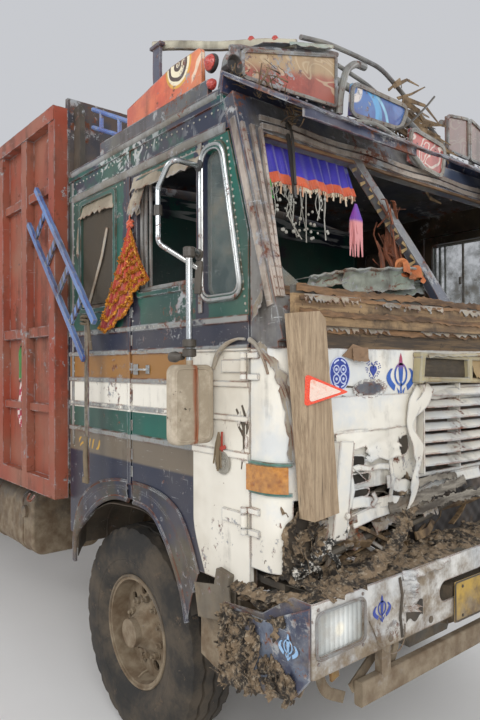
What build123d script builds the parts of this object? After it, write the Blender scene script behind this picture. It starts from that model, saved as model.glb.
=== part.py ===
from build123d import *
import os
from math import atan, cos, degrees, hypot, radians, sin, sqrt, tan

# Forward-control decorated goods truck, right-hand drive, damaged at the front.
# Millimetres. +Z up, the front faces -Y, the driver's (right) side is at -X.
# The origin is on the ground, at the middle of the length and of the width.

os.makedirs("parts", exist_ok=True)

# Overall sizes
overall_length = 8900
front_overhang = 1400
wheelbase = 5000
cab_half_width = 1200
cargo_half_width = 1225
front_axle_y = -overall_length / 2 + front_overhang
rear_axle_y = front_axle_y + wheelbase
tail_y = overall_length / 2
nose_y = -overall_length / 2

# Fits
seat_gap = 0.3
pin_gap = 0.05
door_gap = 8

# Wheels, 10.00-20 tyres on 20 inch disc rims
tyre_radius = 520
tyre_width = 276
rim_radius = 262
rim_wall = 12
rim_width = 212
hub_radius = 118
hub_bore_radius = 42
hand_hole_count = 10
hand_hole_radius = 27
hand_hole_circle = 186
wheel_centre_z = tyre_radius
front_track_half = 965
twin_spacing = 322
rear_twin_outer_x = 1022

# Ladder frame
rail_x = 430
rail_width = 75
rail_height = 240
rail_wall = 8
rail_bottom_z = 800
rail_top_z = rail_bottom_z + rail_height
rail_front_y = front_axle_y - 1150
rail_rear_y = tail_y - 60

# Cab shell
cab_wall = 35
cab_rear_y = front_axle_y + 480
cab_front_y = front_axle_y - 1220
cab_top_z = 2890
cab_side_bottom_z = 950
footwell_z = 1065
deck_z = 1240
floor_thickness = 25
belt_z = 2020
cowl_top_z = 1912
cowl_bottom_z = 1380
sheet = 8
corner_radius = 110

# Wheel arch in the cab side, given from the front axle
arch_top_z = 1228
arch_top_front = -385
arch_top_rear = 70
arch_foot_front = -640
arch_foot_rear = 452
arch_foot_z = 850

# Doors
door_rear_y = front_axle_y - 195
door_front_y = front_axle_y - 1035
door_bottom_z = 1030
door_top_z = 2742
hinge_offset = 18
hinge_radius = 12
hinge_pin = 7
hinge_levels = (1290, 1849)
hinge_height = 100
hinge_knuckle = 22
hinge_leaf = 5
window_bottom_z = 2185
window_top_z = 2690
door_window_rear = 60
door_window_width = 470
quarter_window_width = 165
window_border = 46
window_frame_depth = 9
quarter_frame_depth = 10
glass_thickness = 6

# Windscreen plane, which leans back with height
screen_foot_y = front_axle_y - 1190
screen_slope = 0.285
screen_depth = 55
screen_opening_half = cab_half_width - 40
screen_opening_taper = 70
screen_bottom_z = 2100
screen_head_z = 2745

# Cargo body
cargo_front_y = front_axle_y + 520
cargo_rear_y = tail_y - 70
cargo_bottom_z = 1120
bearer_height = 80
runner_height = 80
cargo_floor_z = rail_top_z + runner_height + bearer_height
cargo_deck_thickness = 40
cargo_top_z = 3290
cargo_wall = 30
cargo_post_width = 82
cargo_post_depth = 48
cargo_post_spacing = 412
tailgate_height = 820
tailgate_wall = 45


def across(y):
    # Section plane across the truck: local X is +X, local Y is +Z, normal towards the front
    return Plane.XZ.offset(-y)


def along(x):
    # Section plane along the truck: local X is +Y, local Y is +Z, normal towards +X
    return Plane.YZ.offset(x)


def level(z):
    return Plane.XY.offset(z)


def wheel_plane(x, y, outward):
    # Local X points out of the truck along the wheel's axis, local Y points up
    return Plane((x, y, wheel_centre_z), x_dir=(outward, 0, 0), z_dir=(0, -outward, 0))


def screen_face_y(z, depth=0):
    # Where the leaning windscreen frame's face, or a face behind it, stands at a height
    return screen_foot_y + (z - belt_z) * screen_slope + depth * hypot(1, screen_slope)


sides = (("right", -1), ("left", 1))

# The door's front edge is upright as far as this height, then follows the windscreen frame
door_knee_z = belt_z + (
    door_front_y - door_gap - screen_face_y(belt_z, screen_depth)
) / screen_slope
door_front_top_y = screen_face_y(door_top_z, screen_depth) + door_gap


# Frame rails, channels that open inwards
rail_length = rail_rear_y - rail_front_y
with BuildPart() as frame_rails:
    for side in (-1, 1):
        with BuildSketch(across(rail_front_y)):
            with Locations((side * rail_x, rail_bottom_z + rail_height / 2)):
                Rectangle(rail_width, rail_height)
            with Locations((side * (rail_x - rail_wall), rail_bottom_z + rail_height / 2)):
                Rectangle(rail_width, rail_height - 2 * rail_wall, mode=Mode.SUBTRACT)
        extrude(amount=-rail_length)
frame_rails.part.label = "frame_rails"
export_step(frame_rails.part, "parts/frame_rails.step")


# Cross members, channels between the rail webs, with the two bumper arms
web_inner_x = rail_x + rail_width / 2 - rail_wall
cross_height = 120
cross_z = rail_bottom_z + 150
cross_wall = 8
cross_table = (
    # distance of the front face from the rails' front end, width
    (0, 50),
    (2030, 90),
    (3230, 90),
    (4430, 90),
    (5600, 90),
    (6680, 90),
    (7400, 90),
    (8460, 90),
)
hitch_spacing_x = 160
hitch_spacing_z = 60
hitch_hole_radius = 9
bumper_depth = 8
bumper_back_y = nose_y + bumper_depth
with BuildPart() as cross_members:
    for station, cross_width in cross_table:
        cross_y = rail_front_y + station + cross_width / 2
        with BuildSketch(along(-web_inner_x)):
            with Locations((cross_y, cross_z)):
                Rectangle(cross_width, cross_height)
            with Locations((cross_y + cross_wall, cross_z)):
                Rectangle(cross_width, cross_height - 2 * cross_wall, mode=Mode.SUBTRACT)
        extrude(amount=2 * web_inner_x)
    with BuildSketch(across(rail_front_y + cross_table[-1][0])):
        with Locations((0, cross_z)):
            with GridLocations(hitch_spacing_x, hitch_spacing_z, 2, 2):
                Circle(hitch_hole_radius)
    extrude(amount=-cross_wall, mode=Mode.SUBTRACT)
    for side in (-1, 1):
        with BuildSketch(across(bumper_back_y)):
            with Locations((side * rail_x, rail_bottom_z + rail_height / 2)):
                Rectangle(rail_width, rail_height / 2)
        extrude(amount=-(rail_front_y - bumper_back_y))
cross_members.part.label = "cross_members"
export_step(cross_members.part, "parts/cross_members.step")


# Leaf springs: concentric leaves below the rail, each shorter than the one above,
# with an eye at each end, a hanger bracket over it and a clamp plate in the middle
leaf_thickness = 13
leaf_width = 80
eye_radius = 26
front_spring_seat_z = 470
rear_spring_seat_z = 588
spring_table = (
    # centre y, half length, leaves, height of the lowest leaf, radius of the upper leaf
    (front_axle_y, 640, 7, front_spring_seat_z, 2600),
    (rear_axle_y, 690, 9, rear_spring_seat_z, 4700),
)
with BuildPart() as leaf_springs:
    for spring_y, half_length, leaf_count, seat_z, spring_radius in spring_table:
        for side in (-1, 1):
            arc_centre_z = seat_z + spring_radius + leaf_count * leaf_thickness
            with BuildSketch(along(side * rail_x - leaf_width / 2)):
                for leaf in range(leaf_count):
                    outer = spring_radius + (leaf + 1) * leaf_thickness
                    inner = outer - leaf_thickness
                    reach = degrees(half_length / spring_radius) * (1 - 0.8 * leaf / leaf_count)
                    with BuildLine():
                        low = CenterArc((spring_y, arc_centre_z), outer, 270 - reach, 2 * reach)
                        high = CenterArc((spring_y, arc_centre_z), inner, 270 - reach, 2 * reach)
                        Line(low @ 0, high @ 0)
                        Line(low @ 1, high @ 1)
                    make_face()
                eye_z = arc_centre_z - sqrt(spring_radius**2 - half_length**2)
                with Locations((spring_y - half_length, eye_z + 10), (spring_y + half_length, eye_z + 10)):
                    Circle(eye_radius)
            extrude(amount=leaf_width)
            with BuildSketch(along(side * rail_x - leaf_width / 2)):
                for end in (-1, 1):
                    with BuildLine():
                        Polyline(
                            (spring_y + end * half_length - 22, eye_z + 10),
                            (spring_y + end * half_length - 60, rail_bottom_z),
                            (spring_y + end * half_length + 60, rail_bottom_z),
                            (spring_y + end * half_length + 22, eye_z + 10),
                            close=True,
                        )
                    make_face()
            extrude(amount=leaf_width)
            with Locations((side * rail_x, spring_y, seat_z + leaf_count * leaf_thickness + 9)):
                Box(leaf_width + 30, 150, 18 + 2 * leaf_thickness)
leaf_springs.part.label = "leaf_springs"
export_step(leaf_springs.part, "parts/leaf_springs.step")


# Front axle, a forged I-beam with dropped middle and an eye for the king pin at each end
king_pin_x = 800
king_pin_radius = 23
king_eye_radius = 48
king_eye_height = 110
beam_height = 84
beam_drop_z = front_spring_seat_z - beam_height
beam_depth = 92
with BuildPart() as front_axle:
    with BuildSketch(across(front_axle_y)):
        with BuildLine():
            Polyline(
                (-king_pin_x, wheel_centre_z + 42),
                (-king_pin_x, wheel_centre_z - 42),
                (-king_pin_x + king_eye_radius + 20, wheel_centre_z - 42),
                (-king_pin_x + 200, beam_drop_z),
                (king_pin_x - 200, beam_drop_z),
                (king_pin_x - king_eye_radius - 20, wheel_centre_z - 42),
                (king_pin_x, wheel_centre_z - 42),
                (king_pin_x, wheel_centre_z + 42),
                (king_pin_x - 170, beam_drop_z + beam_height),
                (-king_pin_x + 170, beam_drop_z + beam_height),
                close=True,
            )
        make_face()
    extrude(amount=beam_depth / 2, both=True)
    for face_side in (-1, 1):
        with BuildSketch(across(front_axle_y + face_side * beam_depth / 2)):
            with Locations((0, beam_drop_z + beam_height / 2)):
                Rectangle(2 * (king_pin_x - 240), beam_height - 36)
        extrude(amount=face_side * (beam_depth / 2 - 9), mode=Mode.SUBTRACT)
    with BuildSketch(level(wheel_centre_z - king_eye_height / 2)):
        with Locations((-king_pin_x, front_axle_y), (king_pin_x, front_axle_y)):
            Circle(king_eye_radius)
    extrude(amount=king_eye_height)
    with BuildSketch(level(wheel_centre_z - king_eye_height / 2)):
        with Locations((-king_pin_x, front_axle_y), (king_pin_x, front_axle_y)):
            Circle(king_pin_radius + pin_gap)
    extrude(amount=king_eye_height, mode=Mode.SUBTRACT)
front_axle.part.label = "front_axle"
export_step(front_axle.part, "parts/front_axle.step")


# Steering knuckles: a fork over and under the axle eye, its king pin, the wheel spindle
# and the steering arm that points back to the track rod
fork_gap = 5
ear_thickness = 30
spindle_inner_x = front_track_half - 62
spindle_length = 165
spindle_radius = hub_bore_radius - pin_gap
arm_length = 190
arm_z = wheel_centre_z - king_eye_height / 2 - fork_gap - ear_thickness
rod_eye_radius = 26
rod_pin_radius = 12
for name, side in sides:
    with BuildPart() as knuckle:
        for direction in (-1, 1):
            ear_z = wheel_centre_z + direction * (king_eye_height / 2 + fork_gap + ear_thickness / 2)
            with BuildSketch(level(ear_z - ear_thickness / 2)):
                with Locations((side * king_pin_x, front_axle_y)):
                    Circle(king_eye_radius)
                with Locations((side * (king_pin_x + spindle_inner_x) / 2, front_axle_y)):
                    Rectangle(spindle_inner_x - king_pin_x, 2 * king_eye_radius)
            extrude(amount=ear_thickness)
        with BuildSketch(along(side * spindle_inner_x)):
            with Locations((front_axle_y, wheel_centre_z)):
                RectangleRounded(
                    2 * king_eye_radius + 20, king_eye_height + 2 * (fork_gap + ear_thickness), 20
                )
        extrude(amount=-side * 26)
        with BuildSketch(along(side * spindle_inner_x)):
            with Locations((front_axle_y, wheel_centre_z)):
                Circle(spindle_radius)
        extrude(amount=side * spindle_length)
        with BuildSketch(level(wheel_centre_z - king_eye_height / 2 - fork_gap)):
            with Locations((side * king_pin_x, front_axle_y)):
                Circle(king_pin_radius)
        extrude(amount=king_eye_height + 2 * fork_gap)
        with BuildSketch(level(arm_z)):
            with BuildLine():
                Polyline(
                    (side * (king_pin_x - 22), front_axle_y),
                    (side * (king_pin_x - 22), front_axle_y + arm_length),
                    (side * (king_pin_x + 22), front_axle_y + arm_length),
                    (side * (king_pin_x + 36), front_axle_y),
                    close=True,
                )
            make_face()
            with Locations((side * king_pin_x, front_axle_y + arm_length)):
                Circle(rod_eye_radius)
        extrude(amount=ear_thickness)
        with BuildSketch(level(arm_z)):
            with Locations((side * king_pin_x, front_axle_y + arm_length)):
                Circle(rod_pin_radius)
        extrude(amount=-70)
    knuckle.part.label = f"knuckle_{name}"
    export_step(knuckle.part, f"parts/knuckle_{name}.step")


# Track rod between the two steering arms, with an eye round each arm's pin
rod_radius = 19
rod_z = arm_z - 36
with BuildPart() as track_rod:
    with BuildSketch(along(-king_pin_x)):
        with Locations((front_axle_y + arm_length, rod_z)):
            Circle(rod_radius)
    extrude(amount=2 * king_pin_x)
    with BuildSketch(level(rod_z - 28)):
        with Locations(
            (-king_pin_x, front_axle_y + arm_length), (king_pin_x, front_axle_y + arm_length)
        ):
            Circle(rod_eye_radius + 4)
    extrude(amount=56)
    with BuildSketch(level(rod_z - 28)):
        with Locations(
            (-king_pin_x, front_axle_y + arm_length), (king_pin_x, front_axle_y + arm_length)
        ):
            Circle(rod_pin_radius + pin_gap)
    extrude(amount=56, mode=Mode.SUBTRACT)
track_rod.part.label = "track_rod"
export_step(track_rod.part, "parts/track_rod.step")


# Disc wheel and hub in one revolved section, dished towards the truck's middle.
# Distances along the axis count outwards from the tyre's mid plane.
disc_thickness = 14


def rim_outline(disc_position, bore_radius, hub_inner, hub_outer):
    # Half section of rim, disc and hub: axis distance first, then radius
    half = rim_width / 2
    with BuildLine() as outline:
        Polyline(
            (-half, rim_radius + 14),
            (-half, rim_radius - rim_wall),
            (disc_position - disc_thickness / 2, rim_radius - rim_wall - 6),
            (disc_position + 10 - disc_thickness / 2, hand_hole_circle - 40),
            (disc_position + 34 - disc_thickness, hub_radius),
            (hub_inner, hub_radius - 22),
            (hub_inner, bore_radius),
            (hub_outer, bore_radius),
            (hub_outer, hub_radius - 48),
            (disc_position + 60, hub_radius - 26),
            (disc_position + 34, hub_radius),
            (disc_position + 10 + disc_thickness / 2, hand_hole_circle - 40),
            (disc_position + disc_thickness / 2, rim_radius - rim_wall - 6),
            (half, rim_radius - rim_wall),
            (half, rim_radius + 14),
            (half - 9, rim_radius + 14),
            (half - 12, rim_radius),
            (-half + 12, rim_radius),
            (-half + 9, rim_radius + 14),
            close=True,
        )
    return outline.edges()


def tyre_outline():
    # Half section of a hollow tyre: tread, side walls and beads
    half = tyre_width / 2
    bead = rim_width / 2 - 13
    with BuildLine() as outline:
        Polyline((-bead, rim_radius + seat_gap), (-bead, rim_radius + 34))
        ThreePointArc((-bead, rim_radius + 34), (-half, 388), (-half + 22, tyre_radius - 26))
        Polyline(
            (-half + 22, tyre_radius - 26),
            (-half + 34, tyre_radius - 4),
            (-half + 60, tyre_radius),
            (half - 60, tyre_radius),
            (half - 34, tyre_radius - 4),
            (half - 22, tyre_radius - 26),
        )
        ThreePointArc((half - 22, tyre_radius - 26), (half, 388), (bead, rim_radius + 34))
        Polyline(
            (bead, rim_radius + 34),
            (bead, rim_radius + seat_gap),
            (bead - 26, rim_radius + seat_gap),
            (bead - 18, rim_radius + 40),
        )
        ThreePointArc((bead - 18, rim_radius + 40), (half - 18, 390), (half - 44, tyre_radius - 44))
        Line((half - 44, tyre_radius - 44), (-half + 44, tyre_radius - 44))
        ThreePointArc((-half + 44, tyre_radius - 44), (-half + 18, 390), (-bead + 18, rim_radius + 40))
        Polyline(
            (-bead + 18, rim_radius + 40),
            (-bead + 26, rim_radius + seat_gap),
            (-bead, rim_radius + seat_gap),
        )
    return outline.edges()


front_disc_position = 10
for name, side in sides:
    plane = wheel_plane(side * front_track_half, front_axle_y, side)
    wheel_axis = Axis((side * front_track_half, front_axle_y, wheel_centre_z), (1, 0, 0))
    with BuildPart() as front_wheel:
        with BuildSketch(plane):
            make_face(rim_outline(front_disc_position, hub_bore_radius, -50, 112))
        revolve(axis=wheel_axis)
        hole_plane = Plane(plane.origin, x_dir=(0, 1, 0), z_dir=(side, 0, 0))
        with BuildSketch(hole_plane):
            with PolarLocations(hand_hole_circle, hand_hole_count):
                Circle(hand_hole_radius)
        extrude(amount=80, both=True, mode=Mode.SUBTRACT)
        with BuildSketch(hole_plane.offset(112 + 12)):
            Circle(hub_radius - 50)
        extrude(amount=22)
        with BuildSketch(hole_plane.offset(112)):
            Circle(hub_radius - 50)
            Circle(hub_bore_radius, mode=Mode.SUBTRACT)
        extrude(amount=12)
    front_wheel.part.label = f"front_wheel_{name}"
    export_step(front_wheel.part, f"parts/front_wheel_{name}.step")

    with BuildPart() as front_tyre:
        with BuildSketch(plane):
            make_face(tyre_outline())
        revolve(axis=wheel_axis)
    front_tyre.part.label = f"front_tyre_{name}"
    export_step(front_tyre.part, f"parts/front_tyre_{name}.step")


# Rear axle: casing with a round differential housing, and stub ends inside the hubs
casing_radius = 64
stub_radius = hub_bore_radius - pin_gap
rear_twin_inner_x = rear_twin_outer_x - twin_spacing
rear_hub_inner_x = rear_twin_inner_x - 92
rear_hub_outer_x = rear_twin_outer_x + 96
with BuildPart() as rear_axle:
    with BuildSketch(along(-(rear_hub_inner_x - fork_gap))):
        with Locations((rear_axle_y, wheel_centre_z)):
            Circle(casing_radius)
    extrude(amount=2 * (rear_hub_inner_x - fork_gap))
    with BuildSketch(along(-(rear_hub_outer_x - 30))):
        with Locations((rear_axle_y, wheel_centre_z)):
            Circle(stub_radius)
    extrude(amount=2 * (rear_hub_outer_x - 30))
    with BuildSketch(Plane((0, rear_axle_y, wheel_centre_z), x_dir=(1, 0, 0), z_dir=(0, -1, 0))):
        Circle(205)
    extrude(amount=95, both=True)
    fillet(rear_axle.edges().filter_by(GeomType.CIRCLE).filter_by(lambda e: e.radius > 200), radius=42)
    with BuildSketch(across(rear_axle_y - 95)):
        with Locations((0, wheel_centre_z)):
            Circle(82)
    extrude(amount=130)
    with Locations((-rail_x, rear_axle_y, wheel_centre_z + 34), (rail_x, rear_axle_y, wheel_centre_z + 34)):
        Box(leaf_width + 20, 130, 2 * (rear_spring_seat_z - wheel_centre_z - 34))
rear_axle.part.label = "rear_axle"
export_step(rear_axle.part, "parts/rear_axle.step")


# Rear twin wheels: two discs back to back on one hub, and two tyres
for name, side in sides:
    hub_origin = (side * rear_twin_outer_x, rear_axle_y, wheel_centre_z)
    wheel_axis = Axis(hub_origin, (1, 0, 0))
    with BuildPart() as rear_wheels:
        for centre_x, outward in ((rear_twin_outer_x, -1), (rear_twin_inner_x, 1)):
            with BuildSketch(wheel_plane(side * centre_x, rear_axle_y, side * outward)):
                make_face(rim_outline(60, hub_bore_radius, 58, 105))
            revolve(axis=wheel_axis)
        with BuildSketch(wheel_plane(side * rear_twin_outer_x, rear_axle_y, side)):
            with BuildLine():
                Polyline(
                    (rear_hub_inner_x - rear_twin_outer_x, hub_bore_radius),
                    (rear_hub_inner_x - rear_twin_outer_x, 150),
                    (rear_hub_inner_x - rear_twin_outer_x + 60, 150),
                    (rear_hub_inner_x - rear_twin_outer_x + 80, hub_radius - 24),
                    (40, hub_radius - 34),
                    (rear_hub_outer_x - rear_twin_outer_x, hub_radius - 44),
                    (rear_hub_outer_x - rear_twin_outer_x, hub_bore_radius),
                    close=True,
                )
            make_face()
        revolve(axis=wheel_axis)
        hole_plane = Plane(hub_origin, x_dir=(0, 1, 0), z_dir=(side, 0, 0))
        with BuildSketch(hole_plane):
            with PolarLocations(hand_hole_circle, hand_hole_count):
                Circle(hand_hole_radius)
        extrude(amount=-twin_spacing - 60, mode=Mode.SUBTRACT)
        with BuildSketch(hole_plane.offset(rear_hub_outer_x - rear_twin_outer_x)):
            Circle(hub_radius - 48)
        extrude(amount=16)
    rear_wheels.part.label = f"rear_wheels_{name}"
    export_step(rear_wheels.part, f"parts/rear_wheels_{name}.step")

    with BuildPart() as rear_tyres:
        for centre_x in (rear_twin_outer_x, rear_twin_inner_x):
            with BuildSketch(wheel_plane(side * centre_x, rear_axle_y, side)):
                make_face(tyre_outline())
            revolve(axis=wheel_axis)
    rear_tyres.part.label = f"rear_tyres_{name}"
    export_step(rear_tyres.part, f"parts/rear_tyres_{name}.step")


# Engine and gearbox, one casting with head, sump, bell housing and mounting feet
engine_half = 270
engine_front_y = front_axle_y - 980
engine_rear_y = front_axle_y + 60
engine_bottom_z = beam_drop_z + beam_height + 40
with BuildPart() as engine:
    with BuildSketch(across(engine_front_y)):
        with BuildLine():
            Polyline(
                (-160, engine_bottom_z),
                (-engine_half + 30, engine_bottom_z + 130),
                (-engine_half, 900),
                (-engine_half + 60, 1260),
                (-engine_half + 110, 1370),
                (engine_half - 110, 1370),
                (engine_half - 60, 1260),
                (engine_half, 900),
                (engine_half - 30, engine_bottom_z + 130),
                (160, engine_bottom_z),
                close=True,
            )
        make_face()
    extrude(amount=-(engine_rear_y - engine_front_y))
    with BuildSketch(across(engine_rear_y)):
        with Locations((0, 850)):
            Circle(235)
    extrude(amount=-90, taper=4)
    with BuildSketch(across(engine_rear_y + 80)):
        with Locations((0, 840)):
            RectangleRounded(340, 330, 40)
    extrude(amount=-520)
    with BuildSketch(across(engine_rear_y + 600)):
        with Locations((0, 840)):
            Circle(70)
    extrude(amount=-60)
    for foot_y in (engine_front_y + 150, engine_rear_y - 120):
        with Locations((0, foot_y, 905)):
            Box(2 * web_inner_x, 90, 70)
engine.part.label = "engine"
export_step(engine.part, "parts/engine.step")


# Propeller shaft from the gearbox flange to the axle's nose
with BuildPart() as propeller_shaft:
    shaft_start = (0, engine_rear_y + 660, 840)
    shaft_end = (0, rear_axle_y - 95 - 130, wheel_centre_z)
    shaft_run = Vector(*shaft_end) - Vector(*shaft_start)
    with BuildSketch(Plane(shaft_start, z_dir=shaft_run.normalized())):
        Circle(45)
    extrude(amount=shaft_run.length)
    with BuildSketch(across(shaft_start[1])):
        with Locations((0, shaft_start[2])):
            Circle(62)
    extrude(amount=-50)
    with BuildSketch(across(shaft_end[1] - 50)):
        with Locations((0, shaft_end[2])):
            Circle(62)
    extrude(amount=-50)
    split(bisect_by=Plane((0, shaft_start[1], 0), z_dir=(0, 1, 0)), keep=Keep.TOP)
    split(bisect_by=Plane((0, shaft_end[1], 0), z_dir=(0, -1, 0)), keep=Keep.TOP)
propeller_shaft.part.label = "propeller_shaft"
export_step(propeller_shaft.part, "parts/propeller_shaft.step")


# Radiator: core between a top and a bottom tank, on two feet that reach the rails
radiator_y = front_axle_y - 1048
with BuildPart() as radiator:
    with Locations((0, radiator_y, 1020)):
        Box(640, 56, 560)
    with Locations((0, radiator_y, 1340), (0, radiator_y, 715)):
        Box(700, 95, 90)
    for side in (-1, 1):
        with Locations((side * (web_inner_x + 340) / 2, radiator_y, 870)):
            Box(web_inner_x - 340, 60, 60)
        with Locations((side * 335, radiator_y, 1020)):
            Box(32, 80, 600)
radiator.part.label = "radiator"
export_step(radiator.part, "parts/radiator.step")


# Fuel tank under the right side, on two straps, and the silencer ahead of it
tank_y = front_axle_y + 1450
tank_length = 900
tank_x = -(rail_x + rail_width / 2 + 40 + 270)
with BuildPart() as fuel_tank:
    with BuildSketch(across(tank_y)):
        with Locations((tank_x, 760)):
            RectangleRounded(520, 440, 90)
    extrude(amount=-tank_length)
    fillet(fuel_tank.edges().group_by(Axis.Y)[0], radius=18)
    fillet(fuel_tank.edges().group_by(Axis.Y)[-1], radius=18)
    for strap in (200, tank_length - 200):
        with BuildSketch(across(tank_y + strap - 30)):
            with Locations((tank_x, 760)):
                RectangleRounded(532, 452, 96)
            with Locations((-(rail_x + rail_width / 2) - 40, 860)):
                Rectangle(80, 120)
        extrude(amount=-60)
    with BuildSketch(along(tank_x - 260)):
        with Locations((tank_y + 110, 840)):
            Circle(42)
    extrude(amount=-24)
fuel_tank.part.label = "fuel_tank"
export_step(fuel_tank.part, "parts/fuel_tank.step")

rail_outer_x = rail_x + rail_width / 2
with BuildPart() as silencer:
    with BuildSketch(across(front_axle_y + 720)):
        with Locations((-(rail_outer_x + 150), 770)):
            Ellipse(110, 85)
    extrude(amount=-560)
    with BuildSketch(across(front_axle_y + 640)):
        with Locations((-(rail_outer_x + 150), 770)):
            Circle(35)
    extrude(amount=-770)
    for bracket_y in (800, 1200):
        with Locations((-(rail_outer_x + 65), front_axle_y + bracket_y, 860)):
            Box(130, 40, 70)
silencer.part.label = "silencer"
export_step(silencer.part, "parts/silencer.step")

# Battery box and two air reservoirs on the left rail
with BuildPart() as side_lockers:
    with Locations((rail_outer_x + 215, front_axle_y + 940, 830)):
        Box(430, 420, 300)
    fillet(side_lockers.edges().filter_by(Axis.Y), radius=14)
    for reservoir_y in (front_axle_y + 1270, front_axle_y + 1970):
        with BuildSketch(across(reservoir_y)):
            with Locations((rail_outer_x + 175, 790)):
                Circle(125)
        extrude(amount=-600)
        for bracket_y in (reservoir_y + 120, reservoir_y + 480):
            with Locations((rail_outer_x + 70, bracket_y, 850)):
                Box(140, 40, 90)
side_lockers.part.label = "side_lockers"
export_step(side_lockers.part, "parts/side_lockers.step")


# Cab floor: footwell, slope over the wheel arch and rear deck, with the engine opening,
# mounting pads on the rails and the steering column
floor_half = cab_half_width - cab_wall - seat_gap
hinge_clearance = 7
hood_half = 400
hood_front_y = front_axle_y - 1180
hood_rear_y = front_axle_y + 180
floor_front_y = hood_front_y
column_x = -600
column_foot_y = front_axle_y - 1060
column_top_y = front_axle_y - 760
column_top_z = 1905
wheel_pin_length = 60
with BuildPart() as cab_floor:
    with BuildSketch(along(-floor_half)):
        with BuildLine():
            Polyline(
                (floor_front_y, footwell_z),
                (front_axle_y - 640, footwell_z),
                (front_axle_y - 400, deck_z),
                (cab_rear_y - cab_wall - seat_gap, deck_z),
                (cab_rear_y - cab_wall - seat_gap, deck_z + floor_thickness),
                (front_axle_y - 410, deck_z + floor_thickness),
                (front_axle_y - 650, footwell_z + floor_thickness),
                (floor_front_y, footwell_z + floor_thickness),
                close=True,
            )
        make_face()
    extrude(amount=2 * floor_half)
    with Locations((0, (hood_front_y + hood_rear_y) / 2 - 50, 1200)):
        Box(2 * hood_half, hood_rear_y - hood_front_y + 100, 600, mode=Mode.SUBTRACT)
    for pad_y, pad_top in ((front_axle_y - 850, footwell_z), (cab_rear_y - 160, deck_z)):
        for side in (-1, 1):
            with Locations((side * rail_x, pad_y, (rail_top_z + pad_top) / 2)):
                Box(rail_width, 140, pad_top - rail_top_z)
    for side in (-1, 1):
        with Locations((side * floor_half, (door_front_y + door_rear_y) / 2, footwell_z)):
            Box(
                2 * hinge_clearance,
                door_rear_y - door_front_y + 2 * door_gap + 20,
                2 * (deck_z - footwell_z) + 4 * floor_thickness,
                mode=Mode.SUBTRACT,
            )
    column_run = Vector(0, column_top_y - column_foot_y, column_top_z - footwell_z - floor_thickness)
    column_plane = Plane(
        (column_x, column_foot_y, footwell_z + 10), x_dir=(1, 0, 0), z_dir=column_run.normalized()
    )
    with BuildSketch(column_plane):
        Circle(38)
    extrude(amount=column_run.length - 10)
    with BuildSketch(column_plane.offset(column_run.length - 10)):
        Circle(14)
    extrude(amount=wheel_pin_length)
cab_floor.part.label = "cab_floor"
export_step(cab_floor.part, "parts/cab_floor.step")

# Steering wheel: rim, four spokes and hub that turns on the column's pin
steering_rim_radius = 235
steering_plane = column_plane.offset(column_run.length - 10 + fork_gap)
with BuildPart() as steering_wheel:
    with BuildSketch(steering_plane):
        Circle(42)
        Circle(14 + pin_gap, mode=Mode.SUBTRACT)
    extrude(amount=wheel_pin_length)
    with BuildSketch(
        Plane(steering_plane.offset(40).origin, x_dir=(1, 0, 0), z_dir=steering_plane.y_dir)
    ):
        with Locations((steering_rim_radius, 0)):
            Circle(15)
    revolve(axis=Axis(steering_plane.offset(40).origin, steering_plane.z_dir))
    with BuildSketch(steering_plane.offset(34)):
        with PolarLocations(0, 4, start_angle=45):
            with Locations(((steering_rim_radius + 38) / 2, 0)):
                Rectangle(steering_rim_radius - 38, 26)
        Circle(30, mode=Mode.SUBTRACT)
    extrude(amount=12)
steering_wheel.part.label = "steering_wheel"
export_step(steering_wheel.part, "parts/steering_wheel.step")

# Engine cover inside the cab, a hollow box that stands on the floor round the opening
cover_wall = 12
cover_top_z = 1500
with BuildPart() as engine_cover:
    with BuildSketch(across(hood_front_y)):
        with BuildLine():
            Polyline(
                (-hood_half, footwell_z),
                (-hood_half, 1380),
                (-hood_half + 90, cover_top_z),
                (hood_half - 90, cover_top_z),
                (hood_half, 1380),
                (hood_half, footwell_z),
                close=True,
            )
        make_face()
    extrude(amount=-(hood_rear_y - hood_front_y))
    with BuildSketch(across(hood_front_y + cover_wall)):
        with BuildLine():
            Polyline(
                (-hood_half + cover_wall, footwell_z),
                (-hood_half + cover_wall, 1374),
                (-hood_half + 96, cover_top_z - cover_wall),
                (hood_half - 96, cover_top_z - cover_wall),
                (hood_half - cover_wall, 1374),
                (hood_half - cover_wall, footwell_z),
                close=True,
            )
        make_face()
    extrude(amount=-(hood_rear_y - hood_front_y - 2 * cover_wall), mode=Mode.SUBTRACT)
engine_cover.part.label = "engine_cover"
export_step(engine_cover.part, "parts/engine_cover.step")


# Beading levels on the cab side: height and half width of each half-round strip
bead_depth = 7
bead_levels = ((2024, 12), (1916, 10), (1782, 10), (1655, 10), (1520, 12))


def arch_outline():
    # Wheel arch as a closed outline
    with BuildLine() as outline:
        Polyline(
            (front_axle_y + arch_foot_rear, arch_foot_z),
            (front_axle_y + arch_foot_rear, arch_foot_z + 90),
            (front_axle_y + arch_top_rear, arch_top_z),
            (front_axle_y + arch_top_front, arch_top_z),
            (front_axle_y + arch_foot_front + 50, arch_foot_z + 130),
            (front_axle_y + arch_foot_front, arch_foot_z),
            close=True,
        )
    return outline.edges()


def door_outline():
    with BuildLine() as outline:
        Polyline(
            (door_rear_y, door_bottom_z),
            (door_rear_y, door_top_z),
            (door_front_top_y, door_top_z),
            (door_front_y, door_knee_z),
            (door_front_y, door_bottom_z),
            close=True,
        )
    return outline.edges()


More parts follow.
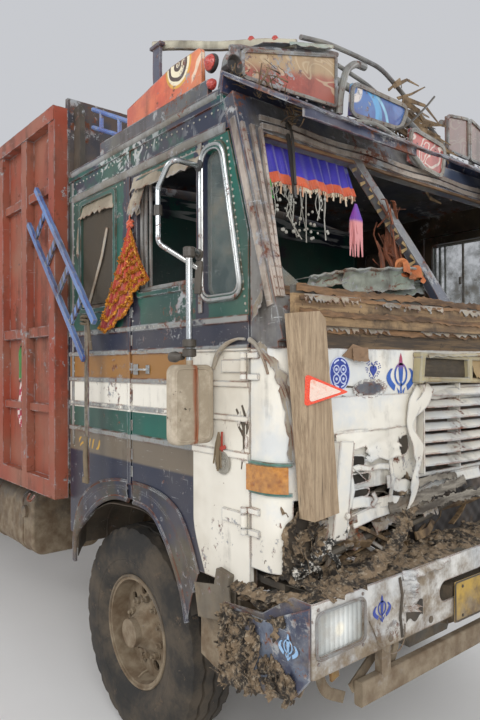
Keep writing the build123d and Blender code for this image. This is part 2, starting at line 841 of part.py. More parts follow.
# Cab sides behind and over the door, with the rear window opening and the arch
side_window_front_y = front_axle_y - 24
side_window_rear_y = front_axle_y + 330
side_window_bottom_z = 2150
side_window_top_z = 2700
header_bottom_z = door_top_z + door_gap
header_front_y = screen_face_y(header_bottom_z, screen_depth) + 40
with BuildPart() as cab_sides:
    for side in (-1, 1):
        with BuildSketch(along(side * cab_half_width)):
            with BuildLine():
                Polyline(
                    (cab_rear_y, cab_side_bottom_z),
                    (cab_rear_y, cab_top_z),
                    (screen_face_y(cab_top_z, screen_depth) + seat_gap, cab_top_z),
                    (screen_face_y(header_bottom_z, screen_depth) + seat_gap, header_bottom_z),
                    (door_rear_y + door_gap, header_bottom_z),
                    (door_rear_y + door_gap, cab_side_bottom_z),
                    close=True,
                )
            make_face()
            with Locations(
                (
                    (side_window_front_y + side_window_rear_y) / 2,
                    (side_window_bottom_z + side_window_top_z) / 2,
                )
            ):
                RectangleRounded(
                    side_window_rear_y - side_window_front_y,
                    side_window_top_z - side_window_bottom_z,
                    24,
                    mode=Mode.SUBTRACT,
                )
            make_face(arch_outline(), mode=Mode.SUBTRACT)
        extrude(amount=-side * cab_wall)
        with BuildSketch(along(side * cab_half_width)):
            for bead_z, bead_half in bead_levels:
                with Locations(((cab_rear_y + door_rear_y + door_gap) / 2, bead_z)):
                    Rectangle(cab_rear_y - door_rear_y - door_gap, 2 * bead_half)
            with Locations((door_rear_y + door_gap + 14, (arch_top_z + 70 + cab_top_z) / 2)):
                Rectangle(28, cab_top_z - arch_top_z - 70)
            with Locations(((cab_rear_y + header_front_y) / 2, cab_top_z - 16)):
                Rectangle(cab_rear_y - header_front_y, 32)
            with Locations(((cab_rear_y + header_front_y) / 2, header_bottom_z + 14)):
                Rectangle(cab_rear_y - header_front_y, 28)
        extrude(amount=side * bead_depth)
        with BuildSketch(along(side * (cab_half_width + 9))):
            with Locations(
                (
                    (side_window_front_y + side_window_rear_y) / 2,
                    (side_window_bottom_z + side_window_top_z) / 2,
                )
            ):
                RectangleRounded(
                    side_window_rear_y - side_window_front_y + 50,
                    side_window_top_z - side_window_bottom_z + 50,
                    40,
                )
                RectangleRounded(
                    side_window_rear_y - side_window_front_y,
                    side_window_top_z - side_window_bottom_z,
                    24,
                    mode=Mode.SUBTRACT,
                )
        extrude(amount=-side * 20)
cab_sides.part.label = "cab_sides"
export_step(cab_sides.part, "parts/cab_sides.step")

# Boards that close the rear side windows, set in the openings
with BuildPart() as window_boards:
    for side in (-1, 1):
        with BuildSketch(along(side * (cab_half_width - 22))):
            with Locations(
                (
                    (side_window_front_y + side_window_rear_y) / 2,
                    (side_window_bottom_z + side_window_top_z) / 2,
                )
            ):
                RectangleRounded(
                    side_window_rear_y - side_window_front_y - 2 * seat_gap,
                    side_window_top_z - side_window_bottom_z - 2 * seat_gap,
                    24,
                )
        extrude(amount=side * 12)
window_boards.part.label = "window_boards"
export_step(window_boards.part, "parts/window_boards.step")


# Cab doors, hinged at the front edge, with a sliding-window opening, a rounded quarter
# window that follows the leaning pillar, raised frames, beading, handle and hinges
quarter_front_bottom_y = door_front_y + window_border
quarter_front_top_y = door_front_top_y + window_border
quarter_rear_y = quarter_front_bottom_y + quarter_window_width + 55
quarter_bottom_z = 2125
hinge_y = door_front_y + hinge_radius


def quarter_outline(grow):
    # Quarter window: a rounded trapezoid whose front edge leans with the pillar
    with BuildLine() as outline:
        Polyline(
            (quarter_rear_y + grow, quarter_bottom_z - grow),
            (quarter_rear_y + grow, window_top_z + grow),
            (quarter_front_top_y - grow, window_top_z + grow),
            (quarter_front_bottom_y - grow, quarter_bottom_z - grow),
            close=True,
        )
    return outline.edges()


door_window_rear_y = door_rear_y - door_window_rear
door_window_front_y = door_window_rear_y - door_window_width
for name, side in sides:
    with BuildPart() as cab_door:
        with BuildSketch(along(side * cab_half_width)):
            make_face(door_outline())
            with Locations(
                (
                    (door_window_rear_y + door_window_front_y) / 2,
                    (window_bottom_z + window_top_z) / 2,
                )
            ):
                RectangleRounded(
                    door_window_width, window_top_z - window_bottom_z, 24, mode=Mode.SUBTRACT
                )
            make_face(arch_outline(), mode=Mode.SUBTRACT)
        extrude(amount=-side * cab_wall)
        with BuildSketch(along(side * (cab_half_width + 5))) as quarter_cut:
            make_face(quarter_outline(0))
            fillet(quarter_cut.vertices(), radius=45)
        extrude(amount=-side * (cab_wall + 10), mode=Mode.SUBTRACT)
        with BuildSketch(along(side * cab_half_width)):
            for bead_z, bead_half in bead_levels:
                with Locations(((door_rear_y + door_front_y) / 2, bead_z)):
                    Rectangle(door_rear_y - door_front_y, 2 * bead_half)
        extrude(amount=side * bead_depth)
        with BuildSketch(along(side * cab_half_width)) as quarter_frame:
            make_face(quarter_outline(28))
            fillet(quarter_frame.vertices(), radius=60)
        extrude(amount=side * quarter_frame_depth)
        with BuildSketch(along(side * cab_half_width)) as quarter_hole:
            make_face(quarter_outline(0))
            fillet(quarter_hole.vertices(), radius=45)
        extrude(amount=side * 20, mode=Mode.SUBTRACT)
        with BuildSketch(along(side * cab_half_width)):
            with Locations(
                (
                    (door_window_rear_y + door_window_front_y) / 2,
                    (window_bottom_z + window_top_z) / 2,
                )
            ):
                RectangleRounded(door_window_width + 44, window_top_z - window_bottom_z + 44, 36)
                RectangleRounded(
                    door_window_width, window_top_z - window_bottom_z, 24, mode=Mode.SUBTRACT
                )
        extrude(amount=side * window_frame_depth)
        for hinge_z in hinge_levels:
            eye_height = hinge_height - 2 * hinge_knuckle - 2 * fork_gap
            with BuildSketch(level(hinge_z - eye_height / 2)):
                with Locations((side * (cab_half_width + hinge_offset), hinge_y)):
                    Circle(hinge_radius)
                with Locations((side * (cab_half_width + hinge_leaf), hinge_y + 70)):
                    Rectangle(2 * hinge_leaf, 140)
                with Locations((side * (cab_half_width + hinge_offset), hinge_y)):
                    Circle(hinge_pin + pin_gap, mode=Mode.SUBTRACT)
            extrude(amount=eye_height)
    cab_door.part.label = f"cab_door_{name}"
    export_step(cab_door.part, f"parts/cab_door_{name}.step")

# Quarter window panes, held in the middle of the door's thickness
for name, side in sides:
    with BuildPart() as quarter_glass:
        with BuildSketch(along(side * (cab_half_width - 14))) as pane:
            make_face(quarter_outline(-seat_gap))
            fillet(pane.vertices(), radius=45 - seat_gap)
        extrude(amount=-side * glass_thickness)
    quarter_glass.part.label = f"quarter_glass_{name}"
    export_step(quarter_glass.part, f"parts/quarter_glass_{name}.step")


# Cab rear wall between the sides
with BuildPart() as cab_rear_wall:
    with BuildSketch(across(cab_rear_y - cab_wall)):
        with Locations((0, (deck_z + cab_top_z) / 2)):
            Rectangle(2 * floor_half, cab_top_z - deck_z)
    extrude(amount=-cab_wall)
cab_rear_wall.part.label = "cab_rear_wall"
export_step(cab_rear_wall.part, "parts/cab_rear_wall.step")


# Roof: a shallow arch in section, with a parapet board along each edge
roof_rise = 75
roof_thickness = 30
roof_front_y = screen_face_y(cab_top_z, screen_depth) + seat_gap
parapet_height = 78
parapet_thickness = 22
parapet_front_y = front_axle_y - 790
parapet_rear_y = front_axle_y + 125
roof_radius = (cab_half_width**2 + roof_rise**2) / (2 * roof_rise)


def roof_top_z(x):
    # Height of the arched roof's upper face at a distance from the middle
    return cab_top_z + roof_thickness + roof_rise - roof_radius + sqrt(roof_radius**2 - x**2)


with BuildPart() as cab_roof:
    with BuildSketch(across(roof_front_y)):
        with BuildLine():
            roof_top = ThreePointArc(
                (-cab_half_width, cab_top_z + roof_thickness),
                (0, cab_top_z + roof_thickness + roof_rise),
                (cab_half_width, cab_top_z + roof_thickness),
            )
            roof_under = ThreePointArc(
                (-cab_half_width + cab_wall, cab_top_z),
                (0, cab_top_z + roof_rise),
                (cab_half_width - cab_wall, cab_top_z),
            )
            Polyline(roof_top @ 0, (-cab_half_width, cab_top_z), roof_under @ 0)
            Polyline(roof_top @ 1, (cab_half_width, cab_top_z), roof_under @ 1)
        make_face()
    extrude(amount=-(cab_rear_y - roof_front_y))
    for side in (-1, 1):
        with BuildSketch(along(side * (cab_half_width - 2))):
            with Locations(((parapet_front_y + parapet_rear_y) / 2, cab_top_z + 14 + parapet_height / 2)):
                Rectangle(parapet_rear_y - parapet_front_y, parapet_height)
        extrude(amount=-side * parapet_thickness)
cab_roof.part.label = "cab_roof"
export_step(cab_roof.part, "parts/cab_roof.step")


# Windscreen frame in its leaning plane: sill, pillars, head and the knocked-over centre post
screen_angle = atan(screen_slope)
screen_plane = Plane(
    (0, screen_foot_y, belt_z), x_dir=(1, 0, 0), z_dir=(0, -cos(screen_angle), sin(screen_angle))
)


def up_screen(z):
    # Distance up the leaning plane for a height above the ground
    return (z - belt_z) / cos(screen_angle)


sill_top_z = 2128
post_head_x = -515
post_foot_x = -110
post_width = 62
post_foot_flare = 45
with BuildPart() as windscreen_frame:
    with BuildSketch(screen_plane):
        with BuildLine():
            Polyline(
                (-cab_half_width + 2, up_screen(cowl_top_z + 30)),
                (-cab_half_width + 2, up_screen(cab_top_z - 6)),
                (cab_half_width - 2, up_screen(cab_top_z - 6)),
                (cab_half_width - 2, up_screen(cowl_top_z + 30)),
                close=True,
            )
        make_face()
        with BuildLine():
            Polyline(
                (-screen_opening_half, up_screen(screen_bottom_z)),
                (-screen_opening_half + screen_opening_taper, up_screen(screen_head_z)),
                (screen_opening_half - screen_opening_taper, up_screen(screen_head_z)),
                (screen_opening_half, up_screen(screen_bottom_z)),
                close=True,
            )
        make_face(mode=Mode.SUBTRACT)
    extrude(amount=-screen_depth)
    with BuildSketch(screen_plane):
        with BuildLine():
            Polyline(
                (post_head_x - post_width / 2, up_screen(screen_head_z)),
                (post_head_x + post_width / 2, up_screen(screen_head_z)),
                (post_foot_x - 20, up_screen(screen_bottom_z + 130)),
                (post_foot_x + post_width / 2 + post_foot_flare, up_screen(screen_bottom_z)),
                (post_foot_x - post_width / 2, up_screen(screen_bottom_z)),
                (post_foot_x - post_width - 30, up_screen(screen_bottom_z + 130)),
                close=True,
            )
        make_face()
    extrude(amount=-screen_depth * 0.7)
    for side in (-1, 1):
        with BuildSketch(along(side * (cab_half_width - 2))):
            with BuildLine():
                Polyline(
                    (door_front_y - door_gap, cowl_top_z + seat_gap),
                    (door_front_y - door_gap, door_knee_z),
                    (screen_face_y(sill_top_z), sill_top_z),
                    (screen_face_y(belt_z) + 1, cowl_top_z + seat_gap),
                    close=True,
                )
            make_face()
        extrude(amount=-side * 40)
windscreen_frame.part.label = "windscreen_frame"
export_step(windscreen_frame.part, "parts/windscreen_frame.step")


# White front corners, rounded in plan, from the door's front edge to the centre panel
corner_inner_x = cab_half_width - 215
tear_outer_x = cab_half_width - 55
corner_rear_y = door_front_y - door_gap
corner_bottom_z = 1125
hinge_reach = 50
with BuildPart() as front_corners:
    for side in (-1, 1):
        bend_x = side * (cab_half_width - corner_radius)
        bend_y = cab_front_y + corner_radius
        with BuildSketch(level(corner_bottom_z)):
            with BuildLine():
                for radius in (corner_radius, corner_radius - sheet):
                    Line((bend_x + side * radius, corner_rear_y), (bend_x + side * radius, bend_y))
                    ThreePointArc(
                        (bend_x + side * radius, bend_y),
                        (bend_x + side * radius * sqrt(0.5), bend_y - radius * sqrt(0.5)),
                        (bend_x, bend_y - radius),
                    )
                    Line((bend_x, bend_y - radius), (side * corner_inner_x, bend_y - radius))
                Line(
                    (side * corner_inner_x, cab_front_y), (side * corner_inner_x, cab_front_y + sheet)
                )
                Line(
                    (side * cab_half_width, corner_rear_y),
                    (side * (cab_half_width - sheet), corner_rear_y),
                )
            make_face()
        extrude(amount=cowl_top_z - corner_bottom_z)
        # Pillar halves of the door hinges, each with its pin
        for hinge_z in hinge_levels:
            for low_z in (hinge_z - hinge_height / 2, hinge_z + hinge_height / 2 - hinge_knuckle):
                with BuildSketch(level(low_z)):
                    with Locations((side * (cab_half_width + hinge_offset), hinge_y)):
                        Circle(hinge_radius)
                    with Locations(
                        (
                            side * (cab_half_width + 1.5 * hinge_leaf),
                            (hinge_y + corner_rear_y - hinge_reach) / 2,
                        )
                    ):
                        Rectangle(hinge_leaf, hinge_y - corner_rear_y + hinge_reach)
                    with Locations(
                        (side * (cab_half_width + hinge_leaf - sheet / 2), corner_rear_y - hinge_reach / 2)
                    ):
                        Rectangle(2 * hinge_leaf + sheet, hinge_reach - 2)
                extrude(amount=hinge_knuckle)
            with BuildSketch(level(hinge_z - hinge_height / 2)):
                with Locations((side * (cab_half_width + hinge_offset), hinge_y)):
                    Circle(hinge_pin)
            extrude(amount=hinge_height)
    # The driver's side corner is torn away below the front panel
    with Locations(
        (
            -(tear_outer_x + corner_inner_x - 5) / 2,
            cab_front_y + 10,
            (corner_bottom_z - 5 + cowl_bottom_z) / 2,
        )
    ):
        Box(
            tear_outer_x - corner_inner_x + 5,
            60,
            cowl_bottom_z - corner_bottom_z + 5,
            mode=Mode.SUBTRACT,
        )
front_corners.part.label = "front_corners"
export_step(front_corners.part, "parts/front_corners.step")


# Centre front panel with a folded top edge and the grille opening
grille_half = 440
grille_bottom_z = 1395
grille_top_z = 1770
with BuildPart() as front_panel:
    with BuildSketch(across(cab_front_y)):
        with Locations((0, (cowl_bottom_z + cowl_top_z) / 2)):
            Rectangle(2 * (corner_inner_x - seat_gap), cowl_top_z - cowl_bottom_z)
        with Locations((0, (grille_bottom_z + grille_top_z) / 2)):
            RectangleRounded(
                2 * grille_half, grille_top_z - grille_bottom_z, 12, mode=Mode.SUBTRACT
            )
    extrude(amount=-sheet)
    with BuildSketch(across(cab_front_y)):
        with Locations((0, cowl_top_z - 12)):
            Rectangle(2 * (corner_inner_x - seat_gap), 24)
    extrude(amount=-70)
front_panel.part.label = "front_panel"
export_step(front_panel.part, "parts/front_panel.step")


# Grille: bowed slats revolved about a far upright axis, in a frame behind the panel
grille_bow = 62
grille_radius = (grille_half**2 + grille_bow**2) / (2 * grille_bow)
grille_axis_y = cab_front_y - grille_bow + grille_radius + 8
slat_count = 7
slat_pitch = (grille_top_z - grille_bottom_z - 30) / slat_count
slat_reach = degrees(atan((grille_half - 20) / (grille_radius - grille_bow)))
grille_axis = Axis((0, grille_axis_y, 0), (0, 0, 1))
with BuildPart() as grille:
    start_direction = Vector(-sin(radians(slat_reach)), -cos(radians(slat_reach)), 0)
    slat_plane = Plane(
        (0, grille_axis_y, 0), x_dir=start_direction, z_dir=start_direction.cross(Vector(0, 0, 1))
    )
    with BuildSketch(slat_plane):
        for slat in range(slat_count):
            slat_z = grille_bottom_z + 15 + (slat + 0.5) * slat_pitch
            with BuildLine():
                Polyline(
                    (grille_radius, slat_z - 14),
                    (grille_radius, slat_z - 8),
                    (grille_radius - 34, slat_z + 20),
                    (grille_radius - 34, slat_z + 14),
                    close=True,
                )
            make_face()
    revolve(axis=grille_axis, revolution_arc=2 * slat_reach)
    for bar_x in (-grille_half + 18, -150, 150, grille_half - 18):
        with BuildSketch(across(cab_front_y - 26)):
            with Locations((bar_x, (grille_bottom_z + grille_top_z) / 2)):
                Rectangle(10, grille_top_z - grille_bottom_z - 2 * seat_gap)
        extrude(amount=-60)
grille.part.label = "grille"
export_step(grille.part, "parts/grille.step")


# Sill boards under the windscreen: steel strip, timber board and dark lower band
sill_table = (
    # bottom height, top height, depth of the front face ahead of the cab front
    (cowl_top_z, 1990, 0),
    (1990, 2092, 22),
    (2092, sill_top_z, 8),
)
with BuildPart() as sill_boards:
    for low_z, high_z, proud in sill_table:
        with BuildSketch(across(cab_front_y - proud)):
            with Locations((0, (low_z + high_z) / 2)):
                Rectangle(2 * 1165, high_z - low_z)
        extrude(amount=-(screen_face_y(cowl_top_z + 30) - cab_front_y + proud - seat_gap))
sill_boards.part.label = "sill_boards"
export_step(sill_boards.part, "parts/sill_boards.step")


# Front bumper: deep pressed sheet with wrapped ends, lamp openings, a middle slot
# and a lower bar on two brackets
bumper_half = cab_half_width + 62
bumper_bottom_z = 870
bumper_top_z = 1105
bumper_end_y = front_axle_y - 960
bumper_end_top_z = 990
bumper_end_bottom_z = 705
bumper_corner_bottom_z = 800
bumper_radius = 18
lamp_x = bumper_half - 138
lamp_z = 1000
lamp_width = 226
lamp_height = 138
lamp_radius = 18
slot_z = 978
slot_length = 1120
slot_height = 78
lower_bar_z = 738
lower_bar_section = (36, 84)
lower_bar_half = 1010
bumper_bracket_section = (50, 30)
bumper_bracket_x = 880
with BuildPart() as bumper:
    with BuildSketch(level(bumper_end_bottom_z)) as bumper_plan:
        with Locations((0, (nose_y + bumper_end_y) / 2)):
            Rectangle(2 * bumper_half, bumper_end_y - nose_y)
        fillet(bumper_plan.vertices().group_by(Axis.Y)[0], radius=bumper_radius)
    extrude(amount=bumper_top_z - bumper_end_bottom_z)
    with BuildSketch(level(bumper_end_bottom_z)) as bumper_inner:
        with Locations((0, (nose_y + bumper_end_y) / 2 + bumper_depth)):
            Rectangle(2 * (bumper_half - bumper_depth), bumper_end_y - nose_y)
        fillet(bumper_inner.vertices().group_by(Axis.Y)[0], radius=bumper_radius - bumper_depth)
    extrude(amount=bumper_top_z - bumper_end_bottom_z, mode=Mode.SUBTRACT)
    with BuildSketch(along(-bumper_half - bumper_depth)):
        with BuildLine():
            Polyline(
                (nose_y + 90, bumper_top_z + 1),
                (nose_y + 230, bumper_end_top_z + 24),
                (bumper_end_y + 1, bumper_end_top_z),
                (bumper_end_y + 1, bumper_top_z + 1),
                close=True,
            )
        make_face()
        with BuildLine():
            Polyline(
                (nose_y - 1, bumper_bottom_z),
                (nose_y + 20, bumper_bottom_z),
                (nose_y + 54, bumper_corner_bottom_z),
                (bumper_end_y, bumper_end_bottom_z),
                (bumper_end_y, bumper_end_bottom_z - 1),
                (nose_y - 1, bumper_end_bottom_z - 1),
                close=True,
            )
        make_face()
    extrude(amount=2 * (bumper_half + bumper_depth), mode=Mode.SUBTRACT)
    with BuildSketch(across(nose_y)):
        with Locations((-lamp_x, lamp_z), (lamp_x, lamp_z)):
            RectangleRounded(lamp_width, lamp_height, lamp_radius)
        with Locations((0, slot_z)):
            SlotOverall(slot_length, slot_height)
    extrude(amount=-60, mode=Mode.SUBTRACT)
    for side in (-1, 1):
        with BuildSketch(level(lower_bar_z)):
            with Locations((side * bumper_bracket_x, nose_y + bumper_depth + bumper_bracket_section[1] / 2)):
                Rectangle(*bumper_bracket_section)
        extrude(amount=bumper_bottom_z + 40 - lower_bar_z)
    with BuildSketch(along(-lower_bar_half)):
        with Locations((nose_y + bumper_depth + lower_bar_section[0] / 2, lower_bar_z)):
            RectangleRounded(*lower_bar_section, 8)
    extrude(amount=2 * lower_bar_half)
bumper.part.label = "bumper"
export_step(bumper.part, "parts/bumper.step")

# Headlamps: rectangular bodies in the bumper openings, each with a flange behind the sheet,
# and direction indicators that wrap the front corners
indicator_low_z = 1408
indicator_high_z = 1500
indicator_depth = 26
indicator_reach = 50
with BuildPart() as lamps:
    for side in (-1, 1):
        with BuildSketch(across(nose_y + 6)):
            with Locations((side * lamp_x, lamp_z)):
                RectangleRounded(lamp_width - 6, lamp_height - 6, lamp_radius - 3)
        extrude(amount=-110)
    fillet(lamps.edges().group_by(Axis.Y)[0], radius=5)
    for side in (-1, 1):
        with Locations((side * lamp_x, bumper_back_y + 6 + seat_gap, lamp_z)):
            Box(lamp_width + 8, 12, lamp_height + 24)
        with Locations((side * lamp_x, nose_y + 100, lamp_z)):
            Box(60, 60, 60)
    for side in (-1, 1):
        bend = (side * (cab_half_width - corner_radius), cab_front_y + corner_radius)
        with BuildSketch(level(indicator_low_z)):
            with Locations(bend):
                Circle(corner_radius + indicator_depth)
                Circle(corner_radius + seat_gap, mode=Mode.SUBTRACT)
            with BuildLine():
                Polyline(
                    bend,
                    (bend[0] + side * 300, bend[1]),
                    (bend[0] + side * 300, bend[1] - 300 * tan(radians(indicator_reach))),
                    close=True,
                )
            make_face(mode=Mode.INTERSECT)
            with Locations(
                (
                    bend[0] + side * (corner_radius + (seat_gap + indicator_depth) / 2),
                    (bend[1] + corner_rear_y - 3) / 2,
                )
            ):
                Rectangle(indicator_depth - seat_gap, corner_rear_y - 3 - bend[1])
        extrude(amount=indicator_high_z - indicator_low_z)
lamps.part.label = "lamps"
export_step(lamps.part, "parts/lamps.step")


# Weathered timber post wedged upright in front of the right corner, bevelled at the top
post_section = (124, 70)
post_y = cab_front_y - sill_table[1][2] - seat_gap - post_section[1] / 2
post_low = (-1092, post_y, 1335)
post_high = (-1158, post_y, 2030)
with BuildPart() as timber_post:
    post_run = Vector(*post_high) - Vector(*post_low)
    with BuildSketch(Plane(post_low, x_dir=(1, 0, 0), z_dir=post_run.normalized())):
        Rectangle(*post_section)
    extrude(amount=post_run.length)
    chamfer(timber_post.edges().group_by(Axis.Z)[-1].sort_by(Axis.Y)[0], length=28)
timber_post.part.label = "timber_post"
export_step(timber_post.part, "parts/timber_post.step")


# Sun visor: sheet that slopes forward from the roof's front edge, rounded in plan
visor_back_y = roof_front_y - seat_gap
visor_reach = 270
visor_back_z = 2975
visor_front_z = 2812
visor_lip = 46
visor_gap_half = 330
apron_depth = 8
with BuildPart() as visor:
    with BuildSketch(along(-cab_half_width - 10)):
        with BuildLine():
            Polyline(
                (visor_back_y, visor_back_z),
                (visor_back_y - 10, visor_back_z),
                (visor_back_y - visor_reach, visor_front_z),
                (visor_back_y - visor_reach, visor_front_z - visor_lip),
                (visor_back_y - visor_reach + 10, visor_front_z - visor_lip),
                (visor_back_y - visor_reach + 10, visor_front_z - 14),
                (visor_back_y - 10 - apron_depth, visor_back_z - 22),
                (visor_back_y - apron_depth, cab_top_z + 2),
                (visor_back_y, cab_top_z + 2),
                close=True,
            )
        make_face()
    extrude(amount=2 * (cab_half_width + 10))
    with BuildSketch(level(visor_front_z - visor_lip)) as visor_plan:
        with Locations((0, visor_back_y - visor_reach / 2)):
            Rectangle(2 * (cab_half_width + 10), visor_reach)
        fillet(visor_plan.vertices().group_by(Axis.Y)[0], radius=visor_reach - 20)
        with Locations((0, visor_back_y - visor_reach / 2)):
            Rectangle(2 * visor_gap_half, visor_reach, mode=Mode.SUBTRACT)
    extrude(amount=260, mode=Mode.INTERSECT)
visor.part.label = "visor"
export_step(visor.part, "parts/visor.step")


# Crown over the cab: bent tubes, the boards they carry and the roof rails behind
tube_radius = 17
crown_y = front_axle_y - 860
crown_rail_z = 3205
board_thickness = 18
fallen_board_y = crown_y - 70
fallen_tube_y = fallen_board_y + tube_radius + seat_gap
low_board_y = crown_y - 115
low_tube_y = low_board_y + tube_radius + seat_gap
crown_foot_x = 1160
crown_paths = (
    # corner points of each tube's route, from the driver's side to the left
    (
        (-crown_foot_x, crown_y + 30, roof_top_z(crown_foot_x) + 6),
        (-1150, crown_y, 3075),
        (-640, crown_y, crown_rail_z),
        (-530, crown_y, 3150),
        (-430, fallen_tube_y, 3098),
        (-75, fallen_tube_y, 3072),
        (50, low_tube_y, 2966),
        (180, low_tube_y, 2938),
    ),
    (
        (crown_foot_x, crown_y + 30, roof_top_z(crown_foot_x) + 6),
        (1150, crown_y, 3075),
        (640, crown_y, crown_rail_z),
        (330, crown_y, 3165),
    ),
)
with BuildPart() as crown_frame:
    for route in crown_paths:
        with BuildLine() as tube_path:
            FilletPolyline(*route, radius=60)
        with BuildSketch(Plane(route[0], z_dir=Vector(*route[1]) - Vector(*route[0]))):
            Circle(tube_radius)
        sweep(path=tube_path.wires()[0])
    for side in (-1, 1):
        with BuildSketch(level(roof_top_z(640 - tube_radius) + seat_gap)):
            with Locations((side * 640, crown_y)):
                Circle(tube_radius)
        extrude(amount=crown_rail_z - roof_top_z(640 - tube_radius))
crown_frame.part.label = "crown_frame"
export_step(crown_frame.part, "parts/crown_frame.step")


# Boards of the crown: two side boards with a rounded rear corner and the front boards
parapet_inner_x = cab_half_width - 2 - parapet_thickness
side_board_x = parapet_inner_x - seat_gap - board_thickness
front_board_y = crown_y - tube_radius - seat_gap
board_table = (
    # plane of the board's rear face, corners across and up
    (front_board_y, ((-1107, 2980), (-565, 3005), (-563, 3232), (-1107, 3083))),
    (front_board_y, ((1107, 2980), (565, 3005), (563, 3232), (1107, 3083))),
    (front_board_y, ((338, 3008), (545, 3003), (545, 3226), (338, 3196))),
    (fallen_board_y, ((-525, 2964), (-160, 2985), (-100, 3106), (-510, 3110))),
    (low_board_y, ((-149, 2826), (122, 2795), (151, 2953), (-139, 2986))),
)
with BuildPart() as crown_boards:
    for side in (-1, 1):
        with BuildSketch(along(side * side_board_x)) as side_board:
            with BuildLine():
                Polyline(
                    (front_axle_y - 112, 2940),
                    (front_axle_y - 112, 3084),
                    (front_axle_y - 500, 3147),
                    (front_axle_y - 718, 3149),
                    (front_axle_y - 722, 2940),
                    close=True,
                )
            make_face()
            fillet(side_board.vertices().group_by(Axis.Y)[-1], radius=25)
        extrude(amount=side * board_thickness)
    for board_y, outline in board_table:
        with BuildSketch(across(board_y)):
            with BuildLine():
                Polyline(*outline, close=True)
            make_face()
        extrude(amount=board_thickness)
crown_boards.part.label = "crown_boards"
export_step(crown_boards.part, "parts/crown_boards.step")


# Mirrors on the doors: a U-shaped tube bracket, a pole from its lower foot and a rounded head
bracket_x = 1335
bracket_y = front_axle_y - 640
bracket_radius = 11
pole_x = 1312
pole_y = front_axle_y - 820
pole_radius = 13
mirror_z = 1705
mirror_width = 190
mirror_height = 300
mirror_depth = 46
mirror_foot_x = cab_half_width + quarter_frame_depth + seat_gap
mirror_foot_y = (door_window_front_y + quarter_rear_y) / 2
for name, side in sides:
    bracket_route = (
        (side * mirror_foot_x, mirror_foot_y, 2645),
        (side * bracket_x, mirror_foot_y + 15, 2655),
        (side * bracket_x, bracket_y, 2560),
        (side * bracket_x, bracket_y, 2340),
        (side * mirror_foot_x, mirror_foot_y, 2235),
    )
    pole_route = (
        (side * mirror_foot_x, mirror_foot_y, 2290),
        (side * pole_x, pole_y, 2300),
        (side * pole_x, pole_y, mirror_z),
    )
    with BuildPart() as mirror:
        for route, radius in ((bracket_route, bracket_radius), (pole_route, pole_radius)):
            with BuildLine() as tube_path:
                FilletPolyline(*route, radius=40)
            with BuildSketch(Plane(route[0], z_dir=Vector(*route[1]) - Vector(*route[0]))):
                Circle(radius)
            sweep(path=tube_path.wires()[0])
        with BuildSketch(across(pole_y - mirror_depth / 2)):
            with Locations((side * (pole_x - 7), mirror_z)):
                RectangleRounded(mirror_width, mirror_height, 34)
        extrude(amount=-mirror_depth)
        fillet(mirror.edges().group_by(Axis.Y)[0], radius=14)
        split(
            bisect_by=Plane((side * mirror_foot_x, 0, 0), z_dir=(side, 0, 0)), keep=Keep.TOP
        )
    mirror.part.label = f"mirror_{name}"
    export_step(mirror.part, f"parts/mirror_{name}.step")


# Dashboard and seats
dash_bottom_z = 1560
dash_top_z = 1985
dash_front_y = screen_face_y(dash_top_z, screen_depth) + seat_gap
with BuildPart() as dashboard:
    with BuildSketch(along(-floor_half + 20)):
        with BuildLine():
            Polyline(
                (dash_front_y, dash_bottom_z),
                (dash_front_y, dash_top_z),
                (dash_front_y + 210, dash_top_z - 45),
                (dash_front_y + 250, dash_top_z - 225),
                (dash_front_y + 160, dash_bottom_z + 40),
                close=True,
            )
        make_face()
    extrude(amount=2 * (floor_half - 20))
    with BuildSketch(column_plane):
        Circle(44)
    extrude(amount=column_run.length + 200, mode=Mode.SUBTRACT)
dashboard.part.label = "dashboard"
export_step(dashboard.part, "parts/dashboard.step")

seat_table = (
    # centre x, half width, front and rear y from the axle
    (-790, 250, -330, 120),
    (300 + 500, 330, -330, 120),
)
seat_base_top_z = 1560
with BuildPart() as seat_bases:
    for seat_x, half_width, seat_front, seat_rear in seat_table:
        with BuildSketch(level(deck_z + floor_thickness)):
            with Locations((seat_x, front_axle_y + (seat_front + seat_rear) / 2)):
                Rectangle(2 * half_width - 60, seat_rear - seat_front - 60)
        extrude(amount=seat_base_top_z - deck_z - floor_thickness)
seat_bases.part.label = "seat_bases"
export_step(seat_bases.part, "parts/seat_bases.step")

with BuildPart() as seat_cushions:
    for seat_x, half_width, seat_front, seat_rear in seat_table:
        with BuildSketch(along(seat_x - half_width)):
            with BuildLine():
                Polyline(
                    (front_axle_y + seat_front, seat_base_top_z + seat_gap),
                    (front_axle_y + seat_front - 10, seat_base_top_z + 110),
                    (front_axle_y + seat_rear - 90, seat_base_top_z + 100),
                    (front_axle_y + seat_rear - 40, seat_base_top_z + 640),
                    (front_axle_y + seat_rear + 50, seat_base_top_z + 640),
                    (front_axle_y + seat_rear + 20, seat_base_top_z + seat_gap),
                    close=True,
                )
            make_face()
        extrude(amount=2 * half_width)
    fillet(seat_cushions.edges().filter_by(Axis.X), radius=28)
seat_cushions.part.label = "seat_cushions"
export_step(seat_cushions.part, "parts/seat_cushions.step")


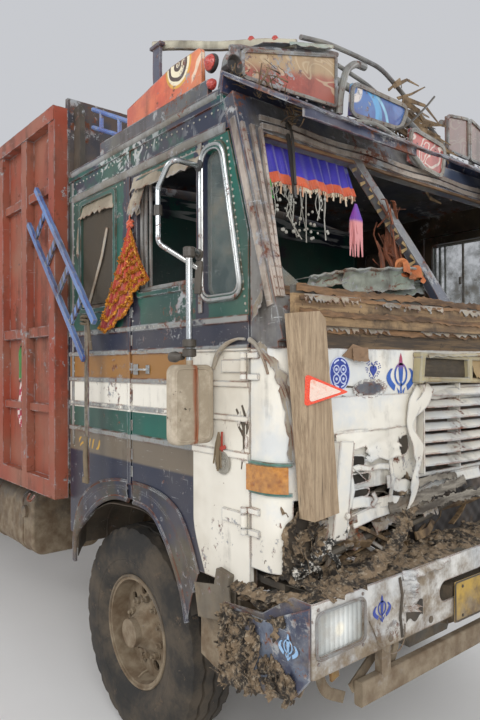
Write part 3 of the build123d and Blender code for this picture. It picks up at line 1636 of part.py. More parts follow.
# Steps below the cab's front corners
step_rear_y = front_axle_y - 720
with BuildPart() as cab_steps:
    for side in (-1, 1):
        with BuildSketch(along(side * (cab_half_width - 10))):
            with BuildLine():
                Polyline(
                    (bumper_end_y + 6, 640),
                    (step_rear_y, 700),
                    (step_rear_y, 940),
                    (bumper_end_y + 6, 980),
                    close=True,
                )
            make_face()
        extrude(amount=-side * 12)
        with BuildSketch(along(side * (cab_half_width - 10))):
            with Locations(((bumper_end_y + 6 + step_rear_y) / 2, 712)):
                Rectangle(step_rear_y - bumper_end_y - 10, 26)
        extrude(amount=-side * 240)
        with Locations((side * (rail_outer_x + 255), (bumper_end_y + step_rear_y) / 2, 812)):
            Box(510, 60, 36)
        with Locations((side * (cab_half_width - 240), (bumper_end_y + step_rear_y) / 2, 760)):
            Box(20, 60, 120)
cab_steps.part.label = "cab_steps"
export_step(cab_steps.part, "parts/cab_steps.step")


# Cargo floor: two timber runners on the rails, cross bearers and the deck
deck_front_y = cargo_front_y
deck_length = cargo_rear_y - cargo_front_y
bearer_count = 12
inner_half = cargo_half_width - cargo_wall - seat_gap
headboard_posts = (-1050, -525, 0, 525, 1050)
with BuildPart() as cargo_floor:
    for side in (-1, 1):
        with BuildSketch(across(deck_front_y + 20)):
            with Locations((side * rail_x, rail_top_z + runner_height / 2)):
                Rectangle(rail_width, runner_height)
        extrude(amount=-(deck_length - 110))
    for bearer in range(bearer_count):
        bearer_y = deck_front_y + 90 + bearer * (deck_length - 180) / (bearer_count - 1)
        with Locations((0, bearer_y, rail_top_z + runner_height + bearer_height / 2)):
            Box(2 * (cargo_half_width - cargo_wall - seat_gap), 70, bearer_height)
    with BuildSketch(level(cargo_floor_z)):
        with Locations((0, deck_front_y + deck_length / 2)):
            Rectangle(2 * inner_half, deck_length)
        with Locations((0, deck_front_y + cargo_wall / 2)):
            Rectangle(2 * inner_half, cargo_wall + 2 * seat_gap, mode=Mode.SUBTRACT)
        with Locations(*((post_x, deck_front_y + cargo_wall + 25) for post_x in headboard_posts)):
            Rectangle(70 + 2 * seat_gap, 50 + 2 * seat_gap, mode=Mode.SUBTRACT)
        with Locations(
            (-inner_half + 45, cargo_rear_y - 65),
            (inner_half - 45, cargo_rear_y - 65),
        ):
            Rectangle(90 + 2 * seat_gap, 90 + 2 * seat_gap, mode=Mode.SUBTRACT)
    extrude(amount=cargo_deck_thickness)
cargo_floor.part.label = "cargo_floor"
export_step(cargo_floor.part, "parts/cargo_floor.step")


# Cargo sides: boarded wall with box posts outside, rails at four levels and a top rail
side_rail_table = (
    # height of the middle, height, how far it stands out of the wall
    (cargo_bottom_z + 50, 100, cargo_post_depth),
    (1612, 46, 30),
    (2052, 58, 36),
    (2855, 50, 30),
    (cargo_top_z - 40, 80, cargo_post_depth + 6),
)
post_count = int((deck_length - cargo_post_width) // cargo_post_spacing) + 1
with BuildPart() as cargo_sides:
    for side in (-1, 1):
        with BuildSketch(along(side * cargo_half_width)):
            with Locations((deck_front_y + deck_length / 2, (cargo_bottom_z + cargo_top_z) / 2)):
                Rectangle(deck_length, cargo_top_z - cargo_bottom_z)
        extrude(amount=-side * cargo_wall)
        with BuildSketch(along(side * cargo_half_width)):
            for post in range(post_count):
                post_y = deck_front_y + cargo_post_width / 2 + post * cargo_post_spacing
                with Locations((post_y, (cargo_bottom_z + cargo_top_z) / 2)):
                    Rectangle(cargo_post_width, cargo_top_z - cargo_bottom_z)
        extrude(amount=side * cargo_post_depth)
        for rail_z, high, proud in side_rail_table:
            with BuildSketch(along(side * cargo_half_width)):
                with Locations((deck_front_y + deck_length / 2, rail_z)):
                    Rectangle(deck_length, high)
            extrude(amount=side * proud)
cargo_sides.part.label = "cargo_sides"
export_step(cargo_sides.part, "parts/cargo_sides.step")


# Headboard across the front of the cargo body, with upright posts on its inner face
with BuildPart() as headboard:
    with BuildSketch(across(cargo_front_y)):
        with Locations((0, (cargo_floor_z + cargo_top_z + 60) / 2)):
            Rectangle(2 * inner_half, cargo_top_z + 60 - cargo_floor_z)
    extrude(amount=-cargo_wall)
    with BuildSketch(across(cargo_front_y + cargo_wall)):
        for post_x in headboard_posts:
            with Locations((post_x, (cargo_floor_z + cargo_top_z) / 2)):
                Rectangle(70, cargo_top_z - cargo_floor_z)
    extrude(amount=-50)
headboard.part.label = "headboard"
export_step(headboard.part, "parts/headboard.step")


# Rear frame: corner posts and a top beam across the open tail
with BuildPart() as rear_frame:
    with BuildSketch(across(cargo_rear_y - 110)):
        with Locations((0, cargo_top_z - 75)):
            Rectangle(2 * inner_half, 150)
        with Locations(
            (-inner_half + 45, (cargo_floor_z + cargo_top_z) / 2),
            (inner_half - 45, (cargo_floor_z + cargo_top_z) / 2),
        ):
            Rectangle(90, cargo_top_z - cargo_floor_z)
    extrude(amount=-90)
rear_frame.part.label = "rear_frame"
export_step(rear_frame.part, "parts/rear_frame.step")


# Tailgate: boarded panel with ribs, hinged at its lower edge behind the floor
tailgate_bottom_z = cargo_floor_z - 20
tailgate_front_y = cargo_rear_y + 6
tailgate_hinge_y = tailgate_front_y + tailgate_wall / 2
tailgate_hinge_z = tailgate_bottom_z + 10
hinge_pin_radius = 12
tailgate_half = 1150
tail_hinge_x = (-800, 0, 800)
with BuildPart() as tailgate:
    with BuildSketch(across(tailgate_front_y)):
        with Locations((0, tailgate_bottom_z + 50 + tailgate_height / 2)):
            Rectangle(2 * tailgate_half, tailgate_height)
    extrude(amount=-tailgate_wall * 0.6)
    with BuildSketch(across(tailgate_front_y + tailgate_wall * 0.6)):
        for rib_x in (-tailgate_half + 30, -600, 0, 600, tailgate_half - 30):
            with Locations((rib_x, tailgate_bottom_z + 50 + tailgate_height / 2)):
                Rectangle(60, tailgate_height)
        for rib_z in (80, tailgate_height - 30):
            with Locations((0, tailgate_bottom_z + 50 + rib_z)):
                Rectangle(2 * tailgate_half, 60)
    extrude(amount=-tailgate_wall * 0.4)
    for hinge_x in tail_hinge_x:
        with BuildSketch(along(hinge_x - 40)):
            with Locations((tailgate_hinge_y, tailgate_hinge_z)):
                Circle(hinge_pin_radius + 10)
            with Locations((tailgate_hinge_y, tailgate_hinge_z + 32)):
                Rectangle(20, 64)
        extrude(amount=80)
        with BuildSketch(along(hinge_x - 40)):
            with Locations((tailgate_hinge_y, tailgate_hinge_z)):
                Circle(hinge_pin_radius + pin_gap)
        extrude(amount=80, mode=Mode.SUBTRACT)
tailgate.part.label = "tailgate"
export_step(tailgate.part, "parts/tailgate.step")

# Tail: beam under the deck with the tailgate's hinge brackets and pins, and the rear
# bumper bar on two drop arms below the rails
with BuildPart() as tail_frame:
    with Locations((0, cargo_rear_y - 40, rail_top_z + runner_height / 2)):
        Box(2 * tailgate_half, 80, runner_height)
    for hinge_x in tail_hinge_x:
        for end in (-1, 1):
            with BuildSketch(along(hinge_x + end * 46)):
                with BuildLine():
                    Polyline(
                        (cargo_rear_y, rail_top_z + 20),
                        (cargo_rear_y, rail_top_z + 78),
                        (tailgate_hinge_y - 24, tailgate_hinge_z + 22),
                        (tailgate_hinge_y + 24, tailgate_hinge_z + 22),
                        (tailgate_hinge_y + 24, tailgate_hinge_z - 24),
                        (cargo_rear_y + 30, rail_top_z + 20),
                        close=True,
                    )
                make_face()
            extrude(amount=end * 14)
        with BuildSketch(along(hinge_x - 60)):
            with Locations((tailgate_hinge_y, tailgate_hinge_z)):
                Circle(hinge_pin_radius)
        extrude(amount=120)
    with Locations((0, rail_rear_y - 60, 560)):
        Box(2200, 100, 110)
    for side in (-1, 1):
        with Locations((side * rail_x, rail_rear_y - 60, (610 + rail_bottom_z) / 2)):
            Box(rail_width, 80, rail_bottom_z - 610)
tail_frame.part.label = "tail_frame"
export_step(tail_frame.part, "parts/tail_frame.step")


# Rear mudguards: arched sheets over the twin wheels, on arms from the rails
guard_radius = tyre_radius + 45
guard_arm_z = 880
guard_arm_reach = sqrt(guard_radius**2 - (guard_arm_z - wheel_centre_z) ** 2)
with BuildPart() as mudguards:
    for side in (-1, 1):
        with BuildSketch(along(side * 562)):
            with Locations((rear_axle_y, wheel_centre_z)):
                Circle(guard_radius)
                Circle(guard_radius - 6, mode=Mode.SUBTRACT)
                with Locations((0, -300)):
                    Rectangle(3 * guard_radius, 900, mode=Mode.SUBTRACT)
        extrude(amount=side * 600)
        for end in (-1, 1):
            with Locations((side * (rail_outer_x + 60), rear_axle_y + end * guard_arm_reach, guard_arm_z)):
                Box(120, 30, 30)
mudguards.part.label = "mudguards"
export_step(mudguards.part, "parts/mudguards.step")


# Ladder that hangs loose against the cab and cargo body, with its strap
ladder_x = -cargo_half_width - cargo_post_depth - seat_gap
ladder_top = (front_axle_y + 750, 2872)
ladder_bottom = (front_axle_y + 18, 2064)
ladder_spacing = 205
rung_count = 4
ladder_rail = (30, 22)
strap_y = front_axle_y + 120
strap_width = 42
ladder_run = hypot(ladder_top[0] - ladder_bottom[0], ladder_top[1] - ladder_bottom[1])
ladder_plane = Plane(
    (ladder_x, ladder_bottom[0], ladder_bottom[1]),
    x_dir=(0, ladder_top[0] - ladder_bottom[0], ladder_top[1] - ladder_bottom[1]),
    z_dir=(-1, 0, 0),
)
with BuildPart() as ladder:
    with BuildSketch(ladder_plane):
        with Locations((ladder_run / 2, 0), (ladder_run / 2 - 60, ladder_spacing)):
            Rectangle(ladder_run, ladder_rail[0])
    extrude(amount=ladder_rail[1])
    with BuildSketch(ladder_plane.offset(5)):
        for rung in range(rung_count):
            with Locations((190 + rung * 232, ladder_spacing / 2)):
                Rectangle(38, ladder_spacing)
    extrude(amount=12)
    with BuildSketch(along(ladder_x)):
        with Locations((strap_y, (1270 + 2100) / 2)):
            Rectangle(strap_width, 2100 - 1270)
    extrude(amount=-6)
ladder.part.label = "ladder"
export_step(ladder.part, "parts/ladder.step")


# Cloth pelmet inside the windscreen head and the cloth that hangs at the side window
with BuildPart() as valance:
    with BuildSketch(screen_plane.offset(-screen_depth - seat_gap)):
        with BuildLine():
            Polyline(
                (-1085, up_screen(screen_head_z + 30)),
                (-1128, up_screen(2545)),
                (-545, up_screen(2590)),
                (-520, up_screen(screen_head_z + 30)),
                close=True,
            )
        make_face()
    extrude(amount=-14)
valance.part.label = "valance"
export_step(valance.part, "parts/valance.step")

with BuildPart() as side_cloth:
    with BuildSketch(along(-cab_half_width - window_frame_depth - seat_gap)):
        with BuildLine():
            Polyline(
                (front_axle_y - 206, 2510),
                (front_axle_y - 60, 2320),
                (front_axle_y + 20, 2195),
                (front_axle_y + 90, 2040),
                (front_axle_y + 30, 2008),
                (front_axle_y - 205, 2105),
                (front_axle_y - 250, 2190),
                (front_axle_y - 395, 2228),
                (front_axle_y - 305, 2368),
                close=True,
            )
        make_face()
    extrude(amount=-22)
side_cloth.part.label = "side_cloth"
export_step(side_cloth.part, "parts/side_cloth.step")
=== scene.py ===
import bpy
import bmesh
import math
import random
from mathutils import Matrix, Vector, noise


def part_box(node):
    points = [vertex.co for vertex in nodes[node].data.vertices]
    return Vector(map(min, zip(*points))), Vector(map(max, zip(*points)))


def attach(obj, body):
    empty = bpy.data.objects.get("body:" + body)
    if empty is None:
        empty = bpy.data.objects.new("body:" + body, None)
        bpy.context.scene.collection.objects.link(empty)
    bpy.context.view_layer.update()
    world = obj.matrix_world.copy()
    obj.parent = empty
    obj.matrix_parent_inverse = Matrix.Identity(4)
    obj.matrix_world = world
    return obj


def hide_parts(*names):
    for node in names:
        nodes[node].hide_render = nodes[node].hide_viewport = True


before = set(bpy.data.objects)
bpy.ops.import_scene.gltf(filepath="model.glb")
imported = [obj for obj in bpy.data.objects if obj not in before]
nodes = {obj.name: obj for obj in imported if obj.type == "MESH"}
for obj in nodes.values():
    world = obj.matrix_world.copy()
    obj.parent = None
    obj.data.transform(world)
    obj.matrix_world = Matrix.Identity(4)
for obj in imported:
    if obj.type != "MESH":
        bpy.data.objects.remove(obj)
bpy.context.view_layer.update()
noise.seed_set(7)      # noise_vector gives the same each run only with a seed
axleY = -3.05      # front axle, the photograph's measures are counted from it
wheelBase, hubZ = 5.0, 0.52      # from the front axle to the rear one, and how high both stand
cabHalf = 1.2      # half the cab's width
print("frame loaded", len(nodes), "nodes")

# Camera at the place that the fitted lines of the cab give; focal counts the photograph's pixels
camera = {"at": (-2.657, -5.791, 1.851), "yaw": 39.668, "pitch": 0.508, "roll": -0.262,
          "focal": 619.07, "sensor": 24, "tall": 720, "far": 300}


def placeCamera():
    made = bpy.data.objects.new("camera", bpy.data.cameras.new("camera"))
    bpy.context.scene.collection.objects.link(made)
    yaw, pitch, roll = (math.radians(camera[key]) for key in ("yaw", "pitch", "roll"))
    ahead = Vector((math.sin(yaw) * math.cos(pitch), math.cos(yaw) * math.cos(pitch), math.sin(pitch)))
    side = Vector((math.cos(yaw), -math.sin(yaw), 0))
    above = side.cross(ahead)
    side, above = (side * math.cos(roll) + above * math.sin(roll),
                   above * math.cos(roll) - side * math.sin(roll))
    turned = Matrix((side, above, -ahead)).transposed().to_4x4()
    made.matrix_world = Matrix.Translation(camera["at"]) @ turned
    made.data.sensor_fit = "VERTICAL"
    made.data.sensor_height = camera["sensor"]
    made.data.lens = camera["focal"] * camera["sensor"] / camera["tall"]
    made.data.clip_end = camera["far"]
    bpy.context.scene.camera = made


studio = {"sky": (0.93, 0.95, 1.0, 1), "world": 0.62, "floor": 60,      # each lamp: place, size, power, target
          "lamps": [((-5.5, -10.5, 5.2), 5.0, 420, (-0.2, -3.2, 1.6)),
                    ((-10.0, -1.0, 6.5), 6.0, 330, (-0.8, -1.5, 1.6)),
                    ((7.5, -6.0, 6.0), 6.0, 260, (0.0, -3.0, 1.5)),
                    ((0.0, 9.0, 7.0), 6.0, 240, (0.0, 2.0, 1.6))]}


def lightStudio():
    for place, size, power, target in studio["lamps"]:
        lamp = bpy.data.lights.new("softbox", "AREA")
        lamp.size = size
        lamp.energy = power
        held = bpy.data.objects.new("softbox", lamp)
        bpy.context.scene.collection.objects.link(held)
        held.location = place
        held.rotation_euler = (Vector(target) - Vector(place)).to_track_quat("-Z", "Y").to_euler()
    world = bpy.data.worlds.new("studio")
    bpy.context.scene.world = world
    world.use_nodes = True
    sky = world.node_tree.nodes["Background"]
    sky.inputs["Color"].default_value = studio["sky"]
    sky.inputs["Strength"].default_value = studio["world"]
    bpy.context.scene.view_settings.view_transform = "Standard"


def layFloor():
    wide = studio["floor"]
    mesh = bpy.data.meshes.new("floor")
    mesh.from_pydata([(-wide, -wide, 0), (wide, -wide, 0), (wide, wide, 0), (-wide, wide, 0)], [], [(0, 1, 2, 3)])
    floor = bpy.data.objects.new("floor", mesh)
    bpy.context.scene.collection.objects.link(floor)
    look = Finish("studioFloor", Roughness=0.9)
    grain = look.cloud(1.2, 3)
    look.colour(look.mix(grain, (0.76, 0.75, 0.73), (0.81, 0.80, 0.78)))
    floor.data.materials.append(look.material)


class Wire:      # a socket of a material, whose sums and products add their own Math nodes
    def __init__(self, finish, socket):
        self.finish, self.socket = finish, socket

    def maths(self, operation, left, right):
        return self.finish.node("ShaderNodeMath", {"operation": operation}, [left, right])

    def __add__(self, other): return self.maths("ADD", self, other)
    def __radd__(self, other): return self.maths("ADD", other, self)
    def __sub__(self, other): return self.maths("SUBTRACT", self, other)
    def __rsub__(self, other): return self.maths("SUBTRACT", other, self)
    def __mul__(self, other): return self.maths("MULTIPLY", self, other)
    def __rmul__(self, other): return self.maths("MULTIPLY", other, self)
    def __lt__(self, other): return self.maths("LESS_THAN", self, other)
    def most(self, other): return self.maths("MAXIMUM", self, other)
    def least(self, other): return self.maths("MINIMUM", self, other)
    def away(self): return self.maths("ABSOLUTE", self, 0)

    def rise(self, low, high):      # 0 below low, 1 above high, smooth between
        return self.finish.node("ShaderNodeMapRange", {"interpolation_type": "SMOOTHSTEP"},
                                {"Value": self, "From Min": low, "From Max": high})

    def within(self, low, high, soft=0.002):
        return self.rise(low - soft, low + soft) * (1 - self.rise(high - soft, high + soft))


class Finish:      # a Principled material and the few kinds of node that this truck's finishes need
    def __init__(self, name, **fixed):
        self.material = bpy.data.materials.new(name)
        self.material.use_nodes = True
        self.tree = self.material.node_tree
        self.shader = self.tree.nodes["Principled BSDF"]
        for key, value in fixed.items():
            self.shader.inputs[key.replace("_", " ")].default_value = value
        self.place = self.node("ShaderNodeTexCoord", out="Object")
        split = self.node("ShaderNodeSeparateXYZ", None, [self.place])
        outs = split.socket.node.outputs
        self.x, self.y, self.z = (Wire(self, outs[i]) for i in range(3))

    def node(self, kind, settings=None, inputs=(), out=0):
        made = self.tree.nodes.new(kind)
        for key, value in (settings or {}).items():
            setattr(made, key, value)
        for key, value in (inputs.items() if isinstance(inputs, dict) else enumerate(inputs)):
            if isinstance(value, Wire):
                self.tree.links.new(value.socket, made.inputs[key])
            else:
                made.inputs[key].default_value = value
        return Wire(self, made.outputs[out])

    def stretched(self, amount, turn=(0, 0, 0)):
        return self.node("ShaderNodeMapping", {}, {"Vector": self.place, "Scale": amount, "Rotation": turn})

    def cloud(self, scale, detail=4, rough=0.6, at=None, twist=0.0):
        return self.node("ShaderNodeTexNoise", {}, {"Vector": at or self.place, "Scale": scale, "Detail": detail,
                                                    "Roughness": rough, "Distortion": twist})

    def cells(self, scale, at=None, feature="F1"):
        return self.node("ShaderNodeTexVoronoi", {"feature": feature},
                         {"Vector": at or self.place, "Scale": scale}, "Distance")

    def wave(self, along, scale, at=None, **more):      # even bands
        given = {"Vector": at or self.place, "Scale": scale}
        given.update((key.replace("_", " "), value) for key, value in more.items())
        return self.node("ShaderNodeTexWave", {"bands_direction": along}, given)

    def reach(self, spot, centre):      # how far a point lies from a centre
        return self.node("ShaderNodeVectorMath", {"operation": "DISTANCE"}, [spot, centre], 1)

    def point(self, x, y, z):
        return self.node("ShaderNodeCombineXYZ", {}, [x, y, z])

    def mix(self, mask, first, second):
        def filled(shade):
            if isinstance(shade, str):
                shade = paint(shade)
            return shade if isinstance(shade, Wire) else (*shade, 1)
        return self.node("ShaderNodeMix", {"data_type": "RGBA"}, {0: mask, 6: filled(first), 7: filled(second)}, 2)

    def edges(self, radius):      # 1 along sharp edges, from the difference that rounding would make
        rounded = self.node("ShaderNodeBevel", {"samples": 4}, {"Radius": radius})
        flat = self.node("ShaderNodeNewGeometry", out="Normal")
        return 1 - self.node("ShaderNodeVectorMath", {"operation": "DOT_PRODUCT"}, [rounded, flat], 1)

    def colour(self, shade):
        self.link("Base Color", shade)

    def link(self, socket, value):
        self.tree.links.new(value.socket, self.shader.inputs[socket])

    def relief(self, height, depth=0.002, strength=1.0):
        bump = self.node("ShaderNodeBump", {}, {"Strength": strength, "Distance": depth, "Height": height})
        self.link("Normal", bump)


def paint(code):      # a colour as it looks on screen, in the linear numbers that Blender keeps
    parts = [int(code[i:i + 2], 16) / 255 for i in (0, 2, 4)]
    return tuple(c / 12.92 if c < 0.04045 else ((c + 0.055) / 1.055) ** 2.4 for c in parts)


tones = {"green": "0d5c4e", "greenDeep": "0a3f39", "navy": "1c2338", "ochre": "94672f",
         "white": "e6e1d4", "dirtyWhite": "a79a84", "greyBrown": "6c6152", "mud": "6a5844",
         "mudDark": "3b3127", "rust": "6b3a22", "bare": "9a9c9d", "cargo": "943f27",
         "dust": "8d7f6a", "chalk": "c9cbc9"}


def weather(look, shade, wear, mud, scuff, grime, rough=0.45, edge=0.010, faded=0.35):
    # layers over a paint: sun fade, run-down dirt, fine scuffs, chips to the metal at edges, mud from below
    fade = look.cloud(1.7, 3)
    shade = look.mix(fade.rise(0.35, 0.72) * faded, shade, tones["dust"])
    runs = look.cloud(1.0, 5, 0.65, look.stretched((9, 9, 0.9)))
    stain = look.cloud(2.6, 6, 0.7)
    grimeMask = (runs * stain).rise(0.36 - 0.16 * grime, 0.50 - 0.10 * grime) * (0.35 + 0.4 * grime)
    shade = look.mix(grimeMask, shade, tones["mudDark"])
    scratch = look.cloud(1.0, 4, 0.6, look.stretched((11, 11, 190), (0.5, 0.35, 0.9)), 0.4).rise(0.645, 0.69)
    crossed = look.cloud(1.0, 4, 0.6, look.stretched((170, 170, 14), (0.3, -0.5, 0.2)), 0.4).rise(0.65, 0.70)
    scratched = (scratch.most(crossed)) * look.cloud(4.1, 4, 0.7).rise(0.50, 0.62) * (0.75 * scuff)
    shade = look.mix(scratched, shade, tones["chalk"])
    fine = look.cloud(24, 8, 0.78)
    coarse = look.cloud(3.1, 4, 0.6)
    chip = (fine * 0.55 + coarse * 0.45).rise(0.62 - 0.07 * wear, 0.64 - 0.07 * wear)
    if edge:
        rim = look.edges(edge) * 9 * (0.45 + fine)
        chip = chip.most((rim - 0.9 + 0.5 * wear).rise(0.0, 0.35))
    under = look.mix(look.cloud(11, 5).rise(0.42, 0.58), tones["bare"], tones["rust"])
    shade = look.mix(chip, shade, under)
    low = (1.35 - look.z) * 0.9
    splash = (low * mud + look.cloud(5.2, 6, 0.72) - 0.25).rise(0.42, 0.74) * min(1.0, 0.35 + mud)
    earth = look.mix(look.cloud(13, 5).rise(0.3, 0.7), tones["mud"], tones["dust"])
    shade = look.mix(splash, shade, earth)
    look.colour(shade)
    look.link("Roughness", rough + chip * 0.22 + splash * 0.4 + grimeMask * 0.2)
    look.relief(0.6 * look.cloud(0.9, 2) * 4 + fine * 0.12 - chip * 0.35
                + splash * look.cloud(30, 6, 0.7) * 0.9, 0.004, 0.55)


def bandedPaint():      # the cab's painted bands by height, with the white nose ahead of the door's torn line
    look = Finish("cabPaint", Coat_Roughness=0.25)
    z, y = look.z, look.y
    rub = look.cloud(2.2, 5, 0.7)
    greenA = look.mix(look.cloud(1.6, 3).rise(0.35, 0.65), tones["green"], tones["greenDeep"])
    scribble = look.cloud(1.0, 2, 0.5, look.stretched((2, 14, 14), (0.6, 0, 0)), 1.8).rise(0.50, 0.56)
    topBlend = look.mix(rub.rise(0.44, 0.52), tones["navy"], greenA)
    seam = (1 - (y + 3.235).away().rise(0.03, 0.12)).most(1 - (y + 3.80).away().rise(0.02, 0.06))
    patch = (look.cloud(3.4, 6, 0.7) + 0.33 * seam).rise(0.60, 0.66)
    window = look.mix(patch, greenA, tones["navy"])
    shade = look.mix(z.rise(1.395, 1.41), tones["navy"], tones["greyBrown"])
    for level, tone in ((1.528, greenA), (1.637, tones["white"]), (1.775, tones["ochre"]), (1.916, tones["navy"])):
        shade = look.mix(z.rise(level - 0.002, level + 0.002), shade, tone)
    fleck = look.cells(70).rise(0.0, 0.16)
    flecked = (1 - fleck) * look.cloud(9, 3).rise(0.5, 0.6)
    band = z.within(1.916, 2.03)
    shade = look.mix(band * flecked, shade, tones["chalk"])
    shade = look.mix(z.rise(2.03, 2.034), shade, window)
    shade = look.mix(z.rise(2.748, 2.752), shade, topBlend)
    shade = look.mix(z.rise(2.748, 2.752) * scribble * look.cloud(1.9, 2).rise(0.48, 0.6) * 0.7, shade,
                     tones["chalk"])
    curve = -3.735 - 0.10 * (1.25 - z).rise(0.0, 0.32)
    nose = (curve - y).rise(-0.003, 0.003) * (1 - z.rise(1.912, 1.916))
    white = look.mix(look.cloud(2.3, 4).rise(0.4, 0.75) * 0.5, tones["white"], tones["dirtyWhite"])
    shade = look.mix(nose, shade, white)
    ridge = sum((z.within(level - 0.0105, level + 0.0105) for level in (2.024, 1.916, 1.782, 1.655)),
                z.within(1.510, 1.530))
    shade = look.mix(ridge.least(1) * (look.x.away() - 1.2022).rise(0, 0.001) * (1 - nose)
                     * look.cloud(7, 5, 0.7).rise(0.34, 0.46), shade, "8a8b88")
    flourish = look.wave("DIAGONAL", 11.0, look.point(0.0, y, z), Distortion=6.0, Detail=0.0)
    marked = z.within(1.425, 1.475) * y.within(-2.92, -2.68) * flourish.rise(0.72, 0.80)
    shade = look.mix(marked, shade, "c99a2c")
    # painted shade: the inner faces of the cab's walls are darkened to a mottled dark brown
    inside = (1.184 - look.x.away()).rise(0, 0.004) * (-2.625 - y).rise(0, 0.01)
    insideShade = look.mix(look.cloud(4.2, 6, 0.7).rise(0.36, 0.66), "2c2620", "594a3a")
    shade = look.mix(inside, shade, insideShade)
    weather(look, shade, wear=0.32, mud=0.45, scuff=0.6, grime=0.42, rough=0.34, faded=0.16)
    return look.material


def plainPaint(name, first, second, *how):
    look = Finish(name)
    shade = look.mix(look.cloud(2.8, 5, 0.65).rise(0.42, 0.6), first, second)
    weather(look, shade, *how)
    return look.material


def timberLook(name, light, dark, grainAlong=(14, 14, 1.1), mud=0.2, rough=0.8):
    look = Finish(name)
    rings = look.cloud(2.2, 5, 0.6, look.stretched(grainAlong), 0.6)
    fibre = look.cloud(9, 6, 0.7, look.stretched(grainAlong))
    shade = look.mix(rings.rise(0.34, 0.66), dark, light)
    shade = look.mix(fibre.rise(0.5, 0.72) * 0.6, shade, tones["mudDark"])
    knot = look.cells(3.3, look.stretched(tuple(a * 0.35 for a in grainAlong))).rise(0.05, 0.14)
    shade = look.mix((1 - knot) * 0.6, shade, tones["mudDark"])
    shade = look.mix(look.cloud(4.1, 5, 0.7).rise(0.56, 0.7) * (0.3 + mud), shade, tones["mud"])
    look.colour(shade)
    look.link("Roughness", rough - 0.12 * rings)
    look.relief(fibre * 0.7 + rings * 0.5, 0.003, 0.7)
    return look.material


def rubberLook():
    look = Finish("tyreRubber")
    dust = look.cloud(3.5, 6, 0.72).rise(0.38, 0.66)
    shade = look.mix(dust * 0.6, "24221f", "665a4b")
    clod = look.cloud(12, 6, 0.75).rise(0.60, 0.68)
    shade = look.mix(clod * 0.7, shade, tones["mud"])
    look.colour(shade)
    look.link("Roughness", 0.72 + dust * 0.2)
    look.relief(look.cloud(60, 3) * 0.4 + clod * 0.8, 0.003, 0.6)
    return look.material


def glassLook(name="dustyGlass", dirt=0.45):
    look = Finish(name, Roughness=0.08, IOR=1.45)
    film = look.cloud(4.0, 6, 0.72).rise(0.35, 0.75)
    look.colour(look.mix(film, "8fa0a0", tones["dust"]))
    look.link("Alpha", 0.14 + film * dirt)
    look.link("Roughness", 0.06 + film * 0.5)
    return look.material


def brightLook():      # polished mouldings, spotted with rust
    look = Finish("brightMoulding")
    spot = look.cloud(16, 7, 0.75).rise(0.544, 0.66)
    film = look.cloud(3.0, 4).rise(0.4, 0.7)
    shade = look.mix(film * 0.4, "b9bdbd", tones["dust"])
    look.colour(look.mix(spot, shade, tones["rust"]))
    look.link("Metallic", 0.95 - spot * 0.9 - film * 0.3)
    look.link("Roughness", 0.2 + spot * 0.6 + film * 0.25)
    look.relief(spot * 0.5 + look.cloud(8, 3) * 0.3, 0.001, 0.4)
    return look.material


def mirrorLook():      # chromed tubes, with the painted and rusting housing below the bracket
    look = Finish("mirrorLook")
    housing = look.z.within(1.545, 1.872) * (look.y + 3.80 < 0)
    spot = look.cloud(15, 7, 0.74).rise(0.56, 0.64)
    film = look.cloud(3.0, 4).rise(0.4, 0.7)
    tube = look.mix(spot * 0.8, look.mix(film * 0.4, "c3c8ca", tones["dust"]), tones["rust"])
    blotch = look.cloud(5.0, 6, 0.75)
    shell = look.mix(blotch.rise(0.40, 0.60), "bbae9a", "9c8f7b")
    streak = (1 - (look.x.away() - 1.300).away() * 26).most(0)
    rusty = (look.cloud(1.0, 5, 0.65, look.stretched((16, 16, 1.6))) * 0.6 + streak * 0.42).rise(0.52, 0.74)
    shell = look.mix(rusty, shell, "8a4f2f")
    shell = look.mix(look.cloud(30, 4).rise(0.66, 0.72), shell, tones["mudDark"])
    look.colour(look.mix(housing, tube, shell))
    look.link("Metallic", (1 - housing) * (0.95 - spot * 0.85))
    look.link("Roughness", 0.22 + housing * 0.5 + spot * 0.3)
    look.relief(blotch * 0.6 + spot * 0.4, 0.002, 0.5)
    return look.material


def decal(name, first, second=None, split=None):
    look = Finish(name, Roughness=0.45, Coat_Weight=0.2)
    shade = look.mix(look.cloud(30, 4).rise(0.35, 0.7) * 0.4, first, tuple(c * 0.6 for c in paint(first)))
    if second:
        shade = look.mix(look.z.rise(*split), shade, second)
    worn = look.cloud(26, 7, 0.78).rise(0.60, 0.64)
    look.colour(look.mix(worn, shade, "d8d6cf"))
    look.link("Roughness", 0.4 + worn * 0.3)
    return look.material


print("finishes ready")


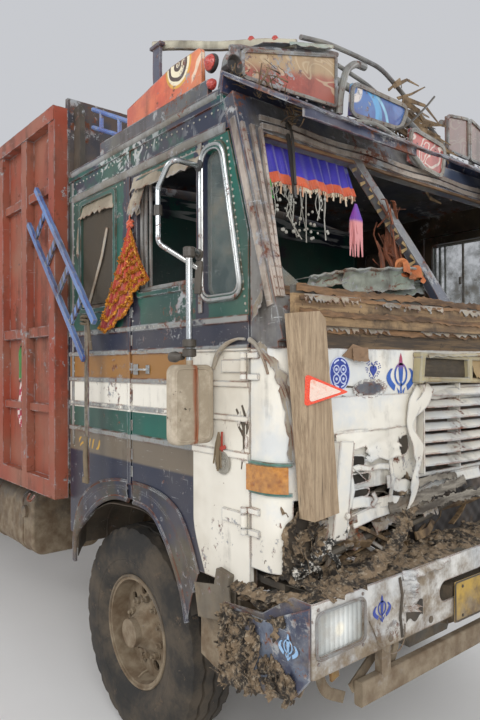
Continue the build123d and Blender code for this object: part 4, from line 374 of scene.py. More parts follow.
class Kit:      # gathers small solids of one finish, to become one piece
    def __init__(self):
        self.points, self.faces = [], []

    def add(self, points, faces):
        start = len(self.points)
        self.points += [tuple(point) for point in points]
        self.faces += [tuple(start + i for i in face) for face in faces]

    def slab(self, centre, size, turn=(0, 0, 0), chamfer=0.003):      # a block with broken edges
        half = [part / 2 for part in size]
        cut = min(chamfer, min(half) * 0.8)
        turned = Matrix.Rotation(turn[2], 3, "Z") @ Matrix.Rotation(turn[1], 3,
                "Y") @ Matrix.Rotation(turn[0], 3, "X")
        signs = [(a, b, c) for a in (-1, 1) for b in (-1, 1) for c in (-1, 1)]
        points = []
        for sign in signs:
            for axis in range(3):
                spot = Vector([sign[i] * (half[i] - (0 if i == axis else cut)) for i in range(3)])
                points.append(Vector(centre) + turned @ spot)
        where = {sign: i for i, sign in enumerate(signs)}
        faces = [tuple(3 * i + axis for axis in range(3)) for i in range(8)]
        for axis in range(3):
            other, third = [i for i in range(3) if i != axis]
            for side in (-1, 1):
                ring = []
                for a, b in ((-1, -1), (1, -1), (1, 1), (-1, 1)):
                    sign = [0, 0, 0]
                    sign[axis], sign[other], sign[third] = side, a, b
                    ring.append(3 * where[tuple(sign)] + axis)
                faces.append(tuple(ring))
            for a in (-1, 1):      # the chamfer strips along this axis
                for b in (-1, 1):
                    low, high = [0, 0, 0], [0, 0, 0]
                    low[axis], high[axis] = -1, 1
                    low[other] = high[other] = a
                    low[third] = high[third] = b
                    i, j = 3 * where[tuple(low)], 3 * where[tuple(high)]
                    faces.append((i + other, i + third, j + third, j + other))
        self.add(points, faces)

    # a flat outline carried along points
    def sweep(self, route, section, upright=(0, 0, 1), closed=False, grow=None):
        route = [Vector(point) for point in route]
        count, rings = len(section), []
        up = Vector(upright)
        for i, point in enumerate(route):
            ahead = route[min(i + 1, len(route) - 1)] - route[max(i - 1, 0)]
            if closed:
                ahead = route[(i + 1) % len(route)] - route[i - 1]
            ahead = ahead.normalized() if ahead.length > 1e-9 else Vector((0, 1, 0))
            if abs(ahead.dot(up)) > 0.97:
                up = Vector((1, 0, 0)) if abs(ahead.x) < 0.9 else Vector((0, 1, 0))
            side = ahead.cross(up).normalized()
            lifted = side.cross(ahead).normalized()
            if not closed and upright != (0, 0, 1):
                up = lifted
            size = grow(i / max(1, len(route) - 1)) if grow else 1
            rings.append([point + side * a * size + lifted * b * size for a, b in section])
        faces = []
        last = len(route) if closed else len(route) - 1
        for i in range(last):
            j = (i + 1) % len(route)
            for k in range(count):
                m = (k + 1) % count
                faces.append((i * count + k, i * count + m, j * count + m, j * count + k))
        if not closed:
            faces.append(tuple(range(count)))
            faces.append(tuple((len(route) - 1) * count + k for k in reversed(range(count))))
        self.add([point for ring in rings for point in ring], faces)

    def pipe(self, route, radius, sides=8, **how):
        turns = [2 * math.pi * k / sides for k in range(sides)]
        self.sweep(route, [(radius * math.cos(turn), radius * math.sin(turn)) for turn in turns], **how)

    def strap(self, route, wide, thick, **how):
        self.sweep(route, [(-wide / 2, -thick / 2), (wide / 2, -thick / 2), (wide / 2, thick / 2),
                           (-wide / 2, thick / 2)], **how)

    def lathe(self, profile, centre, axis="x", sides=32, start=0.0, flip=1):      # profile holds (along, radius)
        points, faces = [], []
        for k in range(sides):
            turn = start + 2 * math.pi * k / sides
            for along, radius in profile:
                a, b = radius * math.cos(turn), radius * math.sin(turn)
                spot = {"x": (along * flip, a, b), "y": (a, along * flip, b), "z": (a, b, along * flip)}[axis]
                points.append(Vector(centre) + Vector(spot))
        count = len(profile)
        for k in range(sides):
            m = (k + 1) % sides
            for i in range(count - 1):
                faces.append((k * count + i, k * count + i + 1, m * count + i + 1, m * count + i))
        if profile[0][1] > 1e-6:
            faces.append(tuple(k * count for k in range(sides)))
        if profile[-1][1] > 1e-6:
            faces.append(tuple(k * count + count - 1 for k in reversed(range(sides))))
        self.add(points, faces)

    def rivet(self, spot, out, radius=0.006):      # a low dome, its axis along out
        out = Vector(out).normalized()
        side = out.orthogonal().normalized()
        other = out.cross(side)
        points, faces, sides = [], [], 8
        for high, wide in ((-0.2, 1.0), (0.25, 0.92), (0.52, 0.55)):
            for k in range(sides):
                turn = 2 * math.pi * k / sides
                points.append(Vector(spot) + out * high * radius
                              + (side * math.cos(turn) + other * math.sin(turn)) * wide * radius)
        for ring in range(2):
            for k in range(sides):
                m = (k + 1) % sides
                faces.append((ring * sides + k, ring * sides + m, (ring + 1) * sides + m, (ring + 1) * sides + k))
        faces.append(tuple(2 * sides + k for k in range(sides)))
        faces.append(tuple(reversed(range(sides))))
        self.add(points, faces)

    # a flat outline with thickness; place turns (a, b, depth) into a point
    def plate(self, outline, thick, place):
        count = len(outline)
        points = [place(a, b, 0) for a, b in outline] + [place(a, b, thick) for a, b in outline]
        faces = [tuple(range(count)), tuple(reversed(range(count, 2 * count)))]
        faces += [(k, (k + 1) % count, (k + 1) % count + count, k + count) for k in range(count)]
        self.add(points, faces)

    # a thin curved sheet, shape(u, v) gives its points
    def skin(self, shape, across, along, thick=0.0015, keep=None):
        grid = [[Vector(shape(i / across, j / along)) for j in range(along + 1)] for i in range(across + 1)]
        front, back = [], []
        for i in range(across + 1):
            for j in range(along + 1):
                du = grid[min(i + 1, across)][j] - grid[max(i - 1, 0)][j]
                dv = grid[i][min(j + 1, along)] - grid[i][max(j - 1, 0)]
                normal = du.cross(dv)
                normal = normal.normalized() if normal.length > 1e-12 else Vector((0, 0, 1))
                front.append(grid[i][j] + normal * thick / 2)
                back.append(grid[i][j] - normal * thick / 2)
        total, row = len(front), along + 1
        kept = {(i, j) for i in range(across) for j in range(along) if keep is None
                or keep((i + 0.5) / across, (j + 0.5) / along)}
        faces = []
        for i, j in kept:
            a, b, c, d = i * row + j, (i + 1) * row + j, (i + 1) * row + j + 1, i * row + j + 1
            faces += [(a, b, c, d), (total + d, total + c, total + b, total + a)]
            if (i - 1, j) not in kept:
                faces.append((a, d, total + d, total + a))
            if (i + 1, j) not in kept:
                faces.append((b, total + b, total + c, c))
            if (i, j - 1) not in kept:
                faces.append((a, total + a, total + b, b))
            if (i, j + 1) not in kept:
                faces.append((d, c, total + c, total + d))
        self.add(front + back, faces)

    def done(self, name, look, body="truck", slot=None, sharp=35):
        mesh = bpy.data.meshes.new(name)
        mesh.from_pydata(self.points, [], self.faces)
        work = bmesh.new()
        work.from_mesh(mesh)
        loose = [vert for vert in work.verts if not vert.link_faces]
        bmesh.ops.delete(work, geom=loose, context="VERTS")
        bmesh.ops.recalc_face_normals(work, faces=work.faces)
        work.to_mesh(mesh)
        work.free()
        for face in mesh.polygons:
            face.use_smooth = True
        mesh.set_sharp_from_angle(angle=math.radians(sharp))
        mesh.materials.append(look)
        piece = bpy.data.objects.new(name, mesh)
        bpy.context.scene.collection.objects.link(piece)
        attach(piece, body)
        return piece


def rounded(points, radius, steps=4, closed=False):      # a route with its corners rounded, for bent tube and bar
    points = [Vector(point) for point in points]
    made = [] if closed else [points[0]]
    count = len(points)
    for i in range(0 if closed else 1, count if closed else count - 1):
        before, here, after = points[i - 1], points[i], points[(i + 1) % count]
        one, two = (before - here), (after - here)
        cut = min(radius, one.length * 0.45, two.length * 0.45)
        start, end = here + one.normalized() * cut, here + two.normalized() * cut
        for k in range(steps + 1):
            t = k / steps
            made.append(start * (1 - t) ** 2 + here * 2 * t * (1 - t) + end * t ** 2)
    if not closed:
        made.append(points[-1])
    return made


def wobble(a, b, c):      # smooth noise round 0
    return noise.noise(Vector((a, b, c)))


def jitter(spot, scale=3.0, amount=0.01, seed=0.0):      # a smooth repeatable wander
    spot = Vector(spot)
    return noise.noise_vector(spot * scale + Vector((seed, seed * 1.7, seed * 0.3))) * amount


def smoothLine(points, steps=6):      # a soft curve through the points
    made = []
    for i in range(len(points) - 1):
        p = [Vector(points[min(max(i + k, 0), len(points) - 1)]) for k in (-1, 0, 1, 2)]
        for s in range(steps):
            t = s / steps
            made.append(0.5 * (2 * p[1] + (p[2] - p[0]) * t
                               + (2 * p[0] - 5 * p[1] + 4 * p[2] - p[3]) * t ** 2
                               + (3 * p[1] - p[0] - 3 * p[2] + p[3]) * t ** 3))
    return made + [Vector(points[-1])]


# a crushed strip along a line
def crumpledStrap(kit, points, wide, seed, ripple=0.012, up=(0, -1, 0.4), cells=(44, 6)):
    line = smoothLine(points)
    length = sum((b - a).length for a, b in zip(line, line[1:]))

    def shape(u, v):
        k = min(len(line) - 2, int(u * (len(line) - 1)))
        spot = line[k].lerp(line[k + 1], u * (len(line) - 1) - k)
        ahead = (line[k + 1] - line[k]).normalized()
        side = ahead.cross(Vector(up)).normalized()
        along, across = u * length, v * wide
        bump = (wobble(along * 16, across * 20, seed) + 0.6 * wobble(along * 45, across * 55, seed)
                + 0.35 * wobble(along * 120, across * 130, seed))
        edge = 1 + 0.7 * wobble(along * 30, seed, v * 0.5) + 0.6 * wobble(along * 85, seed, v * 2)
        return spot + side * (v - 0.5) * wide * edge + side.cross(ahead) * bump * ripple
    kit.skin(shape, *cells, 0.003)


print("mesh helpers ready")
bands = bandedPaint()
paints = (      # key, material, two colours, wear, mud, scuff, grime, then roughness and the width of worn edges
    ("chassis", "chassisSteel", "33302c", "4a4136", 0.6, 0.9, 0.1, 0.8, 0.6, 0),
    ("iron", "oilyIron", "3c352e", "57402f", 0.9, 0.9, 0.0, 0.8, 0.62, 0),
    ("engine", "engineGrey", "4a4f4c", "33322f", 0.4, 0.4, 0.0, 0.9, 0.5, 0),
    ("tank", "tankPaint", "2e3032", "3d3a36", 0.5, 0.9, 0.3, 0.6),
    ("rim", "wheelPaint", "66757b", "7d8280", 1.0, 1.0, 0.2, 0.8, 0.55, 0.008),
    ("navy", "navyPaint", "2b3350", "3c4762", 0.9, 0.5, 1.0, 0.6),
    ("greyNavy", "framePaint", "3a4458", "6d6f70", 1.0, 0.4, 1.2, 0.9),
    ("roof", "roofPaint", "3b4253", "585a58", 1.0, 0.3, 0.6, 1.0),
    ("white", "whitePaint", tones["white"], "d3d5d3", 0.55, 0.62, 0.3, 0.55),
    ("bumper", "bumperPaint", "dcdbd6", "c4c8ca", 0.7, 0.95, 0.3, 0.6),
    ("cargo", "cargoPaint", tones["cargo"], "8a3f2a", 0.55, 0.35, 0.4, 0.85, 0.6),
    ("blue", "ladderPaint", "4d6fb0", "5d7fbd", 0.8, 0.3, 0.5, 0.5),
    ("tubeSteel", "crownSteel", "62686c", "8a8a84", 0.8, 0.1, 0.6, 0.8),
    ("vinyl", "cabVinyl", "3a302a", "4a3d33", 0.2, 0.2, 0.3, 0.8, 0.55, 0),
    ("plastic", "wheelPlastic", "1d1d1f", "2b2a2a", 0.2, 0.0, 0.3, 0.4, 0.45, 0),
    ("headboard", "headboardPaint", "2c3040", "51423a", 0.9, 0.3, 0.5, 0.9, 0.6),
    ("nut", "nutSteel", "4a443c", "6b5d4a", 0.8, 0.6, 0.1, 0.7, 0.55, 0),
    ("strip", "mouldingMetal", "8d9090", "6d6a62", 0.9, 0.1, 0.7, 0.9, 0.4, 0.004),
    ("dot", "rivetMetal", "b4b3ab", "8d8a80", 0.4, 0.1, 0.0, 0.3, 0.4, 0),
    ("crumple", "crumpledSheet", "a79c89", "857a68", 0.6, 0.2, 0.5, 0.9, 0.6),
    ("dark", "darkScrap", "2d2822", "4b3f33", 0.3, 0.2, 0.2, 0.6, 0.7, 0),
    ("webbing", "strapWebbing", "5c5040", "75664f", 0.0, 0.1, 0.2, 0.7, 0.9, 0),
    ("card", "tornCard", "a58a5c", "86704c", 0.1, 0.2, 0.1, 0.5, 0.8, 0),
    ("scrapSteel", "scrapSteel", "565148", "2f2b26", 1.0, 0.9, 0.8, 0.8, 0.6, 0),
    ("muddyWhite", "muddyWhite", "b3a898", "75644f", 0.9, 1.2, 0.4, 1.0, 0.7),
    ("frameGrey", "boardFrame", "8f8b80", "5f6264", 0.9, 0.0, 0.8, 0.9, 0.5, 0.004),
    ("palePole", "palePole", "c2bda8", "9a9482", 0.5, 0.1, 0.4, 0.8, 0.5),
    ("pillar", "pillarPaint", "8c8178", "b5a89b", 1.1, 0.3, 0.8, 1.0, 0.6, 0.005),
    ("lip", "archLip", "232a40", "3a3830", 0.4, 0.55, 0.9, 0.9, 0.6),
    ("rimTeal", "rimTeal", "3f7b72", "5b8a7c", 0.8, 0.6, 0.5, 0.9, 0.5),
    ("caseTin", "caseTin", "b3a781", "8f8463", 0.7, 0.3, 0.4, 0.8, 0.6),
    ("brownCard", "brownCard", "9d7f63", "80664e", 0.1, 0.2, 0.1, 0.5, 0.85, 0),
    ("pitDark", "pitDark", "2a231c", "171411", 0.0, 0.35, 0.0, 0.8, 0.9, 0),
    ("plateYellow", "plateYellow", "c09a2c", "a9862c", 0.3, 0.7, 0.3, 0.7, 0.5, 0.003),
    ("stayYellow", "stayYellow", "b98a35", "94702f", 0.5, 0.6, 0.2, 0.7, 0.6),
    ("peeledSheet", "peeledSheet", "93a79d", "b6bdae", 0.8, 0.0, 0.5, 0.8, 0.55),
    ("slotDark", "slotDark", "1f1a16", "110f0d", 0.0, 0.12, 0.0, 0.4, 0.9, 0),
    ("paleTin", "paleTin", "8f9a8c", "6d7268", 0.9, 0.2, 0.7, 0.9, 0.5),
)
looks = {key: plainPaint(*row) for key, *row in paints}
looks.update({
    "post": timberLook("postTimber", "b09a7e", "8f7a61", (38, 38, 2.2)),
    "deck": timberLook("deckTimber", "8b6d4c", "5b4430", (14, 0.9, 14), 0.5),
    "board": timberLook("boardTimber", "6d5c4d", "4c4037", (8, 8, 8), 0.3),
    "rubber": rubberLook(),
    "glass": glassLook(),
    "mirror": mirrorLook(),
})


def sillLook():      # boards under the windscreen: grey steel strip, ochre timber, dark lower band
    look = Finish("sillBoards")
    grain = look.cloud(3.0, 6, 0.65, look.stretched((1.0, 14, 14)))
    timber = look.mix(grain.rise(0.36, 0.62), "6a523a", "9a7f5c")
    timber = look.mix(look.cloud(2.6, 6, 0.72).rise(0.42, 0.60) * 0.85, timber, "40342a")
    steel = look.mix(look.cloud(6, 5).rise(0.4, 0.62), "6f6f6a", "4a443c")
    lower = look.mix(grain.rise(0.4, 0.6), "40352a", "6b573f")
    shade = look.mix(look.z.rise(1.990, 1.994), lower, timber)
    shade = look.mix(look.z.rise(2.098, 2.102), shade, steel)
    speck = look.cloud(18, 7, 0.78).rise(0.60, 0.65)
    look.colour(look.mix(speck, shade, tones["mudDark"]))
    look.link("Roughness", 0.62 + grain * 0.3)
    look.relief(grain + speck * 0.3, 0.003, 0.7)
    return look.material


def lampLook():      # headlamp glass low down, orange indicators above it
    look = Finish("lampLens", Coat_Weight=0.6, Coat_Roughness=0.1)
    orange = look.z.rise(1.30, 1.31)
    ribs = look.wave("X", 14.0)
    squares = look.cells(46)
    head = look.mix(ribs * 0.35, "e9ebe6", "9fa6a6")
    film = look.cloud(7, 6, 0.7).rise(0.42, 0.72)
    lampGlareReach = look.reach(look.point(look.x.away(), 0.0, look.z), (1.124, 0.0, 0.995))
    # painted light on the headlamp glass: a near-white painted highlight at the lamp's centre, and painted shade
    # darkening towards the bowl's rim
    head = look.mix(lampGlareReach.rise(0.020, 0.10) * 0.75, head, "8b8f8c")
    head = look.mix(lampGlareReach.rise(0.012, 0.03), "fbf6e4", head)
    head = look.mix(film * 0.5, head, tones["dust"])
    amber = look.mix(squares.rise(0.0, 0.6) * 0.5 + look.cloud(30, 4, 0.7).rise(0.35, 0.65) * 0.5, "8a4c14",
                     "c98a3c")
    amber = look.mix(film * 0.35, amber, tones["mud"])
    look.colour(look.mix(orange, head, amber))
    look.link("Roughness", 0.16 + film * 0.35)
    look.relief(ribs * (1 - orange) + squares * orange, 0.003, 0.8)
    return look.material


def boardLook():      # the crown's painted boards: generic flourishes in the boards' own reds and blue
    look = Finish("crownBoards", Coat_Weight=0.3)
    x, y, z = look.x, look.y, look.z
    mottled = look.cloud(5, 5, 0.7)
    red = look.mix(mottled.rise(0.4, 0.6), "c24a2e", "d9653a")
    # side boards: a cream medallion with a dark petal ring, lighter towards the front
    side = look.mix((y * -1 - 3.45).rise(0.0, 0.45), red, "e08a5a")
    around = look.reach(look.point(0.0, y, z), (0.0, -3.60, 3.135))
    side = look.mix(around.within(0.0, 0.085, 0.004), side, "efe4c4")
    side = look.mix(around.within(0.085, 0.097, 0.003), side, "d9a22c")
    petal = look.node("ShaderNodeTexWave", {"wave_type": "RINGS", "rings_direction": "SPHERICAL"},
                      {"Vector": look.point(0.0, y + 3.60, z - 3.135), "Scale": 7.5, "Distortion": 2.2})
    side = look.mix(petal.rise(0.62, 0.7) * around.within(0.0, 0.078, 0.006), side, "3a2622")
    wave = look.wave("DIAGONAL", 3.6, look.point(0.0, y, z), Distortion=5.0)
    side = look.mix(wave.rise(0.86, 0.93) * (y * -1 - 3.70).rise(-0.01, 0.01) * 0.8, side, "f0dcc0")
    # front boards: beige above faded red, with a pale scroll
    dull = look.mix(mottled.rise(0.4, 0.6), "85372c", "a54b3b")
    front = look.mix((z - 0.19 * x - 3.238 + 0.05 * look.cloud(4, 3)).rise(0.0, 0.05), dull, "b3956f")
    drawn = look.cloud(3.6, 1, 0.5, look.stretched((1.2, 0.1, 1.9)), 1.6)
    scroll = drawn.within(0.470, 0.520, 0.008).most(drawn.within(0.600, 0.630, 0.008))
    front = look.mix(scroll * 0.65, front, "cdb795")
    blue = look.mix(look.cloud(3.2, 4, 0.6).rise(0.4, 0.6), "24398c", "2f6fb8")
    wander = look.cloud(5, 2, 0.5, look.stretched((1, 0.1, 1))) * 0.05
    for cx, cz, low, high, tone in ((-0.46, 3.00, 0.115, 0.160, "4aa6de"),
                                    (-0.43, 2.96, 0.165, 0.185, "8fd0f0"),
                                    (-0.50, 3.09, 0.030, 0.065, "e6ddd8")):
        swoosh = look.reach(look.point(x, 0.0, z), (cx, 0.0, cz)) + wander
        blue = look.mix(swoosh.within(low + 0.02, high + 0.02, 0.004), blue, tone)
    fallen = y < axleY - 0.92
    lowest = y < axleY - 0.962
    faded = look.mix(mottled.rise(0.4, 0.6), "a52a2c", "bb4a40")
    faded = look.mix(scroll * 0.8, faded, "d9cfc0")
    # painted shade: the front boards beyond x 0.2 are darkened to a dull brown
    front = look.mix((x - 0.2).rise(0, 0.02) * 0.8, front, "57463c")
    front = look.mix(fallen, front, look.mix(lowest, blue, faded))
    shade = look.mix((x.away() - 1.13).rise(0.0, 0.006), front, side)
    weather(look, shade, wear=0.5, mud=0.0, scuff=0.5, grime=0.7, rough=0.4)
    return look.material


def ladderLook():      # blue rails, dark bands round the rungs, brown webbing below
    look = Finish("ladderPaint")
    blue = look.mix(look.cloud(4, 4).rise(0.4, 0.6), "3d5c97", "5b7fb8")
    foot = (axleY + 0.018, 2.064)
    across = (look.y - foot[0]) * 0.741 - (look.z - foot[1]) * 0.6715
    slanted = across + (look.z - foot[1]) * 0.5
    stripe = look.wave("X", 9.0, look.point(slanted, 0.0, 0.0))
    blue = look.mix(across.within(0.016, 0.189) * stripe.rise(0.45, 0.55), blue, "20263a")
    strap = (look.y - axleY).within(0.098,
                                    0.142) * (look.z < 2.10) * (look.x.away() < -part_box("ladder")[1][0]
            + 0.0075)
    blue = look.mix(strap, blue, look.mix(look.cloud(40, 4).rise(0.35, 0.65), "4a4136", "756a58"))
    weather(look, blue, wear=0.6, mud=0.2, scuff=0.6, grime=0.6, rough=0.42)
    return look.material


def bumperLook():      # white beam, its lower bar and ends in worn navy under the mud
    look = Finish("bumperPaint")
    white = look.mix(look.cloud(2.8, 5, 0.65).rise(0.42, 0.6), "dcdbd6", "c4c8ca")
    navy = look.mix(look.cloud(5, 5, 0.7).rise(0.4, 0.58), "2b3350", "566072")
    low = look.z < 0.80
    end = (look.x.away() - 1.255).rise(0, 0.004)
    shade = look.mix((low * look.cloud(3, 4).rise(0.38, 0.5)).most(end), white, navy)
    weather(look, shade, wear=0.75, mud=1.0, scuff=0.5, grime=0.75)
    return look.material


def radiatorLook():      # crushed core with bent fins
    look = Finish("radiatorCore", Metallic=0.5)
    bent = look.cloud(3.5, 3, 0.6)
    fins = look.wave("X", 42.0, Distortion=3.0, Detail_Scale=1.2)
    shade = look.mix(fins, "2a2724", "6a5d4b")
    shade = look.mix(bent.rise(0.5, 0.66) * 0.8, shade, tones["mud"])
    look.colour(shade)
    look.link("Roughness", 0.55 + bent * 0.3)
    look.relief(fins, 0.004, 0.8)
    return look.material


def coverLook():      # quilted black vinyl over the engine cover
    look = Finish("engineCoverVinyl", Sheen_Weight=0.2)
    size = 9.0
    quilt = (look.wave("DIAGONAL", size) + look.wave("DIAGONAL", size, look.stretched((-1, 1, 1)))) * 0.5
    wornSpot = look.cloud(3, 5, 0.7).rise(0.5, 0.68)
    look.colour(look.mix(wornSpot, "241f1d", "5c4c3d"))
    look.link("Roughness", 0.5 + wornSpot * 0.3)
    look.relief(quilt + look.cloud(160, 2) * 0.1, 0.006, 0.7)
    return look.material


nodeLooks = {
    "frame_rails": "chassis", "cross_members": "chassis", "cab_floor": "chassis", "tail_frame": "chassis",
    "cab_steps": "chassis", "mudguards": "chassis", "seat_bases": "chassis", "silencer": "iron",
    "leaf_springs": "iron", "front_axle": "iron", "rear_axle": "iron", "knuckle_right": "iron",
    "knuckle_left": "iron", "track_rod": "iron", "propeller_shaft": "iron", "engine": "engine",
    "fuel_tank": "tank", "side_lockers": "tank", "front_wheel_right": "rim", "front_wheel_left": "rim",
    "rear_wheels_right": "rim", "rear_wheels_left": "rim", "front_tyre_right": "rubber",
    "front_tyre_left": "rubber", "rear_tyres_right": "rubber", "rear_tyres_left": "rubber",
    "steering_wheel": "plastic", "dashboard": "vinyl", "window_boards": "board",
    "quarter_glass_right": "glass", "quarter_glass_left": "glass", "mirror_right": "mirror",
    "mirror_left": "mirror", "cab_roof": "roof", "windscreen_frame": "greyNavy", "front_corners": "white",
    "front_panel": "white", "grille": "white", "timber_post": "post", "visor": "navy",
    "crown_frame": "tubeSteel", "cargo_floor": "deck", "cargo_sides": "cargo", "headboard": "headboard",
    "rear_frame": "cargo", "tailgate": "cargo", "valance": "vinyl", "side_cloth": "vinyl", "seat_cushions": "vinyl",
}
ownLooks = {"cab_sides": bands, "cab_door_right": bands, "cab_door_left": bands, "cab_rear_wall": bands,
            "bumper": bumperLook(), "sill_boards": sillLook(), "lamps": lampLook(),
            "crown_boards": boardLook(), "ladder": ladderLook(), "radiator": radiatorLook(),
            "engine_cover": coverLook()}
for name, node in nodes.items():
    look = ownLooks.get(name) or looks[nodeLooks[name]]
    for held in node.material_slots:
        held.material = look
print("CAD nodes finished")


def at(x, y, z):      # a point with y counted from the front axle, as the photograph was measured
    return Vector((x, axleY + y, z))


def pick(seed):
    return random.Random(seed)


both = (("right", -1), ("left", 1))
tyre = {"segments": 112, "grooves": (-0.058, 0.0, 0.058), "deep": 0.013, "swing": 0.007,
        "side": ((0.098, 0.266), (0.104, 0.274), (0.112, 0.290), (0.129, 0.325), (0.1335, 0.345), (0.1335, 0.352),
                 (0.137, 0.358), (0.1385, 0.400), (0.1365, 0.440), (0.1325, 0.452), (0.131, 0.470), (0.126, 0.492))}


def tyreColumns():      # across the tread: (along, radius, how far the zigzag moves it, notch depth)
    columns = [(-a, r, 0, 0.012 if r > 0.46 else 0) for a, r in tyre["side"]] + [(-0.113, 0.511, 0, 0.010)]
    for middle in tyre["grooves"]:
        for shift, drop in ((-0.008, 0), (-0.004, 1), (0.004, 1), (0.008, 0)):
            along = middle + shift
            columns.append((along, 0.520 - 0.55 * along ** 2 - drop * tyre["deep"], tyre["swing"], 0))
    return columns + [(-a, r, s, n) for a, r, s, n in reversed(columns[:len(tyre["side"]) + 1])]


def fitTyre(name, centres, body, node):
    kit, count = Kit(), tyre["segments"]
    columns = tyreColumns()
    for middle in centres:
        points, faces = [], []
        for k in range(count):
            turn = 2 * math.pi * k / count
            zig = (0, 1, 0, -1)[k % 4]
            for along, radius, swing, notch in columns:
                radius -= notch * (k % 4 == 2)
                points.append((middle[0] + along + zig * swing, middle[1] + radius * math.cos(turn),
                               middle[2] + radius * math.sin(turn)))
        wide = len(columns)
        for k in range(count):
            m = (k + 1) % count
            faces += [(k * wide + i, k * wide + i + 1, m * wide + i + 1, m * wide + i) for i in range(wide - 1)]
            faces.append((k * wide + wide - 1, k * wide, m * wide, m * wide + wide - 1))
        kit.add(points, faces)
    piece = kit.done(name, looks["rubber"], body, sharp=28)
    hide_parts(node)


def ringSpots(count, radius, start=0.0):      # points of a circle that faces sideways
    turns = (start + math.tau * k / count for k in range(count))
    return [(turn, Vector((0, radius * math.cos(turn), radius * math.sin(turn)))) for turn in turns]


fixings = {"nuts": (10, 0.142, math.pi / 10), "bolts": (8, 0.069, 0.2), "ring": (48, 0.2705), "valve": -0.215,
           "ring_front": 1.073, "ring_rear": 1.130}


def fitNuts(hand, side, place, face, hub):      # wheel nuts on their studs, rim ring, hub bolts and the valve
    kit = Kit()
    middle = at(0, 0 if place == "front" else wheelBase, hubZ)
    for turn, spot in ringSpots(*fixings["nuts"]):
        spot += middle + Vector((side * face, 0, 0))
        kit.lathe([(-0.004, 0.023), (0.004, 0.023), (0.006, 0.019)], spot, sides=12, flip=side)
        kit.lathe([(0.004, 0.0175), (0.026, 0.0175), (0.029, 0.014)], spot, sides=6, start=turn, flip=side)
        kit.lathe([(0.020, 0.009), (0.044, 0.009), (0.046, 0.007)], spot, sides=10, flip=side)
    for turn, spot in ringSpots(*fixings["bolts"]):
        spot += middle + Vector((side * hub, 0, 0))
        kit.lathe([(-0.002, 0.0095), (0.010, 0.0095), (0.012, 0.008)], spot, sides=6, flip=side)
    rimFace = middle + Vector((side * fixings["ring_" + place], 0, 0))
    kit.pipe([rimFace + spot for turn, spot in ringSpots(*fixings["ring"])], 0.007, 6, closed=True,
             upright=(1, 0, 0))
    valve = middle + Vector((side * (face + 0.01), 0, fixings["valve"]))
    kit.pipe(rounded([valve, valve + Vector((side * 0.03, 0, -0.006)),
                      valve + Vector((side * 0.055, 0, -0.022))], 0.01), 0.005, 8)
    kit.done("nuts_" + place + "_" + hand, looks["nut"],
             ("front_wheel_" if place == "front" else "rear_wheels_") + hand)


for hand, side in both:
    fitTyre("tread_front_" + hand, [at(side * 0.965, 0, hubZ)], "front_wheel_" + hand, "front_tyre_" + hand)
    fitTyre("tread_rear_" + hand, [at(side * x, wheelBase, hubZ) for x in (0.700, 1.022)],
            "rear_wheels_" + hand, "rear_tyres_" + hand)
    fitNuts(hand, side, "front", 0.993, 1.056)
    fitNuts(hand, side, "rear", 0.955, 1.082)
print("wheels done")


# Cab sides: rivets, mouldings and window frames on both sides, the photograph's damage on the driver's side
beadLevels = (2.024, 1.916, 1.782, 1.655, 1.520)
doorEdge, cabEdge = (-0.68, -0.20), (-0.18, 0.44)      # the beads' rivets end where the white sheet starts
looks["bright"] = brightLook()


def studLine(kit, start, end, step, out, radius=0.0048, seed=1):
    start, end = Vector(start), Vector(end)
    count, chance = max(2, round((end - start).length / step)), pick(seed)
    for k in range(count + 1):
        if chance.random() < 0.93:
            kit.rivet(start.lerp(end, k / count), out, radius * chance.uniform(0.85, 1.1))


def quarterLine(grow, x):      # the quarter window's outline, grown outward
    corners = [(-0.769 + grow, 2.125 - grow), (-0.769 + grow, 2.69 + grow), (-0.875 - grow, 2.69 + grow),
               (-0.989 - grow, 2.125 - grow)]
    return rounded([at(x, y, z) for y, z in corners], 0.05 + grow, 6, closed=True)


